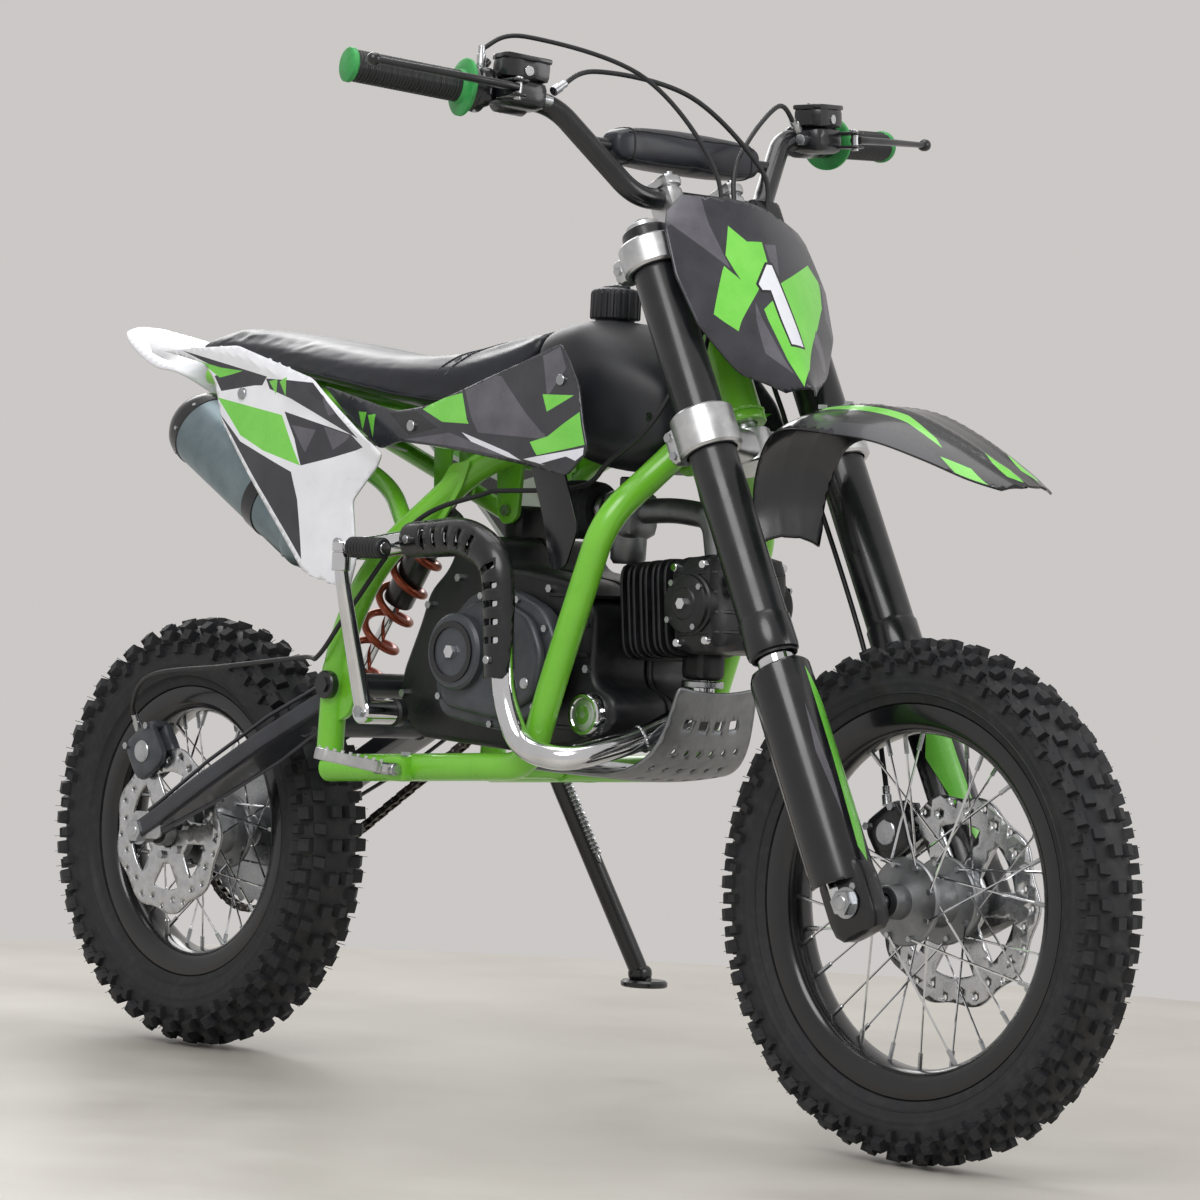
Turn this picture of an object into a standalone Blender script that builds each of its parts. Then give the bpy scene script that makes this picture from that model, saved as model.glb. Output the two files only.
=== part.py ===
"""Small petrol dirt bike: steel cradle frame, horizontal single-cylinder engine, upside-down
fork, swingarm with a single shock, wire-spoked wheels, plastic bodywork and chain drive.

Frame of reference: +X forward, +Y to the rider's left, +Z up, floor at z = 0. Places along the
bike are given forward of the rear axle and moved by P(), which puts the origin under the
middle of the bike.
"""
import math

import bmesh
import bpy
from mathutils import Matrix, Vector

# ---------------------------------------------------------------- driving dimensions (metres)
WHEELBASE = 1.100
MIDDLE = 0.5550                 # from the rear axle to the middle of the bike's length
GAP = 0.0003                    # between touching pieces

FRONT_TYRE_R, FRONT_TYRE_HALF = 0.2540, 0.0330
FRONT_RIM_R, FRONT_RIM_HALF = 0.1900, 0.0225
REAR_TYRE_R, REAR_TYRE_HALF = 0.2440, 0.0420
REAR_RIM_R, REAR_RIM_HALF = 0.1645, 0.0270
AXLE_R = 0.0075
WHEEL_STEPS = 32
SPOKES_PER_FLANGE = 16

RAKE = math.radians(26.5)
FORK_Y = 0.092
FORK_BACK = 0.012               # fork legs behind the front axle
STEM_BACK = 0.030               # steering axis behind the fork legs
UPPER_TUBE_R, UPPER_BORE_R, LOWER_TUBE_R = 0.0245, 0.0200, 0.0185
UPPER_LOW_S, UPPER_TOP_S = 0.262, 0.728      # distances up the fork from beside the axle
INNER_TOP_S = 0.430
LOWER_CLAMP_S, UPPER_CLAMP_S = (0.482, 0.522), (0.684, 0.712)
HEAD_S = (0.530, 0.674)
STEM_R, HEAD_BORE_R, HEAD_R = 0.0140, 0.0150, 0.0240

BAR_R, GRIP_R = 0.0110, 0.0160
BAR_CENTRE = (0.7460, 0.9360)
BAR_BENDS = ((0.090, 0.7460, 0.9360), (0.165, 0.7000, 1.0220), (0.385, 0.6400, 1.0400))

FRAME_TUBE_R = 0.0145
CRADLE_Y = 0.118
PIVOT = (0.355, 0.425)
SWINGARM_Y = 0.098
ENGINE_HALF = 0.080
OUTPUT_SHAFT = (0.425, 0.445)
CHAIN_Y = 0.066
REAR_SPROCKET_R, DRIVE_SPROCKET_R, CHAIN_HALF_HEIGHT = 0.0830, 0.0250, 0.0050
SHOCK_TOP, SHOCK_LOW = (0.395, 0.640), (0.232, 0.400)

FILLER = (0.6320, 0.8260)
FUEL_CAP_R, FUEL_CAP_TOP = 0.0265, 0.0270
STAND = (0.416, 0.1480, 0.340)
STAND_FOOT = (0.470, 0.2480, 0.108)
KICK_SHAFT = (0.432, -0.1400, 0.400)
KICK_HEAD = (0.438, -0.1920, 0.566)

COLLECTION = bpy.data.collections.new("dirt_bike")
TOOLS = bpy.data.collections.new("cutters")


def P(x, y, z):
    """A point given forward of the rear axle, to the left, and above the floor."""
    return Vector((x - MIDDLE, y, z))


def beside(place, y=0.0):
    """The point y to the left of a place given in the side view as (forward, up)."""
    return P(place[0], y, place[1])


FRONT_AXLE = P(WHEELBASE, 0, FRONT_TYRE_R)
REAR_AXLE = P(0, 0, REAR_TYRE_R)
FORK_UP = Vector((-math.sin(RAKE), 0, math.cos(RAKE)))
FORK_FORWARD = Vector((math.cos(RAKE), 0, math.sin(RAKE)))
SIDE = Vector((0, 1, 0))
UP = Vector((0, 0, 1))


def fork(s, y=0.0, forward=0.0):
    """A point s up the fork legs' line, y to the left and forward square to the legs."""
    return FRONT_AXLE + FORK_UP * s + SIDE * y + FORK_FORWARD * (forward - FORK_BACK)


STEM_FOOT = fork(0, 0, -STEM_BACK)
EXHAUST_PORT = P(0.7850, 0, 0.4520)

# ---------------------------------------------------------------- materials
FINISHES = {
    "tyre": ((0.030, 0.031, 0.034), 0.80, 0.0), "black_rim": ((0.012, 0.012, 0.014), 0.32, 0.7),
    "cast_alloy": ((0.33, 0.34, 0.36), 0.45, 0.9), "bright_alloy": ((0.72, 0.73, 0.75), 0.30, 1.0),
    "steel": ((0.55, 0.56, 0.58), 0.30, 1.0), "chrome": ((0.80, 0.80, 0.82), 0.10, 1.0),
    "green_paint": ((0.13, 0.48, 0.06), 0.30, 0.1), "black_paint": ((0.015, 0.016, 0.020), 0.38, 0.1),
    "grey_paint": ((0.10, 0.105, 0.12), 0.45, 0.3), "engine_black": ((0.02, 0.021, 0.024), 0.5, 0.4),
    "black_plastic": ((0.018, 0.019, 0.024), 0.45, 0.0), "white_plastic": ((0.78, 0.79, 0.82), 0.30, 0.0),
    "vinyl": ((0.035, 0.038, 0.048), 0.62, 0.0), "rubber": ((0.02, 0.02, 0.022), 0.75, 0.0),
    "red_plastic": ((0.50, 0.02, 0.02), 0.40, 0.0), "red_paint": ((0.42, 0.06, 0.03), 0.35, 0.2),
    "satin_can": ((0.30, 0.34, 0.37), 0.35, 0.9),
}


def finish_of(slot):
    """The Principled material of one finish, made once."""
    if slot in bpy.data.materials:
        return bpy.data.materials[slot]
    colour, roughness, metallic = FINISHES[slot]
    material = bpy.data.materials.new(slot)
    material.use_nodes = True
    shader = material.node_tree.nodes["Principled BSDF"]
    shader.inputs["Base Color"].default_value = (*colour, 1)
    shader.inputs["Roughness"].default_value = roughness
    shader.inputs["Metallic"].default_value = metallic
    return material


# ---------------------------------------------------------------- building blocks
def clear_scene():
    for old in list(bpy.data.objects):
        bpy.data.objects.remove(old, do_unlink=True)
    for collection in (COLLECTION, TOOLS):
        bpy.context.scene.collection.children.link(collection)


def put(mesh, name="piece"):
    """A new object at the origin that holds the mesh."""
    made = bpy.data.objects.new(name, mesh)
    TOOLS.objects.link(made)
    return made


def from_bmesh(bm):
    mesh = bpy.data.meshes.new("piece")
    bm.to_mesh(mesh)
    bm.free()
    return put(mesh)


def bake(made):
    """Replace an object by the closed mesh that its modifiers or its curve give."""
    bpy.context.view_layer.update()
    evaluated = made.evaluated_get(bpy.context.evaluated_depsgraph_get())
    mesh = bpy.data.meshes.new_from_object(evaluated)
    bm = bmesh.new()
    bm.from_mesh(mesh)
    bmesh.ops.remove_doubles(bm, verts=bm.verts, dist=1e-6)
    bmesh.ops.recalc_face_normals(bm, faces=bm.faces)
    bm.to_mesh(mesh)
    bm.free()
    mesh.transform(made.matrix_world)
    mesh.materials.clear()
    bpy.data.objects.remove(made, do_unlink=True)
    return put(mesh)


def cylinder(start, end, radius, sides=20, end_radius=None):
    """A round bar or cone from start to end."""
    start, end = Vector(start), Vector(end)
    bm = bmesh.new()
    bmesh.ops.create_cone(bm, cap_ends=True, segments=sides, radius1=radius,
                          radius2=radius if end_radius is None else end_radius,
                          depth=(end - start).length)
    turn = UP.rotation_difference((end - start).normalized()).to_matrix().to_4x4()
    bmesh.ops.transform(bm, verts=bm.verts, matrix=Matrix.Translation((start + end) / 2) @ turn)
    return from_bmesh(bm)


def block(centre, size, turn=None, bevel=0.0, segments=1):
    """A box of the given size, turned by a matrix about its centre, with bevelled edges."""
    bm = bmesh.new()
    bmesh.ops.create_cube(bm, size=1.0)
    bmesh.ops.scale(bm, verts=bm.verts, vec=Vector(size))
    if bevel:
        bmesh.ops.bevel(bm, geom=bm.edges[:], offset=bevel, segments=segments, affect="EDGES")
    turn = turn.to_4x4() if turn else Matrix()
    bmesh.ops.transform(bm, verts=bm.verts, matrix=Matrix.Translation(centre) @ turn)
    return from_bmesh(bm)


def pitch(angle):
    """Turn in the side view: positive tips the nose of a piece up."""
    return Matrix.Rotation(-angle, 3, "Y")


FORK_TURN = pitch(RAKE)


def rounded(points, radius, steps=3):
    """Replace each inner corner of a run of points by an arc."""
    points = [Vector(p) for p in points]
    route = [points[0]]
    for before, corner, after in zip(points, points[1:], points[2:]):
        reach = min(radius, (before - corner).length * 0.45, (after - corner).length * 0.45)
        enter = corner + (before - corner).normalized() * reach
        leave = corner + (after - corner).normalized() * reach
        for i in range(steps + 1):
            t = i / steps
            route.append(enter * (1 - t) ** 2 + corner * 2 * t * (1 - t) + leave * t ** 2)
    return route + [points[-1]]


def tube(points, radius, bend=0.05, resolution=3, steps=3):
    """A round tube along a run of points with bent corners."""
    route = rounded(points, bend, steps) if len(points) > 2 and bend else [Vector(p) for p in points]
    curve = bpy.data.curves.new("tube", "CURVE")
    curve.dimensions = "3D"
    curve.bevel_depth = radius
    curve.bevel_resolution = resolution
    curve.use_fill_caps = True
    spline = curve.splines.new("POLY")
    spline.points.add(len(route) - 1)
    for place, point in zip(spline.points, route):
        place.co = (*point, 1)
    return bake(put(curve))


def plate(outline, thickness, holes=(), matrix=None):
    """A flat outline in its own XY plane, half its thickness to each side, placed by a matrix."""
    curve = bpy.data.curves.new("plate", "CURVE")
    curve.dimensions = "2D"
    curve.fill_mode = "BOTH"
    curve.extrude = thickness / 2
    for loop in (outline, *holes):
        spline = curve.splines.new("POLY")
        spline.points.add(len(loop) - 1)
        spline.use_cyclic_u = True
        for place, (x, y) in zip(spline.points, loop):
            place.co = (x, y, 0, 1)
    made = put(curve)
    made.matrix_world = matrix or Matrix()
    return bake(made)


def side_plate(outline, thickness, y, holes=(), lean=0.0, splay=0.0, hinge=(0.0, 0.0)):
    """A plate in the side view; lean and splay turn it about the point given by hinge."""
    centre = P(hinge[0], y, hinge[1])
    upright = Matrix.Rotation(math.pi / 2, 4, "X")
    turn = Matrix.Rotation(splay, 4, "Z") @ Matrix.Rotation(lean, 4, "X")
    local = [[(x - hinge[0], z - hinge[1]) for x, z in loop] for loop in (outline, *holes)]
    return plate(local[0], thickness, local[1:], Matrix.Translation(centre) @ turn @ upright)


def circle(radius, sides, centre=(0.0, 0.0), phase=0.0):
    angles = [phase + 2 * math.pi * i / sides for i in range(sides)]
    return [(centre[0] + radius * math.cos(a), centre[1] + radius * math.sin(a)) for a in angles]


def turned(profile, centre, axis=SIDE, steps=WHEEL_STEPS, closed=True):
    """A profile of (radius, height) points, run down its outer side, turned about an axis."""
    mesh = bpy.data.meshes.new("profile")
    links = [(i, i + 1) for i in range(len(profile) - 1)]
    if closed:
        links.append((len(profile) - 1, 0))
    mesh.from_pydata([(r, 0, h) for r, h in profile], links, [])
    made = put(mesh)
    screw = made.modifiers.new("turn", "SCREW")
    screw.steps = screw.render_steps = steps
    screw.use_merge_vertices = True
    screw.merge_threshold = 0.0001
    screw.use_smooth_shade = False
    made.matrix_world = Matrix.Translation(centre) @ UP.rotation_difference(axis).to_matrix().to_4x4()
    return bake(made)


def sheet(rows, thickness, offset=-1.0):
    """An open sheet through rows of points, given a wall thickness."""
    width = len(rows[0])
    points = [p for row in rows for p in row]
    faces = [(r * width + c, r * width + c + 1, (r + 1) * width + c + 1, (r + 1) * width + c)
             for r in range(len(rows) - 1) for c in range(width - 1)]
    mesh = bpy.data.meshes.new("sheet")
    mesh.from_pydata(points, [], faces)
    made = put(mesh)
    wall = made.modifiers.new("wall", "SOLIDIFY")
    wall.thickness = thickness
    wall.offset = offset
    return recalculated(bake(made))


def loft(rings):
    """A closed body through rings of points that run along it."""
    count = len(rings[0])
    points = [p for ring in rings for p in ring]
    faces = [(r * count + i, r * count + (i + 1) % count, (r + 1) * count + (i + 1) % count,
              (r + 1) * count + i) for r in range(len(rings) - 1) for i in range(count)]
    faces += [tuple(range(count)), tuple((len(rings) - 1) * count + i for i in range(count))]
    mesh = bpy.data.meshes.new("loft")
    mesh.from_pydata(points, [], faces)
    return recalculated(put(mesh))


def recalculated(made):
    """Point every face of a closed mesh outwards."""
    bm = bmesh.new()
    bm.from_mesh(made.data)
    bmesh.ops.recalc_face_normals(bm, faces=bm.faces)
    bm.to_mesh(made.data)
    bm.free()
    return made


def merged(base, others, operation="UNION"):
    """Join or cut solids one by one with an exact Boolean."""
    for other in others:
        step = base.modifiers.new("step", "BOOLEAN")
        step.operation = operation
        step.solver = "EXACT"
        step.object = other
        base = bake(base)
        bpy.data.objects.remove(other, do_unlink=True)
    return base


def cut(base, others):
    return merged(base, others, "DIFFERENCE")


def name_piece(made, name, slot, origin=None):
    """Give a finished solid its name, finish and origin, and file it with the bike's parts."""
    made.name = made.data.name = name
    made.data.materials.clear()
    made.data.materials.append(finish_of(slot))
    if origin is not None:
        made.data.transform(Matrix.Translation(-Vector(origin)))
        made.location = origin
    made.data.shade_smooth()
    made.data.set_sharp_from_angle(angle=math.radians(35))
    TOOLS.objects.unlink(made)
    COLLECTION.objects.link(made)
    return made


# ---------------------------------------------------------------- wheels
def tyre_profile(outer, half, rim_r, rim_half):
    """Half a rounded tyre section: tread, shoulder, sidewall and the bead's outer lip."""
    depth = outer - rim_r
    return [(outer, half * 0.45), (outer - depth * 0.14, half * 0.90), (outer - depth * 0.36, half),
            (outer - depth * 0.72, half * 0.92), (rim_r + 0.0009, rim_half + 0.0015),
            (rim_r + 0.0009, rim_half - 0.0030)]


def tyre(name, centre, outer, half, rim_r, rim_half):
    upper = tyre_profile(outer, half, rim_r, rim_half) + [(rim_r - 0.0115, rim_half - 0.0030)]
    loop = upper + [(r, -h) for r, h in reversed(upper)]
    name_piece(recalculated(turned(loop, centre)), name, "tyre", centre)


def rim(name, centre, rim_r, rim_half):
    """A box-section rim with a flange each side and a dropped centre."""
    bed = rim_r - 0.0125
    loop = [(rim_r, rim_half), (rim_r, rim_half - 0.0022), (bed, rim_half - 0.0026),
            (bed, -rim_half + 0.0026), (rim_r, -rim_half + 0.0022), (rim_r, -rim_half),
            (bed - 0.004, -rim_half), (bed - 0.016, -rim_half * 0.55),
            (bed - 0.016, rim_half * 0.55), (bed - 0.004, rim_half)]
    name_piece(recalculated(turned(loop, centre)), name, "black_rim", centre)
    return bed - 0.016


def hub(name, centre, half, flange_r, flange_y, rim_inner, barrel_r):
    """A hub shell with two flanges and the wire spokes that leave them, bored for the axle."""
    lip = 0.0025
    right = [(barrel_r * 0.75, half), (barrel_r * 0.75, flange_y + lip), (flange_r, flange_y + lip),
             (flange_r, flange_y - lip), (barrel_r, flange_y - 3 * lip)]
    loop = [(AXLE_R + GAP, half)] + right + [(r, -h) for r, h in reversed(right)]
    body = recalculated(turned(loop + [(AXLE_R + GAP, -half)], centre, steps=24))
    wires = []
    reach = rim_inner - GAP * 4
    lean = math.radians(42)
    for side in (-1, 1):
        for i in range(SPOKES_PER_FLANGE):
            way = 1 if i % 2 else -1
            angle = 2 * math.pi * (i + (0.5 if side > 0 else 0)) / SPOKES_PER_FLANGE
            root = Vector(((flange_r - 0.004) * math.cos(angle), side * flange_y,
                           (flange_r - 0.004) * math.sin(angle)))
            tip_angle = angle + way * lean
            tip = Vector((reach * math.cos(tip_angle), side * (0.004 + 0.002 * way), reach * math.sin(tip_angle)))
            wires.append(cylinder(centre + root, centre + tip, 0.0015, sides=3))
    return name_piece(merged(body, wires), name, "cast_alloy", centre)


def wave_disc(name, centre, y, outer, inner, bore, waves, slot):
    """A brake disc with a wavy rim, a ring of windows and a central bore."""
    def radius_at(angle, base, swing):
        return base + swing * math.cos(waves * angle)
    angles = [2 * math.pi * i / (waves * 6) for i in range(waves * 6)]
    outline = [(radius_at(a, outer, 0.0030) * math.cos(a), radius_at(a, outer, 0.0030) * math.sin(a))
               for a in angles]
    windows = []
    for i in range(6):
        middle = 2 * math.pi * (i + 0.5) / 6
        spread = math.radians(21)
        arc = [middle - spread, middle, middle + spread]
        windows.append([(inner * math.cos(a), inner * math.sin(a)) for a in arc]
                       + [((bore + 0.009) * math.cos(a), (bore + 0.009) * math.sin(a)) for a in reversed(arc)])
    matrix = Matrix.Translation(centre + SIDE * y) @ Matrix.Rotation(math.pi / 2, 4, "X")
    made = plate(outline, 0.0035, [circle(bore, 20)] + windows, matrix)
    return name_piece(made, name, slot, centre)


def toothed_wheel(name, centre, y, pitch_r, teeth, bore, slot, origin):
    outline = []
    for i in range(teeth):
        for share, radius in ((0.0, pitch_r - 0.0035), (0.35, pitch_r - 0.0035), (0.67, pitch_r + 0.0008)):
            a = 2 * math.pi * (i + share) / teeth
            outline.append((radius * math.cos(a), radius * math.sin(a)))
    matrix = Matrix.Translation(centre + SIDE * y) @ Matrix.Rotation(math.pi / 2, 4, "X")
    return name_piece(plate(outline, 0.0040, [circle(bore, 16)], matrix), name, slot, origin)


def make_front_wheel():
    tyre("front_tyre", FRONT_AXLE, FRONT_TYRE_R, FRONT_TYRE_HALF, FRONT_RIM_R, FRONT_RIM_HALF)
    inner = rim("front_rim", FRONT_AXLE, FRONT_RIM_R, FRONT_RIM_HALF)
    hub("front_hub", FRONT_AXLE, 0.0560, 0.0430, 0.0280, inner, 0.0230)
    wave_disc("front_disc", FRONT_AXLE, 0.0480, 0.1020, 0.0800, 0.0185, 10, "steel")


def make_rear_wheel():
    tyre("rear_tyre", REAR_AXLE, REAR_TYRE_R, REAR_TYRE_HALF, REAR_RIM_R, REAR_RIM_HALF)
    inner = rim("rear_rim", REAR_AXLE, REAR_RIM_R, REAR_RIM_HALF)
    hub("rear_hub", REAR_AXLE, 0.0720, 0.0430, 0.0300, inner, 0.0240)
    wave_disc("rear_disc", REAR_AXLE, -0.0560, 0.0920, 0.0720, 0.0190, 9, "steel")
    toothed_wheel("rear_sprocket", REAR_AXLE, CHAIN_Y, REAR_SPROCKET_R, 30, 0.0190, "steel", REAR_AXLE)


# ---------------------------------------------------------------- front fork
FORK_FRAME = Matrix((FORK_FORWARD, SIDE, FORK_UP)).transposed().to_4x4()


def fork_plate(outline, thickness, s, holes=()):
    """A plate square to the fork legs at s; the outline is (forward, left)."""
    return plate(outline, thickness, holes, Matrix.Translation(fork(s)) @ FORK_FRAME)


def clamp_outline(front_middle):
    half = [(front_middle, 0.045), (0.030, 0.070), (0.034, 0.104), (0.020, 0.126), (-0.012, 0.128),
            (-0.030, 0.110), (-0.030, 0.066), (-0.050, 0.028), (-0.054, 0.010)]
    return half + [(x, -y) for x, y in reversed(half)]


def make_clamps():
    legs = [circle(UPPER_TUBE_R + 2 * GAP, 20, (0, y)) for y in (FORK_Y, -FORK_Y)]
    lower_s, upper_s = sum(LOWER_CLAMP_S) / 2, sum(UPPER_CLAMP_S) / 2
    lower = fork_plate(clamp_outline(0.004), LOWER_CLAMP_S[1] - LOWER_CLAMP_S[0], lower_s, legs)
    stem = cylinder(fork(lower_s, 0, -STEM_BACK), fork(0.727, 0, -STEM_BACK), STEM_R, 16)
    nut = cylinder(fork(UPPER_CLAMP_S[1] + GAP, 0, -STEM_BACK), fork(0.724, 0, -STEM_BACK), 0.0185, 6)
    name_piece(merged(lower, [stem, nut]), "lower_clamp", "bright_alloy", STEM_FOOT)

    stem_hole = circle(STEM_R + 2 * GAP, 16, (-STEM_BACK, 0))
    upper = fork_plate(clamp_outline(0.021), UPPER_CLAMP_S[1] - UPPER_CLAMP_S[0], upper_s, legs + [stem_hole])
    bar_s = 0.7684
    risers = [block(fork(0.7465, y), (0.036, 0.024, 0.074), FORK_TURN, 0.003) for y in (0.045, -0.045)]
    upper = merged(upper, risers)
    upper = cut(upper, [cylinder(fork(bar_s, -0.08), fork(bar_s, 0.08), BAR_R + 3 * GAP, 12)])
    name_piece(upper, "upper_clamp", "bright_alloy", STEM_FOOT)


def make_fork_legs():
    for side, y in (("left", FORK_Y), ("right", -FORK_Y)):
        out, inn = UPPER_TUBE_R, UPPER_BORE_R
        low, top, roof = UPPER_LOW_S, UPPER_TOP_S, INNER_TOP_S + 0.125
        seal = 0.0015
        profile = [(0.0, top), (out * 0.8, top), (out, top - 0.004), (out, low + 0.040),
                   (out + seal, low + 0.034), (out + seal, low), (inn, low), (inn, roof), (0.0, roof)]
        upper = recalculated(turned(profile, fork(0, y), FORK_UP, steps=20, closed=False))
        name_piece(upper, f"fork_upper_{side}", "black_paint", STEM_FOOT)

        inner = cylinder(fork(0.010, y), fork(INNER_TOP_S, y), LOWER_TUBE_R, 16)
        lug = block(fork(0.004, y, 0.006), (0.058, 0.036, 0.080), FORK_TURN, 0.009)
        rows = []
        for s, radius in ((0.028, 0.0322), (0.110, 0.0320), (0.180, 0.0317), (0.232, 0.0315), (0.246, 0.0313)):
            reach = math.radians(118 if s < 0.24 else 80)
            outward = 1 if y > 0 else -1
            angles = [math.radians(32) * outward + reach * (i / 6 - 1) for i in range(13)]
            rows.append([fork(s, y + radius * math.sin(a), radius * math.cos(a)) for a in angles])
        guard = sheet(rows, 0.0022)
        foot = block(fork(0.048, y, 0.018), (0.026, 0.030, 0.050), FORK_TURN, 0.004)
        leg = merged(inner, [lug, foot, guard])
        hole = cylinder(FRONT_AXLE + SIDE * (y - 0.03), FRONT_AXLE + SIDE * (y + 0.03), AXLE_R + 2 * GAP, 16)
        name_piece(cut(leg, [hole]), f"fork_lower_{side}", "black_plastic", FRONT_AXLE)


def axle_with_nuts(name, centre, half, nut_r, nut_length):
    made = cylinder(centre - SIDE * half, centre + SIDE * half, AXLE_R, 16)
    nuts = [cylinder(centre + SIDE * (way * (half - nut_length)), centre + SIDE * (way * (half - 0.001)), nut_r, 6)
            for way in (-1, 1)]
    name_piece(merged(made, nuts), name, "steel", centre)


def caliper(name, centre, y, size, disc_y, slot):
    """A brake caliper body, slotted for its disc."""
    body = block(centre + SIDE * y, size, pitch(math.radians(35)), 0.006)
    throat = block(centre + SIDE * disc_y, (size[0] + 0.03, 0.0046, size[2]), pitch(math.radians(35)))
    throat.data.transform(Matrix.Translation((0, 0, -size[2] * 0.32)))
    name_piece(cut(body, [throat]), name, slot, centre)


def make_front_end():
    make_clamps()
    make_fork_legs()
    axle_with_nuts("front_axle", FRONT_AXLE, 0.1210, 0.0125, 0.0100)
    caliper("front_caliper", FRONT_AXLE + Vector((-0.084, 0, 0.060)), 0.0510, (0.052, 0.038, 0.052), 0.0480,
            "black_paint")


# ---------------------------------------------------------------- bars and controls
def bar_point(y):
    """The bar's centre line at a place across the bike."""
    way = 1 if y > 0 else -1
    (y0, x0, z0), (y1, x1, z1), (y2, x2, z2) = BAR_BENDS
    if abs(y) <= y1:
        t = max(0.0, (abs(y) - y0) / (y1 - y0))
        return P(x0 + (x1 - x0) * t, y, z0 + (z1 - z0) * t)
    t = (abs(y) - y1) / (y2 - y1)
    return P(x1 + (x2 - x1) * t, way * abs(y), z1 + (z2 - z1) * t)


def bar_axes(way):
    """Along the grip outwards, forward, and up, at one end of the bar."""
    along = (bar_point(way * 0.385) - bar_point(way * 0.170)).normalized()
    ahead = Vector((1, 0, 0)) - along * along.x
    ahead.normalize()
    up = along.cross(ahead) if way < 0 else ahead.cross(along)
    return along, ahead, up


def bar_turn(way):
    along, ahead, up = bar_axes(way)
    left = along * way
    return Matrix((ahead, left, up)).transposed()


def make_bar():
    half = [P(x, y, z) for y, x, z in BAR_BENDS]
    other = [Vector((p.x, -p.y, p.z)) for p in half]
    bar = tube(other[::-1] + half, BAR_R, bend=0.022, resolution=2, steps=3)
    brace_end = bar_point(0.135)
    brace = cylinder(Vector((brace_end.x, -0.137, brace_end.z)), Vector((brace_end.x, 0.137, brace_end.z)), 0.0065, 8)
    along, ahead, up = bar_axes(-1)
    throttle_case = cylinder(bar_point(-0.2440), bar_point(-0.2590), 0.0225, 16)
    spout = cylinder(bar_point(-0.2510) - ahead * 0.012, bar_point(-0.2320) - ahead * 0.018 + up * 0.034, 0.0050, 8)
    along, ahead, up = bar_axes(1)
    switch_case = cylinder(bar_point(0.2440), bar_point(0.2590), 0.0165, 16)
    button_way = (up - ahead * 0.9).normalized()
    seat_point = bar_point(0.2510)
    boss = cylinder(seat_point + button_way * 0.010, seat_point + button_way * 0.0235, 0.0078, 12)
    bar = merged(bar, [brace, throttle_case, spout, switch_case, boss])
    pocket = cylinder(seat_point + button_way * 0.0150, seat_point + button_way * 0.0300, 0.0056, 12)
    name_piece(cut(bar, [pocket]), "handlebar", "black_paint", STEM_FOOT)
    button = cylinder(seat_point + button_way * 0.0185, seat_point + button_way * 0.0280, 0.0050, 12)
    name_piece(button, "kill_button", "red_plastic", seat_point)
    pad = block(Vector((brace_end.x, 0, brace_end.z + 0.001)), (0.048, 0.212, 0.046), None, 0.010, 2)
    bore = cylinder(Vector((brace_end.x, -0.12, brace_end.z)), Vector((brace_end.x, 0.12, brace_end.z)), 0.0072, 8)
    name_piece(cut(pad, [bore]), "crossbar_pad", "vinyl", STEM_FOOT)


def make_grip(name, way):
    start, end = bar_point(way * 0.2600), bar_point(way * 0.3880)
    length = (end - start).length
    bore = BAR_R + 3 * GAP
    profile = [(bore, length), (GRIP_R + 0.0015, length), (GRIP_R, length - 0.006), (GRIP_R, 0.0085),
               (0.0290, 0.0060), (0.0290, 0.0004), (bore, 0.0004)]
    made = recalculated(turned(profile, start, (end - start).normalized(), steps=16))
    name_piece(made, name, "rubber", start)


def make_brake_control(side, way):
    """Master cylinder with its reservoir and lever bracket, and the brake lever."""
    along, ahead, up = bar_axes(way)
    turn = bar_turn(way)
    centre = bar_point(way * 0.2120)
    body = block(centre + ahead * 0.0160, (0.048, 0.058, 0.030), turn, 0.004)
    tank = block(centre + ahead * 0.0180 + up * 0.0250, (0.034, 0.052, 0.024), turn, 0.004)
    pivot = centre + along * 0.0185 + ahead * 0.0520
    ears = [block(pivot - ahead * 0.012 + up * lift, (0.040, 0.0190, 0.0040), turn) for lift in (0.0072, -0.0072)]
    pin = cylinder(pivot - up * 0.0080, pivot + up * 0.0080, 0.0030, 10)
    case = merged(body, [tank] + ears + [pin])
    case = cut(case, [cylinder(centre - along * 0.06, centre + along * 0.06, BAR_R + 3 * GAP, 12)])
    name_piece(case, f"master_cylinder_{side}", "black_paint", STEM_FOOT)

    reach = (bar_point(way * 0.3850) - pivot).dot(along)
    outline = [(-0.004, 0.009), (-0.010, 0.0), (-0.004, -0.009), (0.020, -0.008), (reach * 0.45, 0.000),
               (reach, -0.003), (reach, 0.006), (reach * 0.45, 0.011), (0.022, 0.007)]
    frame = Matrix((along, ahead, along.cross(ahead))).transposed().to_4x4()
    blade = plate(outline, 0.0085, [circle(0.0036, 10)], Matrix.Translation(pivot) @ frame)
    knob = block(pivot + along * reach + ahead * 0.0015, (0.015, 0.015, 0.013), turn, 0.004, 2)
    name_piece(merged(blade, [knob]), f"brake_lever_{side}", "bright_alloy", pivot)
    return pivot, up


def make_controls():
    make_bar()
    make_grip("grip_left", 1)
    make_grip("throttle_grip", -1)
    make_brake_control("left", 1)
    make_brake_control("right", -1)


def make_number_plate():
    rows = []
    for s, half, edge in ((0.540, 0.026, 0.042), (0.570, 0.058, 0.038), (0.612, 0.086, 0.036),
                          (0.662, 0.097, 0.036), (0.712, 0.090, 0.038), (0.745, 0.070, 0.036)):
        row = []
        for i in range(9):
            u = i / 4 - 1
            row.append(fork(s, half * u, edge + 0.028 * (1 - abs(u) ** 1.6)))
        rows.append(row)
    name_piece(sheet(rows, 0.0025), "number_plate", "black_plastic", STEM_FOOT)


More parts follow.
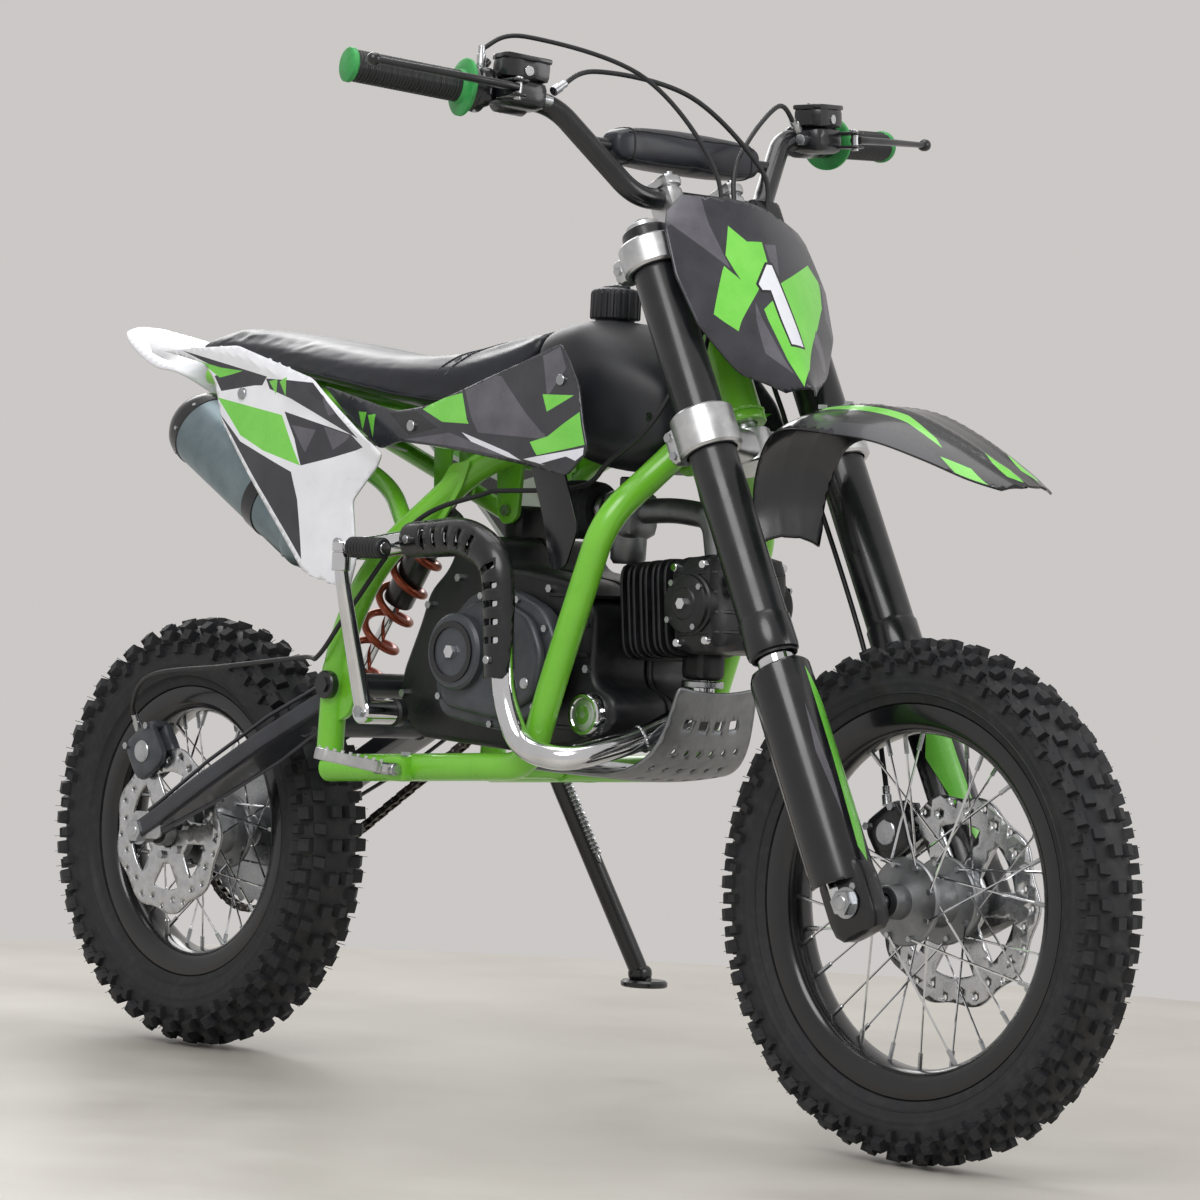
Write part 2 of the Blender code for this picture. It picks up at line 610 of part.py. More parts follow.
def make_front_fender():
    spine = ((0.898, 0.600, 0.046, 0.010), (0.893, 0.640, 0.052, 0.010), (0.900, 0.678, 0.056, 0.012),
             (0.918, 0.710, 0.060, 0.014), (0.950, 0.727, 0.068, 0.022), (1.010, 0.733, 0.076, 0.032),
             (1.070, 0.726, 0.074, 0.032), (1.128, 0.704, 0.066, 0.026), (1.178, 0.678, 0.052, 0.018),
             (1.215, 0.656, 0.030, 0.008))
    rows = []
    for x, z, half, drop in spine:
        rows.append([P(x, half * u, z - drop * abs(u) ** 2.6) for u in (i / 4 - 1 for i in range(9))])
    name_piece(sheet(rows, 0.0025), "front_fender", "black_plastic", STEM_FOOT)


# ---------------------------------------------------------------- frame
def both(build):
    """The same solid on the left and on the right."""
    return [build(1), build(-1)]


def make_frame():
    head = cylinder(fork(HEAD_S[0], 0, -STEM_BACK), fork(HEAD_S[1], 0, -STEM_BACK), HEAD_R, 16)
    spar = ((0.795, 0.014, 0.735), (0.700, 0.040, 0.715), (0.520, 0.070, 0.672), (0.402, 0.112, 0.560),
            (0.352, CRADLE_Y, 0.465), (0.347, CRADLE_Y, 0.345))
    cradle = ((0.804, 0.014, 0.724), (0.765, 0.060, 0.660), (0.752, 0.116, 0.610), (0.684, CRADLE_Y, 0.430),
              (0.660, CRADLE_Y, 0.356), (0.347, CRADLE_Y, 0.336))
    seat_rail = ((0.560, 0.064, 0.684), (0.450, 0.076, 0.690), (0.300, 0.076, 0.728), (0.050, 0.062, 0.760))
    stay = ((0.432, 0.100, 0.596), (0.360, 0.060, 0.640), (0.100, 0.052, 0.742))
    pieces = []
    for route, radius, bend in ((cradle, FRAME_TUBE_R, 0.045), (spar, FRAME_TUBE_R, 0.050),
                                (seat_rail, 0.0110, 0.050), (stay, 0.0100, 0.040)):
        for way in (1, -1):
            pieces.append(tube([P(x, way * y, z) for x, y, z in route], radius, bend, resolution=2, steps=2))
    for x, half, z, radius in ((0.520, 0.076, 0.672, 0.0100), (0.395, 0.076, 0.702, 0.0090),
                               (0.060, 0.062, 0.758, 0.0080), (0.470, CRADLE_Y, 0.343, 0.0100)):
        pieces.append(cylinder(P(x, -half, z), P(x, half, z), radius, 8))
    pieces.append(cylinder(beside(PIVOT, -0.140), beside(PIVOT, 0.140), 0.0070, 12))
    pieces += [cylinder(beside(PIVOT, way * 0.128), beside(PIVOT, way * 0.141), 0.0150, 12)
               for way in (1, -1)]
    gusset = [(0.800, 0.742), (0.812, 0.700), (0.752, 0.655), (0.700, 0.690), (0.700, 0.722)]
    pieces.append(side_plate(gusset, 0.006, 0.0))
    hanger = [(0.500, 0.672), (0.540, 0.672), (0.536, 0.612), (0.526, 0.604), (0.512, 0.604), (0.504, 0.615)]
    pieces += both(lambda way: side_plate(hanger, 0.005, way * 0.034, [circle(0.004, 8, (0.520, 0.618))]))
    ear = [(0.380, 0.704), (0.410, 0.704), (0.406, 0.630), (0.384, 0.630)]
    pieces += both(lambda way: side_plate(ear, 0.004, way * 0.018))
    pieces.append(cylinder(beside(SHOCK_TOP, -0.020), beside(SHOCK_TOP, 0.020), 0.0050, 10))
    pieces += both(lambda way: block(P(0.478, way * 0.134, 0.343), (0.034, 0.020, 0.026), None, 0.003))
    pieces.append(block(P(STAND[0], 0.130, 0.345), (0.030, 0.012, 0.022), None, 0.002))
    frame = merged(head, pieces)
    bore = cylinder(fork(HEAD_S[0] - 0.01, 0, -STEM_BACK), fork(HEAD_S[1] + 0.01, 0, -STEM_BACK), HEAD_BORE_R, 16)
    name_piece(cut(frame, [bore]), "main_frame", "green_paint", beside(PIVOT))


# ---------------------------------------------------------------- engine and exhaust
def make_engine():
    case = [(0.412, 0.405), (0.440, 0.375), (0.600, 0.368), (0.690, 0.378), (0.738, 0.398), (0.742, 0.428),
            (0.706, 0.444), (0.706, 0.520), (0.660, 0.548), (0.560, 0.560), (0.545, 0.590), (0.495, 0.590),
            (0.480, 0.556), (0.450, 0.530), (0.440, 0.500), (0.412, 0.440)]
    body = side_plate(case, 2 * ENGINE_HALF, 0.0)
    lift = block(P(0.520, 0, 0.604), (0.030, 0.058, 0.040))
    flywheel = cylinder(P(0.575, ENGINE_HALF - 0.005, 0.462), P(0.575, 0.108, 0.462), 0.0620, 24, 0.0560)
    cap = cylinder(P(0.708, 0.005 - ENGINE_HALF, 0.412), P(0.708, -0.0930, 0.412), 0.0230, 20)
    kick_boss = cylinder(P(KICK_SHAFT[0], 0.005 - ENGINE_HALF, KICK_SHAFT[2]),
                         P(KICK_SHAFT[0], -0.1080, KICK_SHAFT[2]), 0.0150, 16)
    body = merged(body, [flywheel, cap, kick_boss, lift])
    recess = cylinder(beside(OUTPUT_SHAFT, 0.052), beside(OUTPUT_SHAFT, 0.090), 0.0540, 16)
    body = cut(body, [recess, cylinder(P(0.520, -0.031, 0.618), P(0.520, 0.031, 0.618), 0.004, 8)])
    name_piece(body, "crankcase", "engine_black", P(0.575, 0, 0.462))

    y_in, y_out = -ENGINE_HALF - GAP, -0.1120
    cover = [(0.500, 0.400), (0.600, 0.388), (0.668, 0.420), (0.680, 0.470), (0.655, 0.515), (0.600, 0.536),
             (0.540, 0.530), (0.500, 0.490), (0.488, 0.440)]
    shell = side_plate(cover, y_in - y_out, (y_in + y_out) / 2)
    dome = cylinder(P(0.540, y_out + 0.005, 0.468), P(0.540, -0.1240, 0.468), 0.0400, 24, 0.0370)
    name_piece(merged(shell, [dome]), "right_engine_cover", "grey_paint", P(0.540, y_in, 0.468))

    slope = math.radians(6)
    ahead = Vector((math.cos(slope), 0, math.sin(slope)))
    root = P(0.7120, 0, 0.518)
    barrel = cylinder(root, root + ahead * 0.100, 0.0400, 20)
    fins = [block(root + ahead * (0.010 + 0.011 * i), (0.0040, 0.112, 0.100), pitch(slope)) for i in range(6)]
    head = block(root + ahead * 0.1080, (0.062, 0.112, 0.098), pitch(slope), 0.010)
    rocker = cylinder(root + ahead * 0.106 + SIDE * -0.066, root + ahead * 0.106 + SIDE * 0.066, 0.0320, 16)
    port = block(EXHAUST_PORT + UP * 0.015, (0.034, 0.034, 0.030))
    name_piece(merged(barrel, fins + [head, rocker, port]), "cylinder", "engine_black", root)

    inlet = tube([root + ahead * 0.092 + UP * 0.0530, P(0.790, 0, 0.618), P(0.735, 0, 0.624),
                  P(0.690, 0, 0.622)], 0.0130, 0.020, 2)
    carb = block(P(0.668, 0, 0.618), (0.052, 0.044, 0.052), None, 0.006)
    bowl = cylinder(P(0.668, 0, 0.570), P(0.668, 0, 0.600), 0.0190, 12)
    filter_body = cylinder(P(0.562, 0, 0.622), P(0.628, 0, 0.622), 0.0300, 16, 0.0260)
    neck = cylinder(P(0.620, 0, 0.622), P(0.650, 0, 0.622), 0.0160, 12)
    name_piece(merged(carb, [inlet, bowl, filter_body, neck]), "carburettor", "cast_alloy", P(0.668, 0, 0.618))


def make_exhaust():
    route = [EXHAUST_PORT - UP * GAP, P(0.785, 0, 0.425), P(0.764, -0.062, 0.390), P(0.735, -0.140, 0.366),
             P(0.680, -0.152, 0.376), P(0.652, -0.152, 0.430), P(0.648, -0.152, 0.500), P(0.640, -0.152, 0.565),
             P(0.590, -0.152, 0.588), P(0.500, -0.152, 0.580), P(0.430, -0.145, 0.572), P(0.360, -0.138, 0.568),
             P(0.325, -0.110, 0.566)]
    pipe = tube(route, 0.0125, 0.030, 2, 2)
    rows = []
    for x, z, angle in ((0.652, 0.450, 0), (0.650, 0.540, 8), (0.628, 0.577, 45), (0.590, 0.590, 85), (0.510, 0.584, 95)):
        across = Vector((math.cos(math.radians(angle)), 0, math.sin(math.radians(angle))))
        rows.append([P(x, -0.152, z) + across * (0.0190 * math.sin(a)) - SIDE * (0.0190 * math.cos(a))
                     for a in (math.radians(-80 + 26.67 * i) for i in range(7))])
    shield = sheet(rows, 0.0015)
    studs = [cylinder(P(x, -0.152, z), P(x, -0.172, z), 0.004, 8) for x, z in ((0.650, 0.480), (0.560, 0.588))]
    name_piece(merged(pipe, [shield] + studs), "header_pipe", "chrome", P(0.652, -0.152, 0.430))

    slope = math.radians(29.4)
    ahead = Vector((math.cos(slope), 0, -math.sin(slope)))
    back = P(0.0660, -0.100, 0.7090)
    profile = [(0.0, 0.275), (0.018, 0.275), (0.030, 0.268), (0.0410, 0.245), (0.0420, 0.030), (0.0400, 0.006),
               (0.030, 0.0), (0.014, 0.0), (0.014, 0.030), (0.0, 0.030)]
    can = recalculated(turned(profile, back, ahead, steps=24, closed=False))
    name_piece(can, "silencer", "satin_can", back)


def make_skid_plate():
    rows = [[P(x, half * u, z + 0.006 * abs(u) ** 2) for u in (-1, -0.6, 0, 0.6, 1)]
            for x, half, z in ((0.560, 0.092, 0.3500), (0.690, 0.092, 0.3470), (0.750, 0.080, 0.3500),
                               (0.788, 0.066, 0.3780), (0.808, 0.056, 0.4400))]
    name_piece(sheet(rows, 0.0030, 1.0), "skid_plate", "cast_alloy", P(0.560, 0, 0.350))


# ---------------------------------------------------------------- bodywork
def ring_section(x, half, low, high, crown, flat=0.6, count=14):
    """A rounded section: flat underside, bulged sides and a crowned top."""
    ring = []
    for i in range(count):
        a = 2 * math.pi * i / count
        c, s = math.cos(a), math.sin(a)
        y = half * math.copysign(abs(c) ** flat, c)
        z = (low + high) / 2 + (high - low) / 2 * math.copysign(abs(s) ** flat, s)
        z += crown * (1 - (y / half) ** 2) if s > 0 else 0
        ring.append(P(x, y, z))
    return ring


def make_seat():
    spine = ((0.010, 0.046, 0.790, 0.799), (0.030, 0.064, 0.783, 0.806), (0.090, 0.078, 0.772, 0.808),
             (0.200, 0.090, 0.757, 0.796), (0.320, 0.100, 0.738, 0.780), (0.410, 0.102, 0.722, 0.776),
             (0.480, 0.094, 0.716, 0.782), (0.545, 0.078, 0.740, 0.800), (0.583, 0.062, 0.775, 0.812))
    name_piece(loft([ring_section(x, half, low, high, 0.004) for x, half, low, high in spine]), "seat", "vinyl",
               P(0.300, 0, 0.760))


def make_tank():
    spine = ((0.592, 0.060, 0.706, 0.792), (0.606, 0.080, 0.700, 0.806), (0.650, 0.088, 0.680, 0.810),
             (0.690, 0.086, 0.668, 0.798), (0.730, 0.070, 0.668, 0.776), (0.768, 0.052, 0.690, 0.750))
    body = loft([ring_section(x, half, low, high, 0.006, 0.5) for x, half, low, high in spine])
    tunnel = block(P(0.690, 0, 0.668), (0.30, 0.140, 0.160))
    brim = beside(FILLER)
    boss = cylinder(brim - UP * 0.026, brim, 0.0205, 16)
    name_piece(merged(cut(body, [tunnel]), [boss]), "fuel_tank", "black_plastic", brim - UP * 0.012)
    profile = [(0.0, FUEL_CAP_TOP), (FUEL_CAP_R - 0.004, FUEL_CAP_TOP), (FUEL_CAP_R, FUEL_CAP_TOP - 0.005),
               (FUEL_CAP_R, -0.006), (0.0212, -0.006), (0.0212, GAP), (0.0, GAP)]
    cap = recalculated(turned(profile, brim, UP, steps=16, closed=False))
    name_piece(cap, "fuel_cap", "black_plastic", brim)


def make_panels():
    panel = [(0.056, 0.783), (0.187, 0.788), (0.322, 0.751), (0.350, 0.733), (0.453, 0.669), (0.427, 0.643),
             (0.407, 0.621), (0.424, 0.558), (0.419, 0.526), (0.347, 0.543), (0.267, 0.619), (0.214, 0.667),
             (0.174, 0.705), (0.152, 0.749), (0.130, 0.769)]
    shroud = [(0.302, 0.745), (0.441, 0.716), (0.496, 0.722), (0.607, 0.758), (0.695, 0.786), (0.733, 0.742),
              (0.760, 0.677), (0.730, 0.651), (0.663, 0.661), (0.530, 0.678), (0.452, 0.684), (0.418, 0.676),
              (0.354, 0.712)]
    for side, way in (("left", 1), ("right", -1)):
        name_piece(side_plate(panel, 0.0030, way * 0.160, lean=way * math.radians(7), hinge=(0.250, 0.600)),
                   f"side_panel_{side}", "white_plastic", P(0.250, way * 0.15, 0.600))
        name_piece(side_plate(shroud, 0.0030, way * 0.136, lean=way * math.radians(6), splay=way * math.radians(4),
                              hinge=(0.620, 0.720)),
                   f"shroud_{side}", "black_plastic", P(0.620, way * 0.136, 0.720))


def make_rear_fender():
    spine = ((0.270, 0.688, 0.040, 0.004), (0.180, 0.706, 0.040, 0.004), (0.100, 0.722, 0.040, 0.004),
             (0.035, 0.742, 0.040, 0.004), (0.014, 0.776, 0.084, 0.012), (-0.030, 0.796, 0.084, 0.024),
             (-0.080, 0.808, 0.072, 0.018), (-0.120, 0.816, 0.056, 0.010), (-0.145, 0.821, 0.036, 0.004))
    rows = [[P(x, half * u, z - drop * abs(u) ** 2.6) for u in (i / 3 - 1 for i in range(7))]
            for x, z, half, drop in spine]
    name_piece(sheet(rows, 0.0025), "rear_fender", "white_plastic", P(0.040, 0, 0.764))


# ---------------------------------------------------------------- swingarm, chain and shock
def make_swingarm():
    arm_end = P(-0.012, 0, 0.238)
    pivot = beside(PIVOT)
    run = arm_end - pivot
    angle = math.atan2(-run.z, -run.x)
    turn = pitch(angle)
    along = run.normalized()
    pieces = []
    for way in (1, -1):
        middle = pivot + along * (run.length / 2)
        pieces.append(block(middle + SIDE * (way * 0.0880), (run.length + 0.012, 0.0200, 0.0380), turn, 0.004))
    tube_y = 0.0980
    pivot_tube = cylinder(pivot - SIDE * tube_y, pivot + SIDE * tube_y, 0.0135, 16)
    brace_at = P(0.268, 0, 0.380)
    pieces.append(cylinder(brace_at - SIDE * 0.090, brace_at + SIDE * 0.090, 0.0150, 12))
    ear = [(0.262, 0.375), (0.282, 0.388), (0.240, 0.412), (0.228, 0.410), (0.222, 0.398), (0.228, 0.388)]
    pieces += both(lambda way: side_plate(ear, 0.004, way * 0.019))
    low = beside(SHOCK_LOW)
    pieces.append(cylinder(low - SIDE * 0.021, low + SIDE * 0.021, 0.0050, 10))
    body = merged(pivot_tube, pieces)
    cutters = [cylinder(pivot - SIDE * 0.11, pivot + SIDE * 0.11, 0.0078, 12),
               cylinder(REAR_AXLE - SIDE * 0.11, REAR_AXLE + SIDE * 0.11, AXLE_R + 2 * GAP, 16)]
    name_piece(cut(body, cutters), "swingarm", "grey_paint", pivot)
    axle_with_nuts("rear_axle", REAR_AXLE, 0.1090, 0.0130, 0.0105)
    caliper("rear_caliper", REAR_AXLE + Vector((-0.036, 0, 0.088)), -0.0540, (0.058, 0.036, 0.056), -0.0560,
            "black_paint")


def make_chain():
    """The chain as one closed loop round both sprockets, and the drive sprocket."""
    front, back = beside(OUTPUT_SHAFT, CHAIN_Y), REAR_AXLE + SIDE * CHAIN_Y
    span = front - back
    lift = math.atan2(span.z, span.x)
    inner_f, inner_r = DRIVE_SPROCKET_R + 0.0022, REAR_SPROCKET_R + 0.0022
    tip = math.asin((REAR_SPROCKET_R - DRIVE_SPROCKET_R) / span.length)

    def loop(extra):
        points = []
        top, bottom = lift + math.pi / 2 - tip, lift - math.pi / 2 + tip
        for i in range(9):
            a = bottom + (top - bottom) * i / 8
            points.append((front.x + (inner_f + extra) * math.cos(a), front.z + (inner_f + extra) * math.sin(a)))
        for i in range(15):
            a = top + (2 * math.pi - (top - bottom)) * i / 14
            points.append((back.x + (inner_r + extra) * math.cos(a), back.z + (inner_r + extra) * math.sin(a)))
        return points
    matrix = Matrix.Translation((0, CHAIN_Y, 0)) @ Matrix.Rotation(math.pi / 2, 4, "X")
    chain = plate(loop(2 * CHAIN_HALF_HEIGHT), 0.0090, [loop(0.0)], matrix)
    name_piece(chain, "chain", "steel", beside(PIVOT))
    centre = beside(OUTPUT_SHAFT)
    toothed_wheel("drive_sprocket", centre, CHAIN_Y, DRIVE_SPROCKET_R, 11, 0.0080, "steel", centre)


def make_shock():
    top, low = beside(SHOCK_TOP), beside(SHOCK_LOW)
    down = (low - top).normalized()
    length = (low - top).length
    side = 0.0140

    def eye(centre, toward, reach):
        ring = cylinder(centre - SIDE * side, centre + SIDE * side, 0.0115, 16)
        neck = cylinder(centre + toward * 0.004, centre + toward * reach, 0.0100, 12)
        return ring, neck
    ring, neck = eye(top, down, 0.040)
    damper = cylinder(top + down * 0.024, top + down * 0.150, 0.0170, 16)
    collar = cylinder(top + down * 0.030, top + down * 0.046, 0.0270, 20)
    body = merged(ring, [neck, damper, collar])
    body = cut(body, [cylinder(top - SIDE * 0.03, top + SIDE * 0.03, 0.0056, 10),
                      cylinder(top + down * 0.110, top + down * 0.170, 0.0066, 12)])
    name_piece(body, "shock_body", "black_paint", top)
    ring, neck = eye(low, -down, 0.030)
    rod = cylinder(low - down * 0.010, top + down * 0.150, 0.0058, 12)
    seat = cylinder(low - down * 0.022, low - down * 0.031, 0.0270, 20)
    foot = merged(ring, [neck, seat, rod])
    foot = cut(foot, [cylinder(low - SIDE * 0.03, low + SIDE * 0.03, 0.0062, 12)])
    name_piece(foot, "shock_shaft", "steel", low)
    wire, coil_r, turns, steps = 0.0042, 0.0225, 6, 9
    start, end = 0.0463 + wire, length - 0.0313 - wire
    across = SIDE.cross(down)
    points = []
    for i in range(turns * steps + 1):
        a = 2 * math.pi * i / steps
        t = min(1.0, max(0.0, (i / steps - 0.6) / (turns - 1.2)))
        along = start + (end - start) * t
        points.append(top + down * along + (SIDE * math.cos(a) + across * math.sin(a)) * coil_r)
    name_piece(tube(points, wire, 0, 1), "shock_spring", "red_paint", low)


# ---------------------------------------------------------------- foot controls and stand
def make_footpegs():
    for side, way in (("left", 1), ("right", -1)):
        root = P(0.478, way * 0.1520, 0.3430)
        tip = P(0.444, way * 0.2150, 0.3560)
        run = tip - root
        middle = root + run * 0.56
        turn = Matrix.Rotation(math.atan2(run.x, -run.y) if way < 0 else math.atan2(-run.x, run.y), 3, "Z")
        peg = block(middle, (0.040, run.length * 0.88, 0.014), turn, 0.004)
        knuckle = cylinder(root + Vector((-0.016, 0, 0)), root + Vector((0.016, 0, 0)), 0.0065, 12)
        windows = [block(middle + run * share, (0.026, 0.011, 0.03), turn) for share in (-0.22, 0.04, 0.29)]
        name_piece(cut(merged(peg, [knuckle]), windows), f"footpeg_{side}", "bright_alloy", root)


def make_kick_starter():
    shaft = P(*KICK_SHAFT)
    inner = P(KICK_SHAFT[0], -0.1083, KICK_SHAFT[2])
    boss = cylinder(inner, shaft - SIDE * 0.012, 0.0130, 12)
    route = [shaft - SIDE * 0.004, P(0.430, -0.160, 0.460), P(0.438, -0.184, 0.525), P(0.438, -0.192, 0.552)]
    arm = tube(route, 0.0065, 0.03, 2, 2)
    hub_at = P(*KICK_HEAD)
    head = cylinder(hub_at - UP * 0.020, hub_at, 0.0100, 12)
    name_piece(merged(boss, [arm, head]), "kick_arm", "chrome", shaft)
    lift = Vector((0, 0, 0.0103))
    knuckle = cylinder(hub_at + Vector((0, 0, 0.0003)), hub_at + lift, 0.0100, 12)
    pedal = cylinder(hub_at + Vector((0.004, 0, 0.0053)), hub_at + Vector((0.072, -0.004, 0.0053)), 0.0052, 10)
    rubber = cylinder(hub_at + Vector((0.018, -0.001, 0.0053)), hub_at + Vector((0.070, -0.004, 0.0053)), 0.0105, 12)
    name_piece(merged(knuckle, [pedal, rubber]), "kick_pedal", "rubber", hub_at)


def make_stand():
    root, foot = P(*STAND), P(*STAND_FOOT)
    run = (foot - root).normalized()
    hinge = Vector((0, 0.918, 0.396)).normalized()
    knuckle = cylinder(root - hinge * 0.006, root + hinge * 0.012, 0.0130, 12)
    leg = tube([root, root + run * 0.06, foot], 0.0105, 0, 2)
    pad = cylinder(foot - Vector((0, 0, 0.004)), foot + Vector((0, 0, 0.004)), 0.0260, 16)
    name_piece(merged(knuckle, [leg, pad]), "side_stand", "black_paint", root)


# ---------------------------------------------------------------- hoses and cable
def hose(name, route, radius):
    """A flexible line along points given as (forward, left, up)."""
    name_piece(tube([P(*place) for place in route], radius, 0.04, 1, 2), name, "rubber", P(*route[0]))


def make_lines():
    hose("front_brake_hose", (
        (0.712, -0.176, 1.034), (0.712, -0.120, 1.060), (0.748, -0.020, 1.044), (0.786, 0.048, 0.976), (0.792, 0.055, 0.928),
        (0.808, 0.053, 0.893), (0.812, 0.054, 0.862), (0.803, 0.054, 0.785), (0.811, 0.074, 0.724), (0.833, 0.076, 0.679),
        (0.857, 0.078, 0.645), (0.936, 0.078, 0.485), (0.985, 0.058, 0.378), (0.999, 0.051, 0.341)), 0.0026)
    hose("throttle_cable", (
        (0.650, -0.238, 1.078), (0.696, -0.200, 1.086), (0.750, -0.090, 1.056), (0.797, -0.030, 0.968),
        (0.8085, -0.030, 0.885), (0.806, -0.036, 0.800), (0.788, -0.050, 0.712), (0.715, -0.030, 0.668),
        (0.676, 0.000, 0.648)), 0.0024)
    hose("rear_brake_hose", (
        (0.712, 0.176, 1.034), (0.735, 0.120, 1.050), (0.778, 0.020, 0.976), (0.818, -0.018, 0.890),
        (0.816, -0.056, 0.800), (0.790, -0.090, 0.712), (0.735, -0.098, 0.668), (0.690, -0.096, 0.642),
        (0.560, -0.096, 0.636), (0.470, -0.118, 0.602), (0.396, -0.138, 0.510), (0.350, -0.142, 0.456),
        (0.300, -0.122, 0.452), (0.150, -0.106, 0.436), (0.000, -0.090, 0.420), (-0.058, -0.070, 0.386),
        (-0.062, -0.057, 0.356)), 0.0026)


def main():
    clear_scene()
    make_front_wheel()
    make_front_end()
    make_controls()
    make_number_plate()
    make_front_fender()
    make_frame()
    make_engine()
    make_exhaust()
    make_skid_plate()
    make_seat()
    make_tank()
    make_panels()
    make_rear_fender()
    make_rear_wheel()
    make_swingarm()
    make_chain()
    make_shock()
    make_footpegs()
    make_kick_starter()
    make_stand()
    make_lines()


main()
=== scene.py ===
"""Looks of the small dirt bike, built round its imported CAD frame.

Frame of reference: +X forward, +Y to the rider's left, +Z up, floor at z = 0. Places along the
bike are given forward of the rear axle and moved by P(), as in the part itself.
"""
import math

import bmesh
import bpy
import numpy as np
from mathutils import Matrix, geometry


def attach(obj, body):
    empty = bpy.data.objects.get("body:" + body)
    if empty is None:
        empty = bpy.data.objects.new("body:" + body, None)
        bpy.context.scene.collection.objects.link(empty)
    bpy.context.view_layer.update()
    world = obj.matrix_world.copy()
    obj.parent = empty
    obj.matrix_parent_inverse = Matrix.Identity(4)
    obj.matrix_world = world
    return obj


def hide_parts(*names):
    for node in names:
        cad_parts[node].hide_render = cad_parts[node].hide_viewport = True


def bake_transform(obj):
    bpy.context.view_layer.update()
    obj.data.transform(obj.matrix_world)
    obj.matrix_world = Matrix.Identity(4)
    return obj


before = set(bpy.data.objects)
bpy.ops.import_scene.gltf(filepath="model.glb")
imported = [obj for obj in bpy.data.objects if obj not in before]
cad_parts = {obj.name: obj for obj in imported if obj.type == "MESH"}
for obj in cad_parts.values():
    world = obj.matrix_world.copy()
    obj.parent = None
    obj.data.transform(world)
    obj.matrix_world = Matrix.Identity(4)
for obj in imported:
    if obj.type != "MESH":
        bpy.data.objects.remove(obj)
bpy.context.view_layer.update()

# ---------------------------------------------------------------- dimensions of the part (metres)
MIDDLE = 0.555
SIDES = (("left", 1), ("right", -1))
FACET = 0.006   # spacing of the points inside a cut sheet
PANEL_WALL, SHEET_WALL = 0.0026, 0.0024   # moulded side panels; plate, fenders and heat shield
SIDE = np.array((0.0, 1.0, 0.0))
UP = np.array((0.0, 0.0, 1.0))
AHEAD = np.array((1.0, 0.0, 0.0))


def P(x, y, z):
    """Points given forward of the rear axle, to the left and above the floor, as rows of an array."""
    return np.stack(np.broadcast_arrays(np.asarray(x, float) - MIDDLE, y, z), -1).astype(float)


def along(route):
    """The points of a route of (forward, left, up) triples."""
    x, y, z = np.array(route, float).T
    return P(x, y, z)


FRONT_AXLE, REAR_AXLE = P(1.1, 0, 0.254), P(0, 0, 0.244)
RAKE = math.radians(26.5)
FORK_UP = np.array((-math.sin(RAKE), 0, math.cos(RAKE)))
FORK_FORWARD = np.array((math.cos(RAKE), 0, math.sin(RAKE)))
FORK_TURN = np.stack((FORK_FORWARD, SIDE, FORK_UP), -1)
FORK_BACK, STEM_BACK, FORK_Y = 0.012, 0.03, 0.092
BAR_BENDS = ((0.09, 0.746, 0.936), (0.165, 0.7, 1.022), (0.385, 0.64, 1.04))


def fork(s, y=0.0, forward=0.0):
    """Points s up the fork legs' line, y to the left and forward square to the legs."""
    s, y, forward = (np.asarray(v, float)[..., None] for v in (s, y, forward))
    return FRONT_AXLE + FORK_UP * s + SIDE * y + FORK_FORWARD * (forward - FORK_BACK)


# ---------------------------------------------------------------- surfaces
def around(count):
    """count angles evenly round a full turn."""
    return np.linspace(0, math.tau, count, endpoint=False)


def unit(v):
    """Vectors cut or stretched to length 1."""
    v = np.asarray(v, float)
    return v / np.linalg.norm(v, axis=-1, keepdims=True)


def square_to(axis):
    """Two unit vectors square to an axis and to each other."""
    axis = unit(axis)
    first = unit(np.cross(axis, UP if abs(axis[2]) < 0.9 else AHEAD))
    return first, np.cross(axis, first)


def skin(points, wrap_u=False, wrap_v=False, caps=False):
    """The faces of a grid of points (rows u, columns v), joined round on itself where asked."""
    nu, nv = points.shape[:2]
    index = np.arange(nu * nv).reshape(nu, nv)
    if wrap_u:
        index = np.vstack((index, index[:1]))
    if wrap_v:
        index = np.hstack((index, index[:, :1]))
    quads = np.stack((index[:-1, :-1], index[:-1, 1:], index[1:, 1:], index[1:, :-1]), -1)
    faces = quads.reshape(-1, 4).tolist()
    if caps:
        faces += [list(range(nv)), list(range((nu - 1) * nv, nu * nv))]
    return points.reshape(-1, 3), faces


def curve(points, count):
    """count points on the Catmull-Rom curve through the given ones: each stretch is the cubic that
    leaves and arrives along the chord of its neighbours."""
    p = np.asarray(points, float)
    p = np.vstack((2 * p[0] - p[1], p, 2 * p[-1] - p[-2]))
    t = np.linspace(0, len(p) - 3 - 1e-9, count)
    i = t.astype(int)
    t = (t - i)[:, None]
    a, b, c, d = p[i], p[i + 1], p[i + 2], p[i + 3]
    return 0.5 * (2 * b + (c - a) * t + (2 * a - 5 * b + 4 * c - d) * t ** 2 + (
        3 * b - a - 3 * c + d) * t ** 3)


def bent(points, reach, steps=7):
    """A run of straight lines whose inner corners become parabolic arcs that start reach before each."""
    points = [np.asarray(p, float) for p in points]
    route = [points[0]]
    for before, corner, after in zip(points, points[1:], points[2:]):
        gap = min(reach, np.linalg.norm(before - corner) * 0.45, np.linalg.norm(after - corner) * 0.45)
        enter, leave = corner + unit(before - corner) * gap, corner + unit(after - corner) * gap
        t = np.linspace(0, 1, steps + 1)[:, None]
        route += list(enter * (1 - t) ** 2 + corner * 2 * t * (1 - t) + leave * t ** 2)
    return np.array(route + [points[-1]])


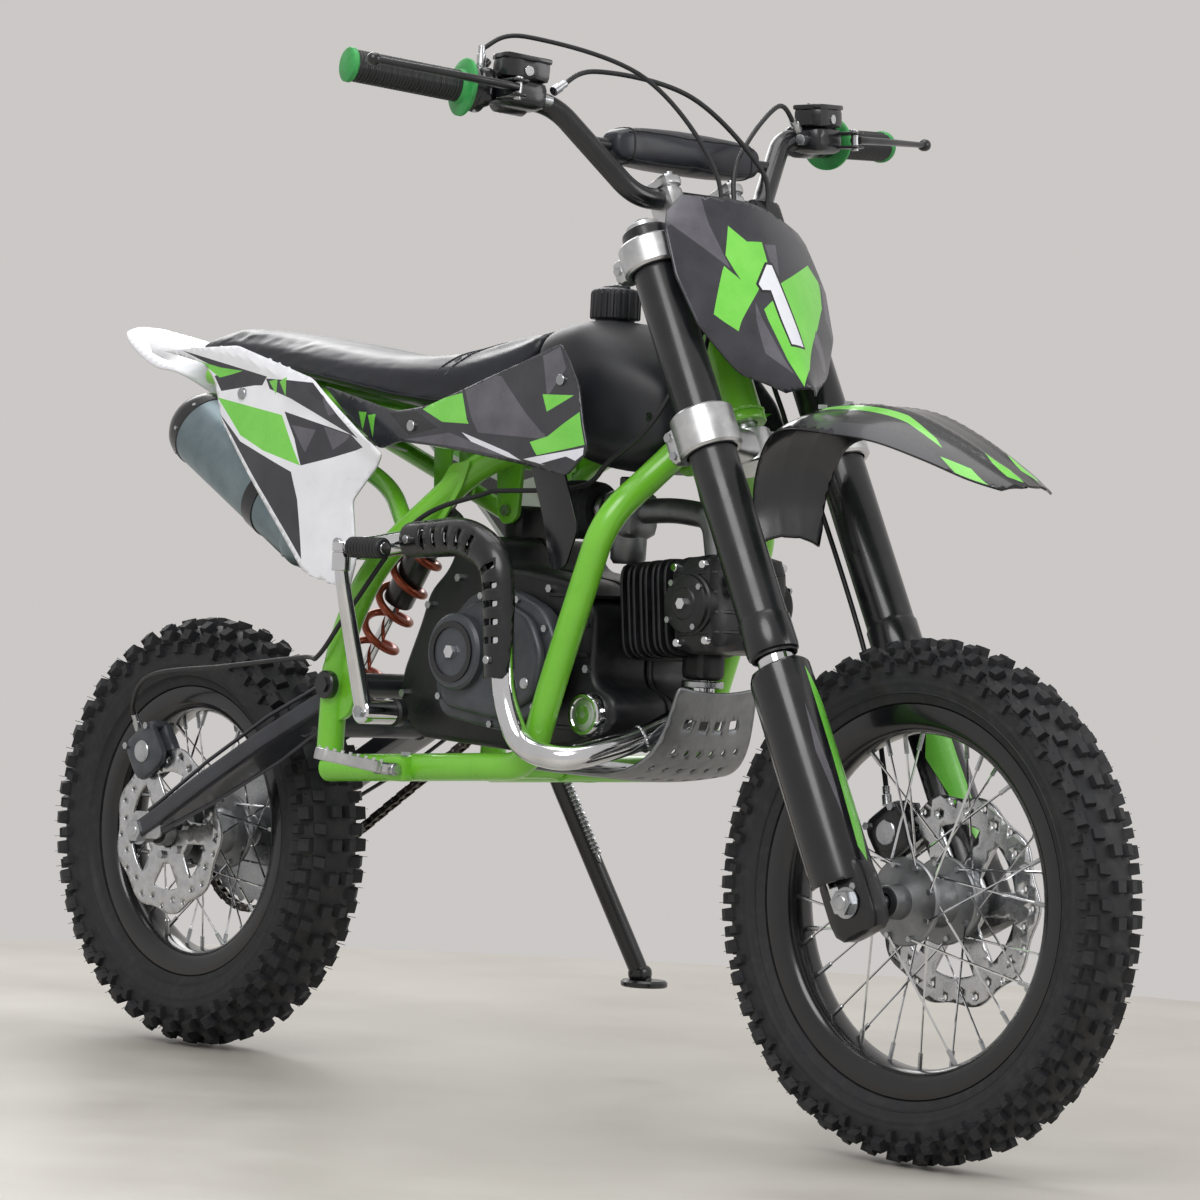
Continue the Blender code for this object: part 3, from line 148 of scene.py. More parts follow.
def carry(path, across, up=None):
    """A section carried along a path. The section is (side, lift) pairs, one ring for all or one for
    each station; each station's frame is turned from the last by the least that follows the path."""
    path = np.asarray(path, float)
    ahead = unit(np.gradient(path, axis=0))
    side = np.empty_like(path)
    side[0] = square_to(ahead[0])[0] if up is None else unit(np.cross(ahead[0], up))
    for i in range(1, len(path)):
        kept = side[i - 1] - ahead[i] * (side[i - 1] @ ahead[i])
        side[i] = unit(kept if up is None else np.cross(ahead[i], up))
    lift = np.cross(side, ahead)
    across = np.asarray(across, float)
    if across.ndim == 2:
        across = np.broadcast_to(across, (len(path), *across.shape))
    return path[:, None] + side[:, None] * across[..., :1] + lift[:, None] * across[..., 1:]


def ring(radius, sides=18):
    """Circles as flat (side, lift) points, one for each radius."""
    a = around(sides)
    radius = np.asarray(radius, float)[..., None, None]
    return np.stack((np.cos(a), np.sin(a)), -1) * radius


def hose(path, radius, sides=18):
    """A round tube: a circle carried along the path, its ends closed."""
    radius = np.broadcast_to(radius, len(path))
    return skin(carry(path, ring(radius, sides)), wrap_v=True, caps=True)


def beam(path, half_width, half_height, power=5.0, sides=24, up=UP):
    """A rounded box section carried along a path: |side/w|^p + |lift/h|^p = 1."""
    a = around(sides) + math.pi / sides
    c, s = np.cos(a), np.sin(a)
    grow = (np.abs(c) ** power + np.abs(s) ** power) ** (-1 / power)
    w, h = (np.broadcast_to(v, len(path))[:, None] for v in (half_width, half_height))
    return skin(carry(path, np.stack((c * grow * w, s * grow * h), -1), up), wrap_v=True, caps=True)


def turned(profile, centre, axis=SIDE, steps=48, closed=False):
    """A profile of (radius, height) turned round an axis: centre + axis h + r (e1 cos a + e2 sin a)."""
    profile = np.asarray(profile, float)
    first, second = square_to(axis)
    a = around(steps)[None, :, None]
    r, h = profile[:, 0, None, None], profile[:, 1, None, None]
    points = np.asarray(centre, float) + unit(axis) * h + r * (first * np.cos(a) + second * np.sin(a))
    return skin(points, wrap_u=closed, wrap_v=True)


def rod(start, end, radius, sides=16, bevel=0.0):
    """A round bar with its two rims chamfered."""
    start, end = np.asarray(start, float), np.asarray(end, float)
    length = np.linalg.norm(end - start)
    b = bevel or min(radius, length) * 0.12
    profile = ((0, 0), (radius - b, 0), (radius, b), (radius, length - b), (radius - b, length), (0, length))
    return turned(profile, start, end - start, sides)


def lump(centre, half, turn=None, power=6.0, rows=14, columns=28):
    """A rounded block, the superquadric |x/a|^p + |y/b|^p + |z/c|^p = 1: a ball of directions, each
    scaled out to that surface."""
    lat = np.linspace(-math.pi / 2, math.pi / 2, rows)[:, None]
    lon = around(columns)[None, :] + math.pi / columns
    way = np.stack(np.broadcast_arrays(np.cos(lat) * np.cos(lon), np.cos(lat) * np.sin(lon), np.sin(lat)), -1)
    shape = way * (np.abs(way) ** power).sum(-1, keepdims=True) ** (-1 / power) * np.asarray(half, float)
    turn = np.eye(3) if turn is None else np.asarray(turn, float)
    return skin(np.asarray(centre, float) + shape @ turn.T, wrap_v=True)


def bars(starts, ends, radius, sides=6):
    """Many thin round wires at once, one from each start to its end."""
    starts, ends = np.asarray(starts, float), np.asarray(ends, float)
    ahead = unit(ends - starts)
    first = unit(np.cross(ahead, SIDE + UP * 0.01))
    second = np.cross(ahead, first)
    a = around(sides)[None, :, None]
    off = (first[:, None] * np.cos(a) + second[:, None] * np.sin(a)) * radius
    points = np.concatenate((starts[:, None] + off, ends[:, None] + off), 1)
    i = np.arange(sides)
    walls = np.stack((i, (i + 1) % sides, (i + 1) % sides + sides, i + sides), -1)
    base = np.arange(len(starts))[:, None, None] * 2 * sides
    faces = (walls[None] + base).reshape(-1, 4).tolist()
    for cap in (i, i + sides):
        faces += (cap[None] + base[:, 0]).tolist()
    return points.reshape(-1, 3), faces


def hexes(places, axis, radius, height):
    """Bolt heads: six-sided bars standing on each place along an axis."""
    places = np.asarray(places, float).reshape(-1, 3)
    return bars(places, places + unit(axis) * height, radius, 6)


def inside(points, loop):
    """Which of the flat points lie in a loop, by counting the loop's edges to the right of each."""
    x, y = points[:, 0, None], points[:, 1, None]
    ax, ay = np.asarray(loop, float).T
    bx, by = np.roll(ax, -1), np.roll(ay, -1)
    crosses = (ay > y) != (by > y)
    at = ax + (y - ay) * (bx - ax) / np.where(by == ay, 1e-12, by - ay)
    return (crosses & (x < at)).sum(1) % 2 == 1


def dense(loop, step):
    """A loop with points added so that no side is longer than step."""
    loop = np.asarray(loop, float)
    out = []
    for a, b in zip(loop, np.roll(loop, -1, 0)):
        n = max(1, int(np.ceil(np.linalg.norm(b - a) / step)))
        out.append(a + (b - a) * (np.arange(n) / n)[:, None])
    return np.vstack(out)


def cut_sheet(outline, place, step, films=(), holes=(), base=None):
    """A flat sheet cut along an outline, its holes and the edges of the films stuck on it, then bent
    by place(u, v). Returns one ((points, faces), finish) for each finish, sharing the same points."""
    lo, hi = np.min(outline, 0), np.max(outline, 0)
    u, v = np.meshgrid(np.arange(lo[0] + step / 2, hi[0], step), np.arange(lo[1] + step / 2, hi[1], step))
    v = v + (np.arange(v.shape[1]) % 2) * step * 0.5
    inner = np.stack((u.ravel(), v.ravel()), -1)
    loops = [dense(outline, step)] + [dense(f[0], step) for f in films] + [dense(h, step) for h in holes]
    points, edges, first = [], [], 0
    for loop in loops:
        n = len(loop)
        i = np.arange(n)
        edges += np.stack((first + i, first + (i + 1) % n), -1).tolist()
        points.append(loop)
        first += n
    points.append(inner[inside(inner, outline)])
    flat = np.vstack(points)
    made = geometry.delaunay_2d_cdt(flat.tolist(), edges, [], 0, 1e-6)
    flat = np.array([tuple(p) for p in made[0]])
    faces = np.array([list(f) for f in made[2]])
    middle = flat[faces].mean(1)
    keep = inside(middle, outline)
    for hole in holes:
        keep &= ~inside(middle, hole)
    owner = np.zeros(len(faces), int)
    for i, film in enumerate(films):
        owner[inside(middle, film[0])] = i + 1
    bent_points = place(flat[:, 0], flat[:, 1])
    finishes = [base] + [f[1] for f in films]
    return [((bent_points, faces[keep & (owner == i)].tolist()), film) for i, film in enumerate(finishes)
        if (keep & (owner == i)).any()]


def piece(name, shapes, body, replaces=(), angle=40, wall=0.0, smooth=True, offset=-1.0):
    """A finished piece: the shapes, each (points, faces) with a finish, put in one mesh, doubled points
    merged, faces turned outwards, ridden on its body. A wall thickens an open sheet."""
    finishes, points, faces, owners, count = [], [], [], [], 0
    for (own_points, own_faces), film in shapes:
        if film not in finishes:
            finishes.append(film)
        points.append(own_points)
        faces += [[i + count for i in face] for face in own_faces]
        owners += [finishes.index(film)] * len(own_faces)
        count += len(own_points)
    mesh = bpy.data.meshes.new(name)
    mesh.from_pydata(np.vstack(points).tolist(), [], faces)
    for film in finishes:
        mesh.materials.append(film)
    mesh.polygons.foreach_set("material_index", owners)
    made = bpy.data.objects.new(name, mesh)
    bpy.context.scene.collection.objects.link(made)
    tidy(made, angle, smooth)
    if wall:
        thick = made.modifiers.new("wall", "SOLIDIFY")
        thick.thickness, thick.offset = wall, offset
        thick.use_even_offset = False
    settle(made, body, replaces)
    return made


def tidy(made, angle=40, smooth=True):
    """Merge doubled points, drop flat faces, turn faces outwards and smooth all but sharp edges."""
    bm = bmesh.new()
    bm.from_mesh(made.data)
    bmesh.ops.remove_doubles(bm, verts=bm.verts, dist=2e-6)
    bmesh.ops.dissolve_degenerate(bm, dist=1e-7, edges=bm.edges)
    loose = [v for v in bm.verts if not v.link_faces]
    bmesh.ops.delete(bm, geom=loose, context="VERTS")
    bmesh.ops.recalc_face_normals(bm, faces=bm.faces)
    bm.to_mesh(made.data)
    bm.free()
    if smooth:
        made.data.shade_smooth()
        made.data.set_sharp_from_angle(angle=math.radians(angle))


def settle(made, body, replaces=()):
    """File a piece with its body and hide the CAD nodes it stands for."""
    if body:
        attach(made, body)
    if replaces:
        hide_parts(*((replaces,) if isinstance(replaces, str) else replaces))


# ---------------------------------------------------------------- finishes
def hue(code):
    """An sRGB hex colour as linear light."""
    c = np.array([int(code[i:i + 2], 16) for i in (0, 2, 4)]) / 255
    return (*np.where(c <= 0.04045, c / 12.92, ((c + 0.055) / 1.055) ** 2.4), 1.0)


def add(tree, kind, inputs=None, **settings):
    """One node with its settings; inputs gives a value or a link for each socket."""
    made = tree.nodes.new(kind)
    for key, value in settings.items():
        setattr(made, key, value)
    for key, value in (inputs or {}).items():
        socket = made.inputs[key]
        if isinstance(value, bpy.types.NodeSocket):
            tree.links.new(value, socket)
        else:
            socket.default_value = value
    return made


def finish(name, dark, light, rough, metallic=0.0, grain=1.0, depth=0.05, cloud=40.0, coat=0.0,
        coat_rough=0.08, dust=None, dust_share=0.0, specks=0.0, ior=1.5):
    """A surface whose colour drifts between two shades over patches cloud mm wide, with a grain of
    bumps grain mm wide and depth mm high, and a roughness that wanders between two values. Dust of a
    paler shade settles in the broad patches; specks are pits or sparkles in the grain."""
    made = bpy.data.materials.new(name)
    made.use_nodes = True
    tree = made.node_tree
    shader = tree.nodes["Principled BSDF"]
    place = add(tree, "ShaderNodeTexCoord").outputs["Object"]
    broad = add(tree, "ShaderNodeTexNoise", {"Vector": place, "Scale": 1000 / cloud, "Detail": 4.0,
        "Roughness": 0.6}).outputs["Fac"]
    fine = add(tree, "ShaderNodeTexNoise", {"Vector": place, "Scale": 1000 / grain, "Detail": 3.0,
        "Roughness": 0.65}).outputs["Fac"]
    ramp = add(tree, "ShaderNodeValToRGB", {"Fac": broad})
    ramp.color_ramp.elements[0].position, ramp.color_ramp.elements[1].position = 0.32, 0.68
    ramp.color_ramp.elements[0].color, ramp.color_ramp.elements[1].color = hue(dark), hue(light)
    colour = ramp.outputs["Color"]
    if specks:
        spot = add(tree, "ShaderNodeMapRange", {"Value": fine, "From Min": 0.35, "From Max": 0.65,
            "To Min": -specks, "To Max": specks}).outputs["Result"]
        colour = add(tree, "ShaderNodeHueSaturation", {"Color": colour,
            "Value": add(tree, "ShaderNodeMath", {0: spot, 1: 1.0}).outputs[0]}).outputs["Color"]
    if dust:
        lie = add(tree, "ShaderNodeTexNoise", {"Vector": place, "Scale": 2200 / cloud, "Detail": 6.0,
            "Roughness": 0.7}).outputs["Fac"]
        share = add(tree, "ShaderNodeMapRange", {"Value": lie, "From Min": 0.48, "From Max": 0.72,
            "To Min": 0.0, "To Max": dust_share}).outputs["Result"]
        colour = add(tree, "ShaderNodeMix", {"Factor": share, "A": colour, "B": hue(dust)},
            data_type="RGBA").outputs["Result"]
    tree.links.new(colour, shader.inputs["Base Color"])
    lo, hi = rough
    wander = add(tree, "ShaderNodeMapRange", {"Value": broad, "From Min": 0.3, "From Max": 0.7, "To Min": lo,
        "To Max": hi}).outputs["Result"]
    tree.links.new(wander, shader.inputs["Roughness"])
    bump = add(tree, "ShaderNodeBump", {"Height": fine, "Distance": depth / 1000, "Strength": 0.6})
    tree.links.new(bump.outputs["Normal"], shader.inputs["Normal"])
    shader.inputs["Metallic"].default_value = metallic
    shader.inputs["Coat Weight"].default_value = coat
    shader.inputs["Coat Roughness"].default_value = coat_rough
    if not metallic:
        shader.inputs["IOR"].default_value = ior
    return made


# Natural rubber with carbon black: near black, dull, a faint grain and pale dust on the faces.
TYRE = finish("moulded_tyre_rubber", "15161A", "1F2126", (0.55, 0.74), grain=0.9, depth=0.1, cloud=30,
    dust="5A5650", dust_share=0.16, ior=1.52)
# The same rubber on hoses, pedals and grips, smoother and blacker.
RUBBER = finish("black_rubber", "0F1013", "191B1F", (0.42, 0.6), grain=0.8, depth=0.05, cloud=20, ior=1.52)
# Rim of extruded aluminium under gloss black powder coat: dark mirror with a slight orange peel.
RIM = finish("black_powder_coat", "0B0B0D", "121317", (0.16, 0.27), grain=1.2, depth=0.012, cloud=50,
    coat=0.35, ior=1.5)
# Aluminium as cast and shot blasted: even grey with a sandy grain.
CAST = finish("cast_aluminium", "7F8184", "9A9C9E", (0.38, 0.52), 1.0, 0.8, 0.09, 25, specks=0.1)
# Bright cast clamps: pale silver, fine blasted skin.
BRIGHT = finish("blasted_bright_alloy", "BEC0C2", "D9DADB", (0.28, 0.4), 1.0, 0.6, 0.05, 22, specks=0.05)
# Zinc plated steel: cool grey with soft drawn streaks.
STEEL = finish("zinc_plated_steel", "A5A8AC", "C6C8CA", (0.22, 0.36), 1.0, 0.5, 0.02, 18, specks=0.05)
# Stainless disc, ground in rings: pale and bright with a fine tooth.
DISC = finish("ground_stainless", "B9BBBE", "D5D6D8", (0.2, 0.32), 1.0, 0.45, 0.02, 14, specks=0.07)
# Chrome plate: a clean mirror with the least haze.
CHROME = finish("chrome_plate", "D4D5D8", "E4E5E8", (0.05, 0.12), 1.0, 3.0, 0.004, 40)
# Lime green powder coat on tube: saturated, glossy, slight orange peel.
LIME = finish("lime_powder_coat", "6FBF2C", "7CCB38", (0.24, 0.34), grain=1.6, depth=0.018, cloud=70,
    coat=0.4, coat_rough=0.12, specks=0.02)
# Lime printed film under gloss laminate.
LIME_FILM = finish("lime_vinyl_film", "6CC843", "7CD352", (0.22, 0.32), grain=2.0, depth=0.006, cloud=45,
    coat=0.3, specks=0.03)
# Charcoal printed film.
DARK_FILM = finish("charcoal_vinyl_film", "25262C", "33343B", (0.24, 0.36), grain=2.0, depth=0.006, cloud=35,
    coat=0.3, specks=0.05)
# Mid grey printed film.
GREY_FILM = finish("grey_vinyl_film", "4C4B52", "5E5D65", (0.24, 0.36), grain=2.0, depth=0.006, cloud=35,
    coat=0.3, specks=0.05)
# White printed film.
WHITE_FILM = finish("white_vinyl_film", "DADCE6", "E9EAF1", (0.22, 0.3), grain=2.0, depth=0.006, cloud=45,
    coat=0.3)
# Moulded white polypropylene: bright, waxy gloss.
WHITE = finish("white_polypropylene", "E0E2E8", "EEF0F4", (0.26, 0.38), grain=1.1, depth=0.012, cloud=60,
    coat=0.15, ior=1.49)
# Moulded black polypropylene: deep black with a soft gloss.
BLACK = finish("gloss_black_polypropylene", "0D0E12", "16171C", (0.17, 0.3), grain=1.4, depth=0.01, cloud=45,
    coat=0.35, ior=1.49)
# Rotomoulded polyethylene tank: matt black with a leathery grain.
TANK = finish("matt_black_polyethylene", "14161B", "1E2026", (0.4, 0.52), grain=1.5, depth=0.05, cloud=60,
    specks=0.06, ior=1.51)
# Satin black baked enamel on steel parts.
ENAMEL = finish("satin_black_enamel", "101114", "1A1B1F", (0.24, 0.36), grain=1.0, depth=0.02, cloud=35,
    coat=0.25)
# Black paint on cast engine parts, with the casting's grain showing.
ENGINE = finish("black_painted_casting", "0E0F11", "1B1C20", (0.33, 0.5), 0.0, 1.1, 0.1, 22, specks=0.12,
    dust="4A4B4E", dust_share=0.1)
# Grey paint on the side cover: satin, fine casting grain.
GREY = finish("satin_grey_casting", "45484E", "575A60", (0.36, 0.48), 0.35, 0.9, 0.06, 25, specks=0.08)
# Dark grey powder coat on the swingarm.
SLATE = finish("slate_powder_coat", "2A2C33", "383B43", (0.26, 0.38), 0.25, 1.3, 0.02, 50, coat=0.25,
    specks=0.04)
# Seat cover: vinyl with a fine leather grain and a soft sheen.
VINYL = finish("grained_seat_vinyl", "1C1E25", "272A32", (0.3, 0.44), grain=1.3, depth=0.11, cloud=50,
    specks=0.06, ior=1.48)
# Silencer sleeve: blasted and clear-coated aluminium, blue grey.
SLEEVE = finish("blasted_silencer_sleeve", "75858B", "8B9AA0", (0.3, 0.4), 0.9, 0.7, 0.03, 40, specks=0.06)
# Coil spring: copper red enamel.
COPPER = finish("copper_red_enamel", "8C3A24", "A54B30", (0.26, 0.38), 0.5, 1.0, 0.02, 20, coat=0.3)
# Stop button: bright red moulded plastic.
RED = finish("red_button_plastic", "A81616", "C02020", (0.25, 0.36), grain=0.8, depth=0.01, cloud=10)
# Chain steel: dark oiled plates.
CHAIN = finish("oiled_chain_steel", "4A4743", "6E6A64", (0.3, 0.45), 1.0, 0.6, 0.04, 9, specks=0.15)

FOR_SLOT = {"tyre": TYRE, "black_rim": RIM, "cast_alloy": CAST, "bright_alloy": BRIGHT, "steel": STEEL,
    "chrome": CHROME, "green_paint": LIME, "black_paint": ENAMEL, "grey_paint": SLATE, "engine_black": ENGINE,
    "black_plastic": BLACK, "white_plastic": WHITE, "vinyl": VINYL, "rubber": RUBBER, "red_plastic": RED,
    "red_paint": COPPER, "satin_can": SLEEVE}
OWN_FINISH = {"right_engine_cover": GREY, "front_disc": DISC, "rear_disc": DISC, "chain": CHAIN,
    "fuel_tank": TANK, "swingarm": SLATE}


def finish_nodes():
    """Give every CAD node the worked-out finish of its own material slot."""
    for name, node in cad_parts.items():
        for place in node.material_slots:
            slot = place.material.name.split(".")[0] if place.material else "steel"
            place.material = OWN_FINISH.get(name) or FOR_SLOT.get(slot, STEEL)


# ---------------------------------------------------------------- camera, light and floor
CAMERA_TURN, CAMERA_TIP, CAMERA_ROLL = 46.1847, 0.0388, 2.7136   # degrees
CAMERA_AT, CAMERA_LENS, SENSOR = (3.3747, -3.1667, 0.5317), 132.0, 36.0   # metres, then millimetres
# Each lamp's name, place, width in metres and power in watts; all face the middle of the bike.
LAMPS = (("key", (1.6, -2.6, 3.0), 2.2, 62), ("fill", (3.4, 1.6, 1.9), 2.0, 34),
    ("back", (-2.8, 1.4, 2.6), 2.0, 38), ("top", (0.0, 0.0, 3.4), 2.4, 30))
LAMP_AIM = np.array((0.0, 0.0, 0.5))
SURROUND, SURROUND_STRENGTH = "D9D6D4", 0.86
FLOOR_RINGS, FLOOR_Z = (0.0, 0.6, 1.2, 1.85), -0.0004   # just under the tyres


def placed(thing, across, upright, back, where):
    """Put a camera or lamp at a place, looking away from back."""
    matrix = np.eye(4)
    matrix[:3] = np.stack((across, upright, back, where), -1)
    thing.matrix_world = Matrix(matrix.tolist())
    bpy.context.scene.collection.objects.link(thing)


def make_studio():
    """Even pale surroundings, four soft lamps and the camera ahead on the right."""
    turn, tip, roll = (math.radians(v) for v in (CAMERA_TURN, CAMERA_TIP, CAMERA_ROLL))
    back = np.array((math.sin(turn) * math.cos(tip), -math.cos(turn) * math.cos(tip), math.sin(tip)))
    right = np.array((math.cos(turn), math.sin(turn), 0.0))
    lift = np.cross(back, right)
    across, upright = (right * math.cos(roll) + lift * math.sin(roll),
        lift * math.cos(roll) - right * math.sin(roll))
    lens = bpy.data.cameras.new("camera")
    lens.lens, lens.sensor_width = CAMERA_LENS, SENSOR
    lens.clip_start, lens.clip_end = 0.05, 60.0
    camera = bpy.data.objects.new("camera", lens)
    placed(camera, across, upright, back, CAMERA_AT)
    bpy.context.scene.camera = camera
    for name, where, size, power in LAMPS:
        lamp = bpy.data.lights.new(name, "AREA")
        lamp.shape, lamp.size, lamp.energy = "DISK", size, power
        away = unit(np.array(where) - LAMP_AIM)
        placed(bpy.data.objects.new(name, lamp), *square_to(away), away, where)
    world = bpy.data.worlds.new("studio")
    world.use_nodes = True
    sky = world.node_tree.nodes["Background"].inputs
    sky["Color"].default_value = hue(SURROUND)
    sky["Strength"].default_value = SURROUND_STRENGTH
    bpy.context.scene.world = world
    bpy.context.scene.view_settings.view_transform = "Standard"


def make_floor():
    """A round pale floor, rings of points about the bike's middle."""
    a = around(96)[None, :]
    r = np.array(FLOOR_RINGS)[:, None]
    points, faces = skin(np.stack((r * np.cos(a), r * np.sin(a), np.full(r.shape, FLOOR_Z) + 0 * a), -1),
        wrap_v=True)
    mesh = bpy.data.meshes.new("floor")
    mesh.from_pydata(points.tolist(), [], faces)
    # Honed pale stone: broad warm and cool clouds, a dull polish.
    mesh.materials.append(finish("honed_pale_stone", "B4B0A8", "C6C3BC", (0.35, 0.5), grain=4, depth=0.02,
        cloud=420, specks=0.01))
    floor = bpy.data.objects.new("floor", mesh)
    bpy.context.scene.collection.objects.link(floor)


# ---------------------------------------------------------------- wheels
def knobs(centre, rows, carcass):
    """Blocks of tread, each an eight-cornered frustum standing on the carcass. A row gives its angle
    across the tyre, how many go round, the phase, and the half width, half length, height and taper;
    the corners of all its blocks come from one array sum: foot + across w + round l + out h."""
    shapes = []
    for lean, count, phase, wide, long, tall, taper, skew in rows:
        lean = math.radians(lean)
        r, y = carcass(lean)
        out, across = np.array((math.cos(lean), math.sin(lean))), np.array((-math.sin(lean), math.cos(lean)))
        corner = np.array([(i, j, k) for k in (0, 1) for i, j in ((-1, -1), (1, -1), (1, 1), (-1, 1))], float)
        shrink = np.where(corner[:, 2] > 0, taper, 1.0)
        w, l = corner[:, 0] * wide * shrink, corner[:, 1] * long * shrink + corner[:, 0] * skew
        h = np.where(corner[:, 2] > 0, tall, -0.003)
        radius = r + out[0] * h + across[0] * w
        side = y + out[1] * h + across[1] * w
        a = (np.arange(count) + phase)[:, None] * math.tau / count + (l / r)[None, :]
        points = centre + np.stack((radius * np.cos(a), side + 0 * a, radius * np.sin(a)), -1)
        block = np.array(((0, 1, 2, 3), (4, 5, 6, 7), (0, 1, 5, 4), (1, 2, 6, 5), (2, 3, 7, 6), (3, 0, 4, 7)))
        faces = (block[None] + np.arange(count)[:, None, None] * 8).reshape(-1, 4).tolist()
        shapes.append(((points.reshape(-1, 3), faces), TYRE))
    return shapes


def make_tyre(name, body, centre, outer, half, rim_r, rim_half, count, scale):
    """A knobbly tyre: a carcass turned from a rounded section with beads and sidewall rings, and rows
    of square blocks, paired and staggered, with cleats over the shoulders and hair-thin vents."""
    crown = outer - 0.0085 * scale
    depth = crown - rim_r
    belly = half - 0.0015

    def carcass(lean):
        """Where the carcass is at an angle across: an ellipse over the tread, (r, y)."""
        return crown - depth * 0.42 * (1 - math.cos(lean)), belly * math.sin(lean)

    t = np.radians(np.linspace(0, 90, 14))
    top = np.stack((crown - depth * 0.42 * (1 - np.cos(t)), belly * np.sin(t)), -1)
    wall = curve([(crown - depth * 0.42, belly), (crown - depth * 0.56, belly * 0.995),
        (rim_r + depth * 0.24, belly * 0.93), (rim_r + 0.008, rim_half + 0.0042),
        (rim_r + 0.0012, rim_half + 0.001)], 26)
    bead = [(rim_r + 0.0006, rim_half - 0.003), (rim_r - 0.011, rim_half - 0.0036)]
    right = np.vstack((top, wall[1:], bead))
    steps = np.zeros(len(right))
    steps[len(top) + 7:len(top) + 9] = 0.0009
    steps[len(top) + 14:len(top) + 16] = 0.0009
    right[:, 1] += steps
    loop = np.vstack((right, right[::-1] * (1, -1)))
    shapes = [(turned(loop, centre, steps=128, closed=True), TYRE)]
    w, n = half / 0.033, count
    rows = []
    for way in (1, -1):
        rows += [(way * 13, n, 0.0, 0.0052 * w, 0.0062 * scale, 0.008 * scale, 0.86, 0),
            (way * 38, n, 0.5, 0.0058 * w, 0.0056 * scale, 0.0084 * scale, 0.84, 0.0008 * way),
            (way * 62, n, 0.0, 0.006 * w, 0.0072 * scale, 0.0088 * scale, 0.8, 0),
            (way * 84, n, 0.5, 0.0064 * w, 0.005 * scale, 0.0052 * scale, 0.74, 0),
            (way * 60, n * 2, 0.25, 0.0004, 0.0004, 0.0125 * scale, 0.5, 0),
            (way * 82, n * 2, 0.25, 0.0004, 0.0004, 0.009 * scale, 0.5, 0)]
    piece(name + "_knobbly", shapes + knobs(centre, rows, carcass), body, name, angle=32)


def make_rim(name, body, centre, rim_r, rim_half):
    """The rim's box section turned round: rolled flanges, a dropped centre and a rounded inner wall."""
    bed = rim_r - 0.0125
    outer = [(rim_r - 0.0004, rim_half - 0.0022), (rim_r, rim_half - 0.0012),
        (rim_r - 0.0006, rim_half - 0.0002), (rim_r - 0.003, rim_half), (bed - 0.003, rim_half),
        (bed - 0.008, rim_half * 0.93), (bed - 0.013, rim_half * 0.74), (bed - 0.016, rim_half * 0.42),
        (bed - 0.0165, 0)]
    inner = [(bed, -rim_half + 0.0026), (bed, rim_half - 0.0026)]
    loop = inner + outer + [(r, -h) for r, h in outer[-2::-1]]
    piece(name + "_turned", [(turned(loop, centre, steps=128, closed=True), RIM)], body, name,
        angle=50)


def make_hub(name, body, centre, half, flange_r, flange_y, rim_r, barrel_r, disc_y, disc_bolts):
    """A cast hub: waisted barrel, two ribbed flanges, bearing seats with black seals, spokes laced
    three times crossed with nipples at the rim, and the bolts that hold its disc."""
    lip = 0.003
    one = [(0.0085, half), (barrel_r * 0.66, half), (barrel_r * 0.7, half - 0.0015),
        (barrel_r * 0.75, flange_y + 0.009), (barrel_r * 1.15, flange_y + lip + 0.002),
        (flange_r * 0.8, flange_y + lip), (flange_r - 0.0015, flange_y + lip - 0.0003),
        (flange_r, flange_y + lip - 0.0016), (flange_r, flange_y - lip + 0.0012),
        (flange_r - 0.0015, flange_y - lip), (flange_r * 0.8, flange_y - lip - 0.0004),
        (barrel_r * 1.12, flange_y - 2.4 * lip), (barrel_r, flange_y - 4.2 * lip), (barrel_r * 0.94, 0.004)]
    loop = one + [(r, -h) for r, h in one[::-1]]
    a = np.arange(16) * math.tau / 16
    shapes = [(turned(loop, centre, steps=64), CAST)]
    wires, inner = [], rim_r - 0.0297
    for side in (-1, 1):
        for way in (-1, 1):
            at = a[way > 0::2] + (math.pi / 16 if side > 0 else 0)
            root_r, tip = flange_r - 0.0045, at + way * math.radians(42)
            starts = centre + np.stack((root_r * np.cos(at), side * (flange_y + way * 0.0042) + 0 * at,
                root_r * np.sin(at)), -1)
            ends = centre + np.stack((inner * np.cos(tip), side * 0.005 + 0 * at, inner * np.sin(tip)), -1)
            run = unit(ends - starts)
            wires.append((bars(starts - run * 0.003, ends + run * 0.002, 0.0012, 6), CHROME))
            wires.append((bars(ends - run * 0.0155, ends + run * 0.004, 0.0024, 6), STEEL))
            heads = starts - run * 0.003
            wires.append((bars(heads - SIDE * 0.0026 * side * way, heads + SIDE * 0.0022 * side * way, 0.0028,
                8), STEEL))
    for side in (-1, 1):
        shapes.append((turned([(0.0085, 0), (barrel_r * 0.6, 0), (barrel_r * 0.6, 0.0016), (0.0085, 0.002)],
            centre + SIDE * side * (half - 0.0002), SIDE * side, 32), RUBBER))
    b = np.arange(disc_bolts) * math.tau / disc_bolts + 0.26
    side = np.sign(disc_y)
    seat = centre + SIDE * disc_y + 0.0285 * np.stack((np.cos(b), 0 * b, np.sin(b)), -1)
    boss = turned([(0.0186, 0), (0.034, 0), (0.035, side * 0.001 + 0), (0.035, 0.008), (0.0186, 0.008)],
        centre + SIDE * (disc_y - side * 0.0099), SIDE * side, 48)
    shapes.append((boss, CAST))
    shapes.append((hexes(seat + SIDE * side * 0.0018, SIDE * side, 0.0052, 0.0042), STEEL))
    piece(name + "_laced", shapes + wires, body, name, angle=35)


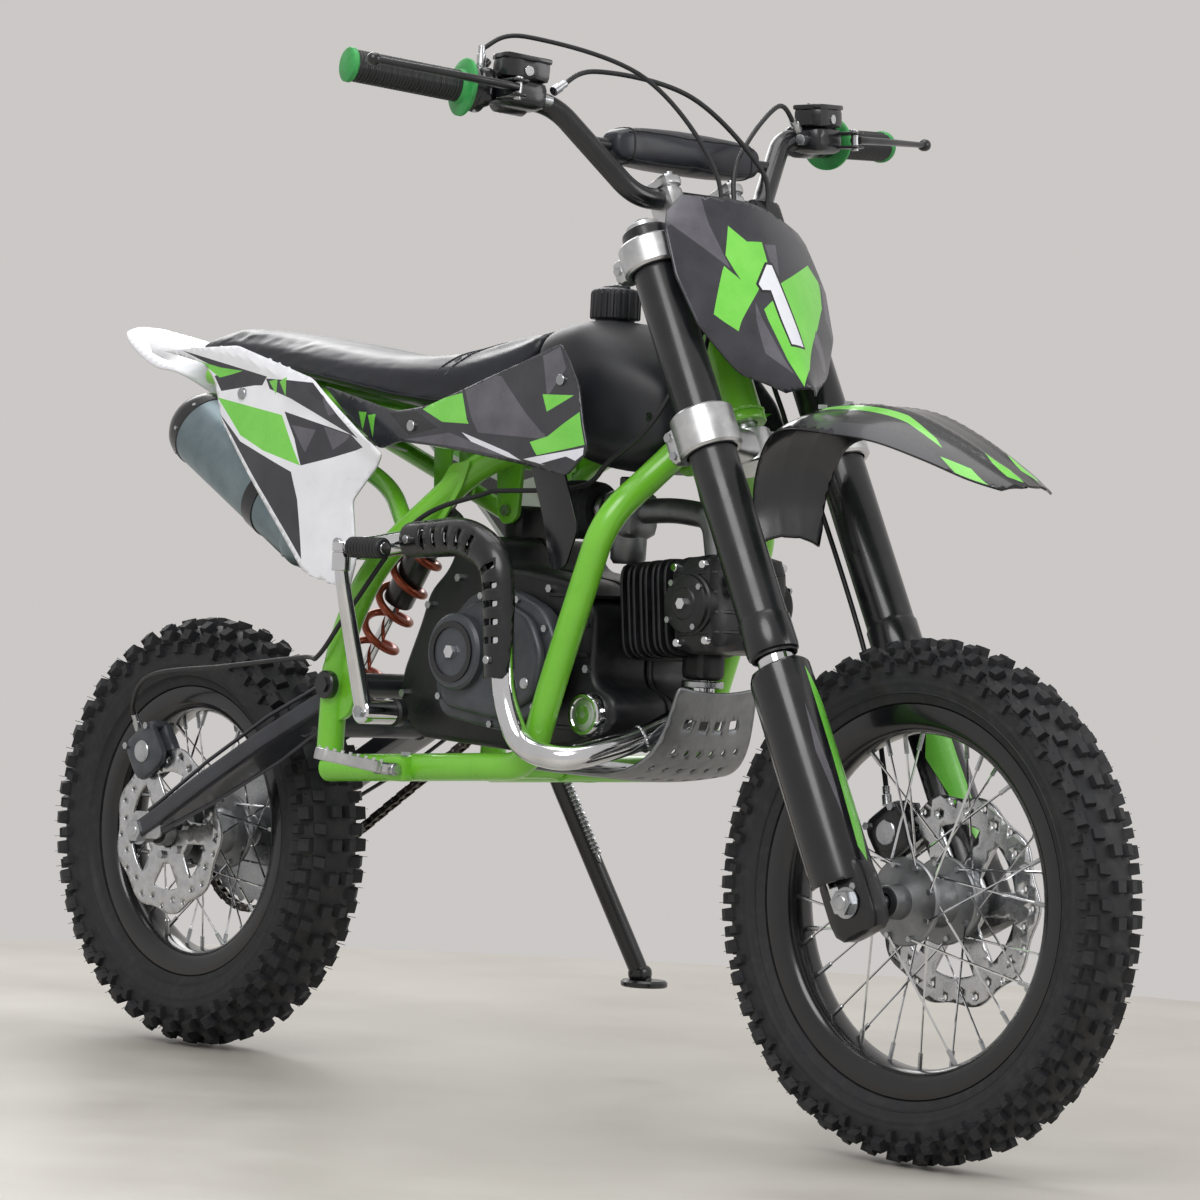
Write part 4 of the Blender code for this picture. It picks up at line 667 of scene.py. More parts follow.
def make_disc(name, body, centre, y, outer, inner, bore, waves, drill):
    """A brake disc: rim radius R + 3 mm cos(n a), six kidney windows between spokes, a bolt ring, and
    two staggered rings of drilled holes round the swept band."""
    a = np.linspace(0, math.tau, waves * 14, endpoint=False)
    r = outer + 0.003 * np.cos(waves * a)
    outline = np.stack((r * np.cos(a), r * np.sin(a)), -1)
    t = around(26)
    holes = [np.stack((bore * np.cos(t), bore * np.sin(t)), -1)]
    for i in range(6):
        arc = math.tau * (i + 0.5) / 6 + np.linspace(-1, 1, 9) * math.radians(20)
        low = arc[::-1] * 0.5 + arc.mean() * 0.5
        holes.append(np.vstack((np.stack((inner * 0.93 * np.cos(arc), inner * 0.93 * np.sin(arc)), -1),
            np.stack((0.0375 * np.cos(low), 0.0375 * np.sin(low)), -1))))
    for k in range(drill):
        at = math.tau * k / drill
        rr = inner + (outer - inner) * (0.34 if k % 2 else 0.7)
        small = around(12)
        holes.append(np.stack((rr * np.cos(at) + 0.003 * np.cos(small),
            rr * np.sin(at) + 0.003 * np.sin(small)), -1))
    flat = cut_sheet(outline, lambda u, v: centre + np.stack((u, np.full(u.shape, y), v), -1), 0.008,
        holes=holes, base=DISC)
    piece(name + "_drilled", flat, body, name, wall=0.0034, offset=0.0, angle=30)


def make_wheels():
    """Both wheels: tyre, rim, laced hub and drilled disc of each, with its own sizes."""
    make_tyre("front_tyre", "front_wheel", FRONT_AXLE, 0.254, 0.033, 0.19, 0.0225, 46, 1.0)
    make_tyre("rear_tyre", "rear_wheel", REAR_AXLE, 0.244, 0.042, 0.1645, 0.027, 40, 1.12)
    make_rim("front_rim", "front_wheel", FRONT_AXLE, 0.19, 0.0225)
    make_rim("rear_rim", "rear_wheel", REAR_AXLE, 0.1645, 0.027)
    make_hub("front_hub", "front_wheel", FRONT_AXLE, 0.056, 0.043, 0.028, 0.19, 0.023, 0.048, 6)
    make_hub("rear_hub", "rear_wheel", REAR_AXLE, 0.072, 0.043, 0.03, 0.1645, 0.024, -0.056, 6)
    make_disc("front_disc", "front_wheel", FRONT_AXLE, 0.048, 0.102, 0.08, 0.0185, 10, 30)
    make_disc("rear_disc", "rear_wheel", REAR_AXLE, -0.056, 0.092, 0.072, 0.019, 9, 27)


# ---------------------------------------------------------------- front fork
def mirrored(loop):
    """A flat loop turned over left to right."""
    return [(u, -v) for u, v in loop]


def make_fork():
    """Upside-down legs: gloss outer tubes with a lipped seal collar and a hexagon cap, chromed inner
    tubes, a rounded cast foot round the axle, and the wrapped guard with its lime flash."""
    for side, way in SIDES:
        y = way * FORK_Y
        profile = [(0, 0.728), (0.02, 0.728), (0.0238, 0.7262), (0.0245, 0.7235), (0.0245, 0.304),
            (0.0249, 0.3), (0.0262, 0.298), (0.0262, 0.268), (0.0255, 0.2635), (0.0235, 0.262),
            (0.0202, 0.262), (0.02, 0.3)]
        foot = fork(0.0, y)
        upper = [(turned(profile, foot, FORK_UP, 56), ENAMEL),
            (turned([(0.0213, 0.26), (0.0232, 0.26), (0.0232, 0.2625), (0.0213, 0.2625)], foot, FORK_UP, 48,
            True), RUBBER), (turned([(0, 0.7345), (0.015, 0.7345), (0.0178, 0.733), (0.0182, 0.727),
            (0, 0.727)], foot, FORK_UP, 40), BRIGHT), (hexes([fork(0.734, y)], FORK_UP, 0.0088, 0.005),
            STEEL)]
        piece(f"fork_outer_{side}", upper, "steering", f"fork_upper_{side}", angle=35)

        lug = [(turned([(0, 0.01), (0.0185, 0.01), (0.0185, 0.429), (0, 0.43)], foot, FORK_UP, 40), CHROME),
            (lump(fork(0.006, y, 0.006), (0.0285, 0.0175, 0.038), FORK_TURN, 5.0), ENAMEL),
            (lump(fork(0.052, y, 0.014), (0.015, 0.0165, 0.03), FORK_TURN, 4.0), ENAMEL),
            (hexes([fork(0.012, y - way * 0.0172, 0.024)], SIDE * way, 0.004, 0.035), STEEL)]
        piece(f"fork_foot_{side}", lug, "fork_sliders", f"fork_lower_{side}", angle=35)

        def wrapped(u, v, way=way, y=y):
            """A sleeve round the leg: u up the leg, v round it, positive to the bike's middle."""
            r = np.interp(u, (0.028, 0.11, 0.18, 0.232, 0.246), (0.0322, 0.032, 0.0317, 0.0315, 0.0313))
            a = way * math.radians(32) - way * v / 0.0317
            return fork(u, y + r * np.sin(a), r * np.cos(a))
        outline = [(0.024, -0.052), (0.02, 0.0), (0.026, 0.05), (0.06, 0.064), (0.225, 0.065), (0.243, 0.047),
            (0.249, 0.01), (0.244, -0.04), (0.23, -0.0645), (0.07, -0.064)]
        flash = [(0.238, 0.02), (0.205, 0.034), (0.15, 0.053), (0.1, 0.04), (0.034, 0.023), (0.05, 0.016),
            (0.15, 0.02)]
        thin = [(0.2, 0.006), (0.12, 0.012), (0.08, 0.01), (0.15, 0.002)]
        flat = cut_sheet(outline, wrapped, FACET, [(flash, LIME_FILM), (thin, GREY_FILM)], base=BLACK)
        piece(f"fork_guard_{side}", flat, "fork_sliders", wall=0.002, angle=35)


def make_clamps():
    """Both clamps as castings: a split collar round each tube, a bridge between them that bows back to
    the stem (24 (1 - u^2) mm behind the tubes' line), pinch ears and bolts, and the bar's two risers."""
    u = np.linspace(-0.8, 0.8, 30)
    for name, s, half in (("lower", 0.502, 0.02), ("upper", 0.698, 0.014)):
        bow = -0.004 - 0.024 * (1 - u ** 2)
        bridge = np.array([fork(s, FORK_Y * a, b) for a, b in zip(u, bow)])
        shapes = [(beam(bridge, 0.0195, half * 0.86, 4, 28, FORK_UP), BRIGHT),
            (rod(fork(s - half * 0.92, 0, -STEM_BACK), fork(s + half * 0.92, 0, -STEM_BACK), 0.0245, 44,
            0.0016), BRIGHT)]
        for way in (1, -1):
            rim = half + 0.0015
            collar = turned([(0.0262, -rim), (0.0296, -rim), (0.0322, -rim + 0.0024), (0.0322, rim - 0.0024),
                (0.0296, rim), (0.0262, rim)], fork(s, way * FORK_Y), FORK_UP, 60, True)
            shapes += [(collar, BRIGHT), (lump(fork(s, way * (FORK_Y + 0.006), -0.033),
                (0.0085, 0.012, half * 0.92), FORK_TURN, 5), BRIGHT)]
            for lift in (-0.01, 0.01) if name == "lower" else (0.0,):
                at = fork(s + lift, way * (FORK_Y + 0.016), -0.0335)
                shapes += [(hexes([at], SIDE * way, 0.0048, 0.0046), STEEL)]
        if name == "lower":
            shapes.append((rod(fork(s, 0, -STEM_BACK), fork(0.724, 0, -STEM_BACK), 0.0138, 32), STEEL))
            shapes.append((hexes([fork(0.713, 0, -STEM_BACK)], FORK_UP, 0.017, 0.01), STEEL))
        else:
            for way in (1, -1):
                shapes.append((lump(fork(0.743, way * 0.045, 0.0), (0.017, 0.0118, 0.04), FORK_TURN, 6),
                    BRIGHT))
                shapes.append((lump(fork(0.7845, way * 0.045, 0.0), (0.0182, 0.0122, 0.0062), FORK_TURN, 6),
                    BRIGHT))
        piece(f"{name}_clamp_cast", shapes, "steering", f"{name}_clamp", angle=35)
    caps = []
    for way in (1, -1):
        for f in (-0.0125, 0.0125):
            at = fork(0.7895, way * 0.045, f)
            caps.append((rod(at, at + FORK_UP * 0.0045, 0.0042, 20, 0.0008), STEEL))
    piece("bar_clamp_bolts", caps, "steering")


# ---------------------------------------------------------------- bars and controls
def bar_point(y):
    """The bar's centre line at a place across the bike."""
    (y0, x0, z0), (y1, x1, z1), (y2, x2, z2) = BAR_BENDS
    return P(np.interp(abs(y), (y0, y1, y2), (x0, x1, x2)), y, np.interp(abs(y), (y0, y1, y2), (z0, z1, z2)))


def bar_axes(way):
    """Along the grip outwards, forward, and up, at one end of the bar."""
    out = unit(bar_point(way * 0.385) - bar_point(way * 0.17))
    ahead = unit(AHEAD - out * out[0])
    return out, ahead, np.cross(out, ahead) if way < 0 else np.cross(ahead, out)


def make_bar():
    """A bent steel bar with its cross brace, the throttle housing, the switch pod and cable spout."""
    half = np.array([P(x, y, z) for y, x, z in BAR_BENDS])
    half[-1] = bar_point(0.384)
    route = bent(np.vstack((half[::-1] * (1, -1, 1), half)), 0.022, 10)
    brace = bar_point(0.135)
    shapes = [(hose(route, 0.011, 24), ENAMEL), (hose(
        np.array([(brace[0], y, brace[2]) for y in np.linspace(-0.137, 0.137, 9)]), 0.0065, 16), ENAMEL)]
    out, ahead, up = bar_axes(-1)
    case = [(0.0112, 0), (0.0205, 0), (0.0222, 0.0014), (0.0225, 0.004), (0.0225, 0.0072), (0.0216, 0.0078),
        (0.0225, 0.0084), (0.0225, 0.012), (0.021, 0.015), (0.0112, 0.0152)]
    shapes.append((turned(case, bar_point(-0.244), out, 40), ENAMEL))
    start = bar_point(-0.251) - ahead * 0.012
    end = bar_point(-0.232) - ahead * 0.018 + up * 0.034
    shapes.append((hose(curve([start, (start + end) / 2 + up * 0.003, end], 12),
        np.linspace(0.0062, 0.0046, 12), 16), ENAMEL))
    for lift in (-1, 1):
        shapes.append((hexes([bar_point(-0.2515) + up * lift * 0.0205 + ahead * 0.004], up * lift, 0.0028,
            0.003), STEEL))
    out, ahead, up = bar_axes(1)
    pod = [(0.0112, 0), (0.015, 0), (0.0165, 0.0016), (0.0165, 0.0136), (0.015, 0.0152), (0.0112, 0.0152)]
    shapes.append((turned(pod, bar_point(0.244), out, 32), BLACK))
    press = unit(up - ahead * 0.9)
    at = bar_point(0.251)
    shapes.append((turned([(0.0078, 0.01), (0.0078, 0.0228), (0.0072, 0.0235), (0.0056, 0.0235),
        (0.0056, 0.015), (0, 0.015)], at, press, 28), BLACK))
    piece("bent_bar", shapes, "steering", "handlebar", angle=35)


def make_grips():
    """Rubber grips: ribs all round, a ring of finger grooves, a lime flange and a lime end ring."""
    # Soft green rubber of the flange and end ring: even and matt.
    green = finish("green_grip_rubber", "2C8A43", "3AA052", (0.4, 0.55), grain=0.8, depth=0.03, cloud=12,
        ior=1.52)
    for name, node, way, body in (("left_grip_ribbed", "grip_left", 1, "steering"),
            ("throttle_grip_ribbed", "throttle_grip", -1, "throttle_grip")):
        start, end = bar_point(way * 0.26), bar_point(way * 0.388)
        length = np.linalg.norm(end - start)
        h = np.linspace(0.0105, length - 0.008, 121)
        rib = 0.0148 + 0.0013 * np.abs(np.sin((h - 0.0105) / 0.0034 * math.pi)) ** 0.5
        a = around(48)
        out, ahead, up = bar_axes(way)
        skip = 1 - 0.05 * (np.cos(a * 6)[None, :] > 0.93)
        points = start + out * h[:, None, None] + (rib[:, None] * skip)[...,
            None] * (ahead * np.cos(a)[None, :, None] + up * np.sin(a)[None, :, None])
        body_skin = skin(points, wrap_v=True, caps=True)
        flange = [(0.0113, 0.0004), (0.0272, 0.0004), (0.029, 0.0018), (0.029, 0.0048), (0.0272, 0.0062),
            (0.018, 0.0068), (0.0164, 0.0112), (0.0113, 0.0112)]
        cap = [(0.0, length), (0.015, length), (0.0172, length - 0.0016), (0.0174, length - 0.006),
            (0.0155, length - 0.0084), (0, length - 0.0084)]
        piece(name, [(body_skin, RUBBER), (turned(flange, start, out, 48), green),
            (turned(cap, start, out, 40), green)], body, node, angle=40)


def make_brakes():
    """Two hydraulic controls: rounded body and reservoir with a screwed lid and sight glass, the
    split clamp on the bar, and a bladed lever that swells to a ball at its tip."""
    for side, way in SIDES:
        out, ahead, up = bar_axes(way)
        turn = np.stack((ahead, out * way, up), -1)
        centre = bar_point(way * 0.212)
        shapes = [(lump(centre + ahead * 0.015, (0.021, 0.026, 0.0145), turn, 5), ENAMEL),
            (lump(centre + ahead * 0.018 + up * 0.024, (0.0172, 0.0262, 0.0112), turn, 7), ENAMEL),
            (lump(centre + ahead * 0.018 + up * 0.035, (0.0182, 0.0272, 0.003), turn, 8), BLACK),
            (turned([(0.0113, -0.016), (0.0168, -0.016), (0.018, -0.0145), (0.018, 0.0145), (0.0168, 0.016),
            (0.0113, 0.016)], centre, out, 40, True), ENAMEL)]
        for i in (-1, 1):
            shapes.append((rod(centre + ahead * 0.018 + up * 0.0376 + out * 0.019 * i,
                centre + ahead * 0.018 + up * 0.0394 + out * 0.019 * i, 0.0028, 16), STEEL))
            shapes.append((rod(centre - ahead * 0.013 + up * 0.012 * i,
                centre - ahead * 0.02 + up * 0.012 * i, 0.0032, 16), STEEL))
        shapes.append((rod(centre + ahead * 0.0352 + up * 0.022, centre + ahead * 0.0366 + up * 0.022, 0.005,
            20), CHROME))
        pivot = centre + out * 0.0185 + ahead * 0.052
        for lift in (1, -1):
            shapes.append((lump(pivot - ahead * 0.012 + up * 0.0072 * lift, (0.02, 0.0095, 0.002), turn, 6),
                ENAMEL))
        shapes.append((rod(pivot - up * 0.0112, pivot + up * 0.0112, 0.004, 18), STEEL))
        if way < 0:
            house = bar_point(-0.247)
            shapes.append((lump(house + ahead * 0.003 + up * 0.002, (0.02, 0.0095, 0.02), turn, 4), BLACK))
            shapes.append((rod(house + up * 0.018, house + up * 0.0265, 0.0044, 18, 0.0008), STEEL))
        inner = centre - out * 0.026 + ahead * 0.016
        shapes.append((rod(inner, inner - out * 0.012, 0.0056, 20), STEEL))
        piece(f"master_cylinder_cast_{side}", shapes, "steering", f"master_cylinder_{side}")

        reach = float((bar_point(way * 0.385) - pivot) @ out)
        t = np.linspace(0, 1, 30)
        line = pivot + out * (t * (reach - 0.004) + 0.002)[:,
            None] + ahead * (0.0065 * np.sin(t * math.pi) ** 1.2 * (1 - t) + 0.0015 * t)[:, None]
        wide = np.interp(t, (0, 0.06, 0.2, 0.6, 1), (0.007, 0.0085, 0.0066, 0.005, 0.0042))
        deep = np.interp(t, (0, 0.2, 1), (0.0042, 0.004, 0.003))
        blade = beam(line, wide, deep, 3.0, 18, up)
        ball = lump(line[-1], (0.0072, 0.0072, 0.0066), turn, 2.2)
        piece(f"brake_lever_bladed_{side}", [(blade, ENAMEL), (ball, ENAMEL)], f"brake_lever_{side}",
            f"brake_lever_{side}", angle=50)


# ---------------------------------------------------------------- number plate and front fender
def make_plate():
    """The plate wraps round the fork: at height s its middle stands 28 (1 - |u|^1.6) mm proud of its
    edges. Printed facets and a plain figure 1 are films cut into it."""
    def place(u, v):
        across = u / 0.09
        half = np.interp(v, (0, 0.03, 0.072, 0.122, 0.172, 0.205), (0.032, 0.068, 0.098, 0.109, 0.103, 0.084))
        edge = np.interp(v, (0, 0.03, 0.072, 0.205), (0.042, 0.038, 0.036, 0.036))
        return fork(0.524 + 1.1 * v, half * across, edge + 0.028 * (1 - np.abs(across) ** 1.6))
    outline = [(-0.062, 0.0), (0.062, 0.0), (0.09, 0.022), (0.0895, 0.15), (0.086, 0.182), (0.03, 0.19),
        (0.0, 0.193), (-0.05, 0.2), (-0.076, 0.205), (-0.0895, 0.19), (-0.0895, 0.12), (-0.09, 0.022)]
    films = [([(-0.031, 0.168), (-0.0415, 0.138), (-0.034, 0.112), (-0.0455, 0.127), (-0.072, 0.0806),
        (-0.058, 0.062), (-0.02, 0.1016), (-0.016, 0.1086), (0.0, 0.1297), (0.001, 0.152), (-0.016, 0.1516),
        (-0.0247, 0.161)], LIME_FILM), ([(0.07, 0.144), (0.08, 0.13), (0.074, 0.0999), (0.045, 0.06),
        (0.0189, 0.022), (-0.0189, 0.0018), (-0.021, 0.0823), (-0.004, 0.094), (0.009, 0.1104)], LIME_FILM),
        ([(-0.089, 0.188), (-0.076, 0.204), (-0.055, 0.199), (-0.04, 0.124), (-0.088, 0.178)], GREY_FILM),
        ([(-0.0276, 0.0894), (-0.0232, 0.015), (-0.044, 0.0385)], GREY_FILM),
        ([(0.082, 0.128), (0.078, 0.09), (0.0892, 0.06), (0.089, 0.13)], GREY_FILM),
        ([(0.044, 0.056), (0.05, 0.07), (0.08, 0.034), (0.07, 0.03)], GREY_FILM),
        ([(0.004, 0.15), (0.02, 0.152), (0.01, 0.118), (0.004, 0.134)], GREY_FILM),
        ([(-0.0205, 0.108), (-0.003, 0.131), (0.0065, 0.131), (0.02, 0.043), (-0.006, 0.044),
        (-0.0085, 0.099), (-0.018, 0.099)], BLACK), ([(-0.0175, 0.108), (-0.0018, 0.1285), (0.0045, 0.1285),
        (0.0172, 0.0455), (-0.0034, 0.0465), (-0.0062, 0.102), (-0.0155, 0.102)], WHITE_FILM)]
    flat = cut_sheet(outline, place, FACET, films, base=DARK_FILM)
    piece("race_plate", flat, "steering", "number_plate", wall=SHEET_WALL, angle=30)
    box = [(lump(fork(0.742, 0.058, 0.022), (0.017, 0.022, 0.02), FORK_TURN, 7), BLACK),
        (lump(fork(0.742, 0.058, 0.039), (0.0016, 0.017, 0.015), FORK_TURN, 8), ENAMEL)]
    piece("key_switch_box", box, "steering")


def fender_surface(spine, scale):
    """A fender as place(length along it, across): its spine is a smooth curve through the rows, its
    half width and edge drop follow, and a row falls away as drop |u|^2.6 with a raised middle rib."""
    rows = curve(np.array(spine), 160)
    run = np.concatenate(([0], np.cumsum(np.hypot(*np.diff(rows[:, :2], axis=0).T))))

    def place(u, v):
        x, z, half, drop = (np.interp(u, run, rows[:, i]) for i in range(4))
        w = v / scale
        rib = 0.0022 * np.exp(-((np.abs(w) - 0.3) / 0.06) ** 2) * np.clip(drop / 0.02, 0, 1)
        return P(x, half * w, z - drop * np.abs(w) ** 2.6 + rib - 0.0016 * np.clip(drop / 0.02, 0, 1))
    return place, run[-1]


def make_front_fender():
    """The high front fender and its bolts, with printed stripes."""
    spine = ((0.898, 0.6, 0.046, 0.01), (0.893, 0.64, 0.052, 0.01), (0.9, 0.678, 0.056, 0.012),
        (0.918, 0.71, 0.06, 0.014), (0.95, 0.727, 0.068, 0.022), (1.01, 0.733, 0.076, 0.032),
        (1.07, 0.726, 0.074, 0.032), (1.128, 0.704, 0.066, 0.026), (1.178, 0.678, 0.052, 0.018),
        (1.215, 0.656, 0.03, 0.008))
    place, length = fender_surface(spine, 0.07)
    outline = [(0.0, -0.062), (0.02, -0.068), (length - 0.012, -0.07), (length - 0.001, -0.04), (length, 0.0),
        (length - 0.001, 0.04), (length - 0.012, 0.07), (0.02, 0.068), (0.0, 0.062)]
    stripe = [(0.15, -0.032), (0.165, -0.024), (0.28, -0.028), (0.33, -0.042), (0.345, -0.05), (0.29, -0.04),
        (0.2, -0.037)]
    tip = [(length - 0.085, -0.06), (length - 0.06, -0.069), (length - 0.025, -0.069),
        (length - 0.05, -0.056)]
    nose = [(length - 0.06, -0.02), (length - 0.02, -0.036), (length - 0.006, -0.024),
        (length - 0.03, -0.012)]
    side = [(0.19, -0.06), (0.205, -0.069), (length - 0.07, -0.069), (length - 0.095, -0.058), (0.27, -0.055)]
    films = []
    for shape, film in ((side, DARK_FILM), (stripe, LIME_FILM), (tip, LIME_FILM), (nose, LIME_FILM)):
        films += [(shape, film), (mirrored(shape), film)]
    flat = cut_sheet(outline, place, 0.0065, films, base=BLACK)
    piece("front_fender_moulded", flat, "steering", "front_fender", wall=SHEET_WALL,
        angle=35)
    at = along([(0.955, 0.022, 0.7265), (0.955, -0.022, 0.7265), (0.99, 0.022, 0.73), (0.99, -0.022, 0.73)])
    piece("front_fender_bolts", [(hexes(at, UP, 0.0046, 0.0042), STEEL)], "steering")


# ---------------------------------------------------------------- frame
def slab(loop, y0, y1, bevel=0.003):
    """A (forward, up) outline drawn out across the bike from y0 to y1, its rims rounded over: each
    point moves in along the outline's own normal by bevel (1 - cos t) while y moves by bevel sin t."""
    loop = np.asarray(loop, float)
    run = np.roll(loop, -1, 0) - np.roll(loop, 1, 0)
    area = (loop[:, 0] * np.roll(loop[:, 1], -1) - loop[:, 1] * np.roll(loop[:, 0], -1)).sum()
    inward = np.stack((-run[:, 1], run[:, 0]), -1) * math.copysign(1.0, area)
    inward /= np.linalg.norm(inward, axis=1, keepdims=True) + 1e-12
    rows = []
    t = np.linspace(math.pi / 2, 0, 5)
    for y_edge, way in ((y0, 1), (y1, -1)):
        part = [(loop + inward * bevel * (1 - math.cos(a)), y_edge + way * bevel * (1 - math.sin(a)))
            for a in t]
        rows += part if way == 1 else part[::-1]
    points = np.stack([P(flat[:, 0], y, flat[:, 1]) for flat, y in rows])
    return skin(points, wrap_v=True, caps=True)


def soft(loop, reach, steps=4):
    """A closed flat outline with its corners rounded off by parabolic arcs of the given reach."""
    loop = np.asarray(loop, float)
    out = []
    t = np.linspace(0, 1, steps + 1)[:, None]
    for before, corner, after in zip(np.roll(loop, 1, 0), loop, np.roll(loop, -1, 0)):
        gap = min(reach, np.linalg.norm(before - corner) * 0.45, np.linalg.norm(after - corner) * 0.45)
        enter, leave = corner + unit(before - corner) * gap, corner + unit(after - corner) * gap
        out.append(enter * (1 - t) ** 2 + corner * 2 * t * (1 - t) + leave * t ** 2)
    return np.vstack(out)


SPAR = ((0.795, 0.014, 0.735), (0.7, 0.04, 0.715), (0.52, 0.07, 0.672), (0.402, 0.112, 0.56),
    (0.352, 0.118, 0.465), (0.347, 0.118, 0.345))
CRADLE = ((0.804, 0.014, 0.724), (0.765, 0.06, 0.66), (0.752, 0.116, 0.61), (0.684, 0.118, 0.43),
    (0.66, 0.118, 0.356), (0.347, 0.118, 0.336))
SEAT_RAIL = ((0.56, 0.064, 0.684), (0.45, 0.076, 0.69), (0.3, 0.076, 0.728), (0.05, 0.062, 0.76))
STAY = ((0.432, 0.1, 0.596), (0.36, 0.06, 0.64), (0.1, 0.052, 0.742))


def weld(at, axis, radius):
    """A bead of weld round a tube's foot: a ring whose radius ripples 24 times."""
    a = around(72)
    first, second = square_to(axis)
    r = radius + 0.0006 * np.cos(24 * a)
    path = np.asarray(at) + (first * np.cos(a)[:, None] + second * np.sin(a)[:, None]) * r[:, None]
    loop = around(6)
    out = unit(path - np.asarray(at))
    points = path[:, None] + out[:, None] * np.cos(loop)[None, :,
        None] * 0.0017 + unit(axis) * np.sin(loop)[None, :, None] * 0.0017
    return skin(points, wrap_u=True, wrap_v=True)


def make_frame():
    """The welded tube frame: each tube is a circle carried along its bent route."""
    stem = fork(0.0, 0.0, -STEM_BACK)
    head = [(0.015, 0.53), (0.0236, 0.53), (0.0245, 0.5312), (0.0245, 0.538), (0.023, 0.54), (0.023, 0.664),
        (0.0245, 0.666), (0.0245, 0.6728), (0.0236, 0.674), (0.015, 0.674)]
    shapes = [(turned(head, stem, FORK_UP, 56, True), LIME)]
    for route, radius, reach in ((CRADLE, 0.0145, 0.045), (SPAR, 0.0145, 0.05), (SEAT_RAIL, 0.011, 0.05),
            (STAY, 0.01, 0.04)):
        for way in (1, -1):
            points = bent(along([(x, way * y, z) for x, y, z in route]), reach, 12)
            shapes.append((hose(points, radius, 26), LIME))
    for x, half, z, radius in ((0.52, 0.076, 0.672, 0.01), (0.395, 0.076, 0.702, 0.009),
            (0.06, 0.062, 0.758, 0.008), (0.47, 0.118, 0.343, 0.01)):
        shapes.append((rod(P(x, -half, z), P(x, half, z), radius, 20), LIME))
        for way in (1, -1):
            shapes.append((weld(P(x, way * (half - 0.012), z), SIDE, radius + 0.001), LIME))
    shapes.append((rod(P(0.355, -0.14, 0.425), P(0.355, 0.14, 0.425), 0.007, 20), STEEL))
    for way in (1, -1):
        shapes.append((rod(P(0.355, way * 0.128, 0.425), P(0.355, way * 0.1385, 0.425), 0.015, 32, 0.0015),
            ENAMEL))
        shapes.append((hexes([P(0.355, way * 0.138, 0.425)], SIDE * way, 0.009, 0.0034), ENAMEL))
        plate_loop = soft([(0.332, 0.448), (0.352, 0.462), (0.384, 0.452), (0.392, 0.425), (0.378, 0.392),
            (0.352, 0.384), (0.332, 0.4)], 0.012)
        shapes.append((slab(plate_loop, way * 0.118 - 0.004, way * 0.118 + 0.004, 0.0012), LIME))
        hanger = soft([(0.5, 0.672), (0.54, 0.672), (0.536, 0.612), (0.526, 0.604), (0.512, 0.604),
            (0.504, 0.615)], 0.006)
        shapes.append((slab(hanger, way * 0.034 - 0.0025, way * 0.034 + 0.0025, 0.0008), LIME))
        shapes.append((hexes([P(0.52, way * 0.0365, 0.618)], SIDE * way, 0.0065, 0.005), STEEL))
        ear = soft([(0.38, 0.704), (0.41, 0.704), (0.406, 0.63), (0.384, 0.63)], 0.008)
        shapes.append((slab(ear, way * 0.018 - 0.002, way * 0.018 + 0.002, 0.0006), LIME))
        shapes.append((lump(P(0.478, way * 0.134, 0.343), (0.017, 0.01, 0.013), None, 7), LIME))
        shapes.append((hexes([P(0.478, way * 0.124, 0.3565)], UP, 0.006, 0.004), STEEL))
        side_gusset = soft([(0.43, 0.59), (0.49, 0.664), (0.52, 0.668), (0.508, 0.64), (0.452, 0.566)], 0.006)
        shapes.append((slab(side_gusset, way * 0.09 - 0.0015, way * 0.09 + 0.0015, 0.0005), LIME))
    gusset = soft([(0.8, 0.742), (0.812, 0.7), (0.752, 0.655), (0.7, 0.69), (0.7, 0.722)], 0.012)
    shapes.append((slab(gusset, -0.003, 0.003, 0.001), LIME))
    shapes.append((rod(P(0.395, -0.02, 0.64), P(0.395, 0.02, 0.64), 0.005, 18), STEEL))
    shapes.append((lump(P(0.416, 0.13, 0.345), (0.015, 0.006, 0.011), None, 6), LIME))
    for s in (0.5415, 0.6625):
        shapes.append((weld(stem + FORK_UP * s, FORK_UP, 0.0236), LIME))
    piece("welded_frame", shapes, "frame", "main_frame", angle=38)


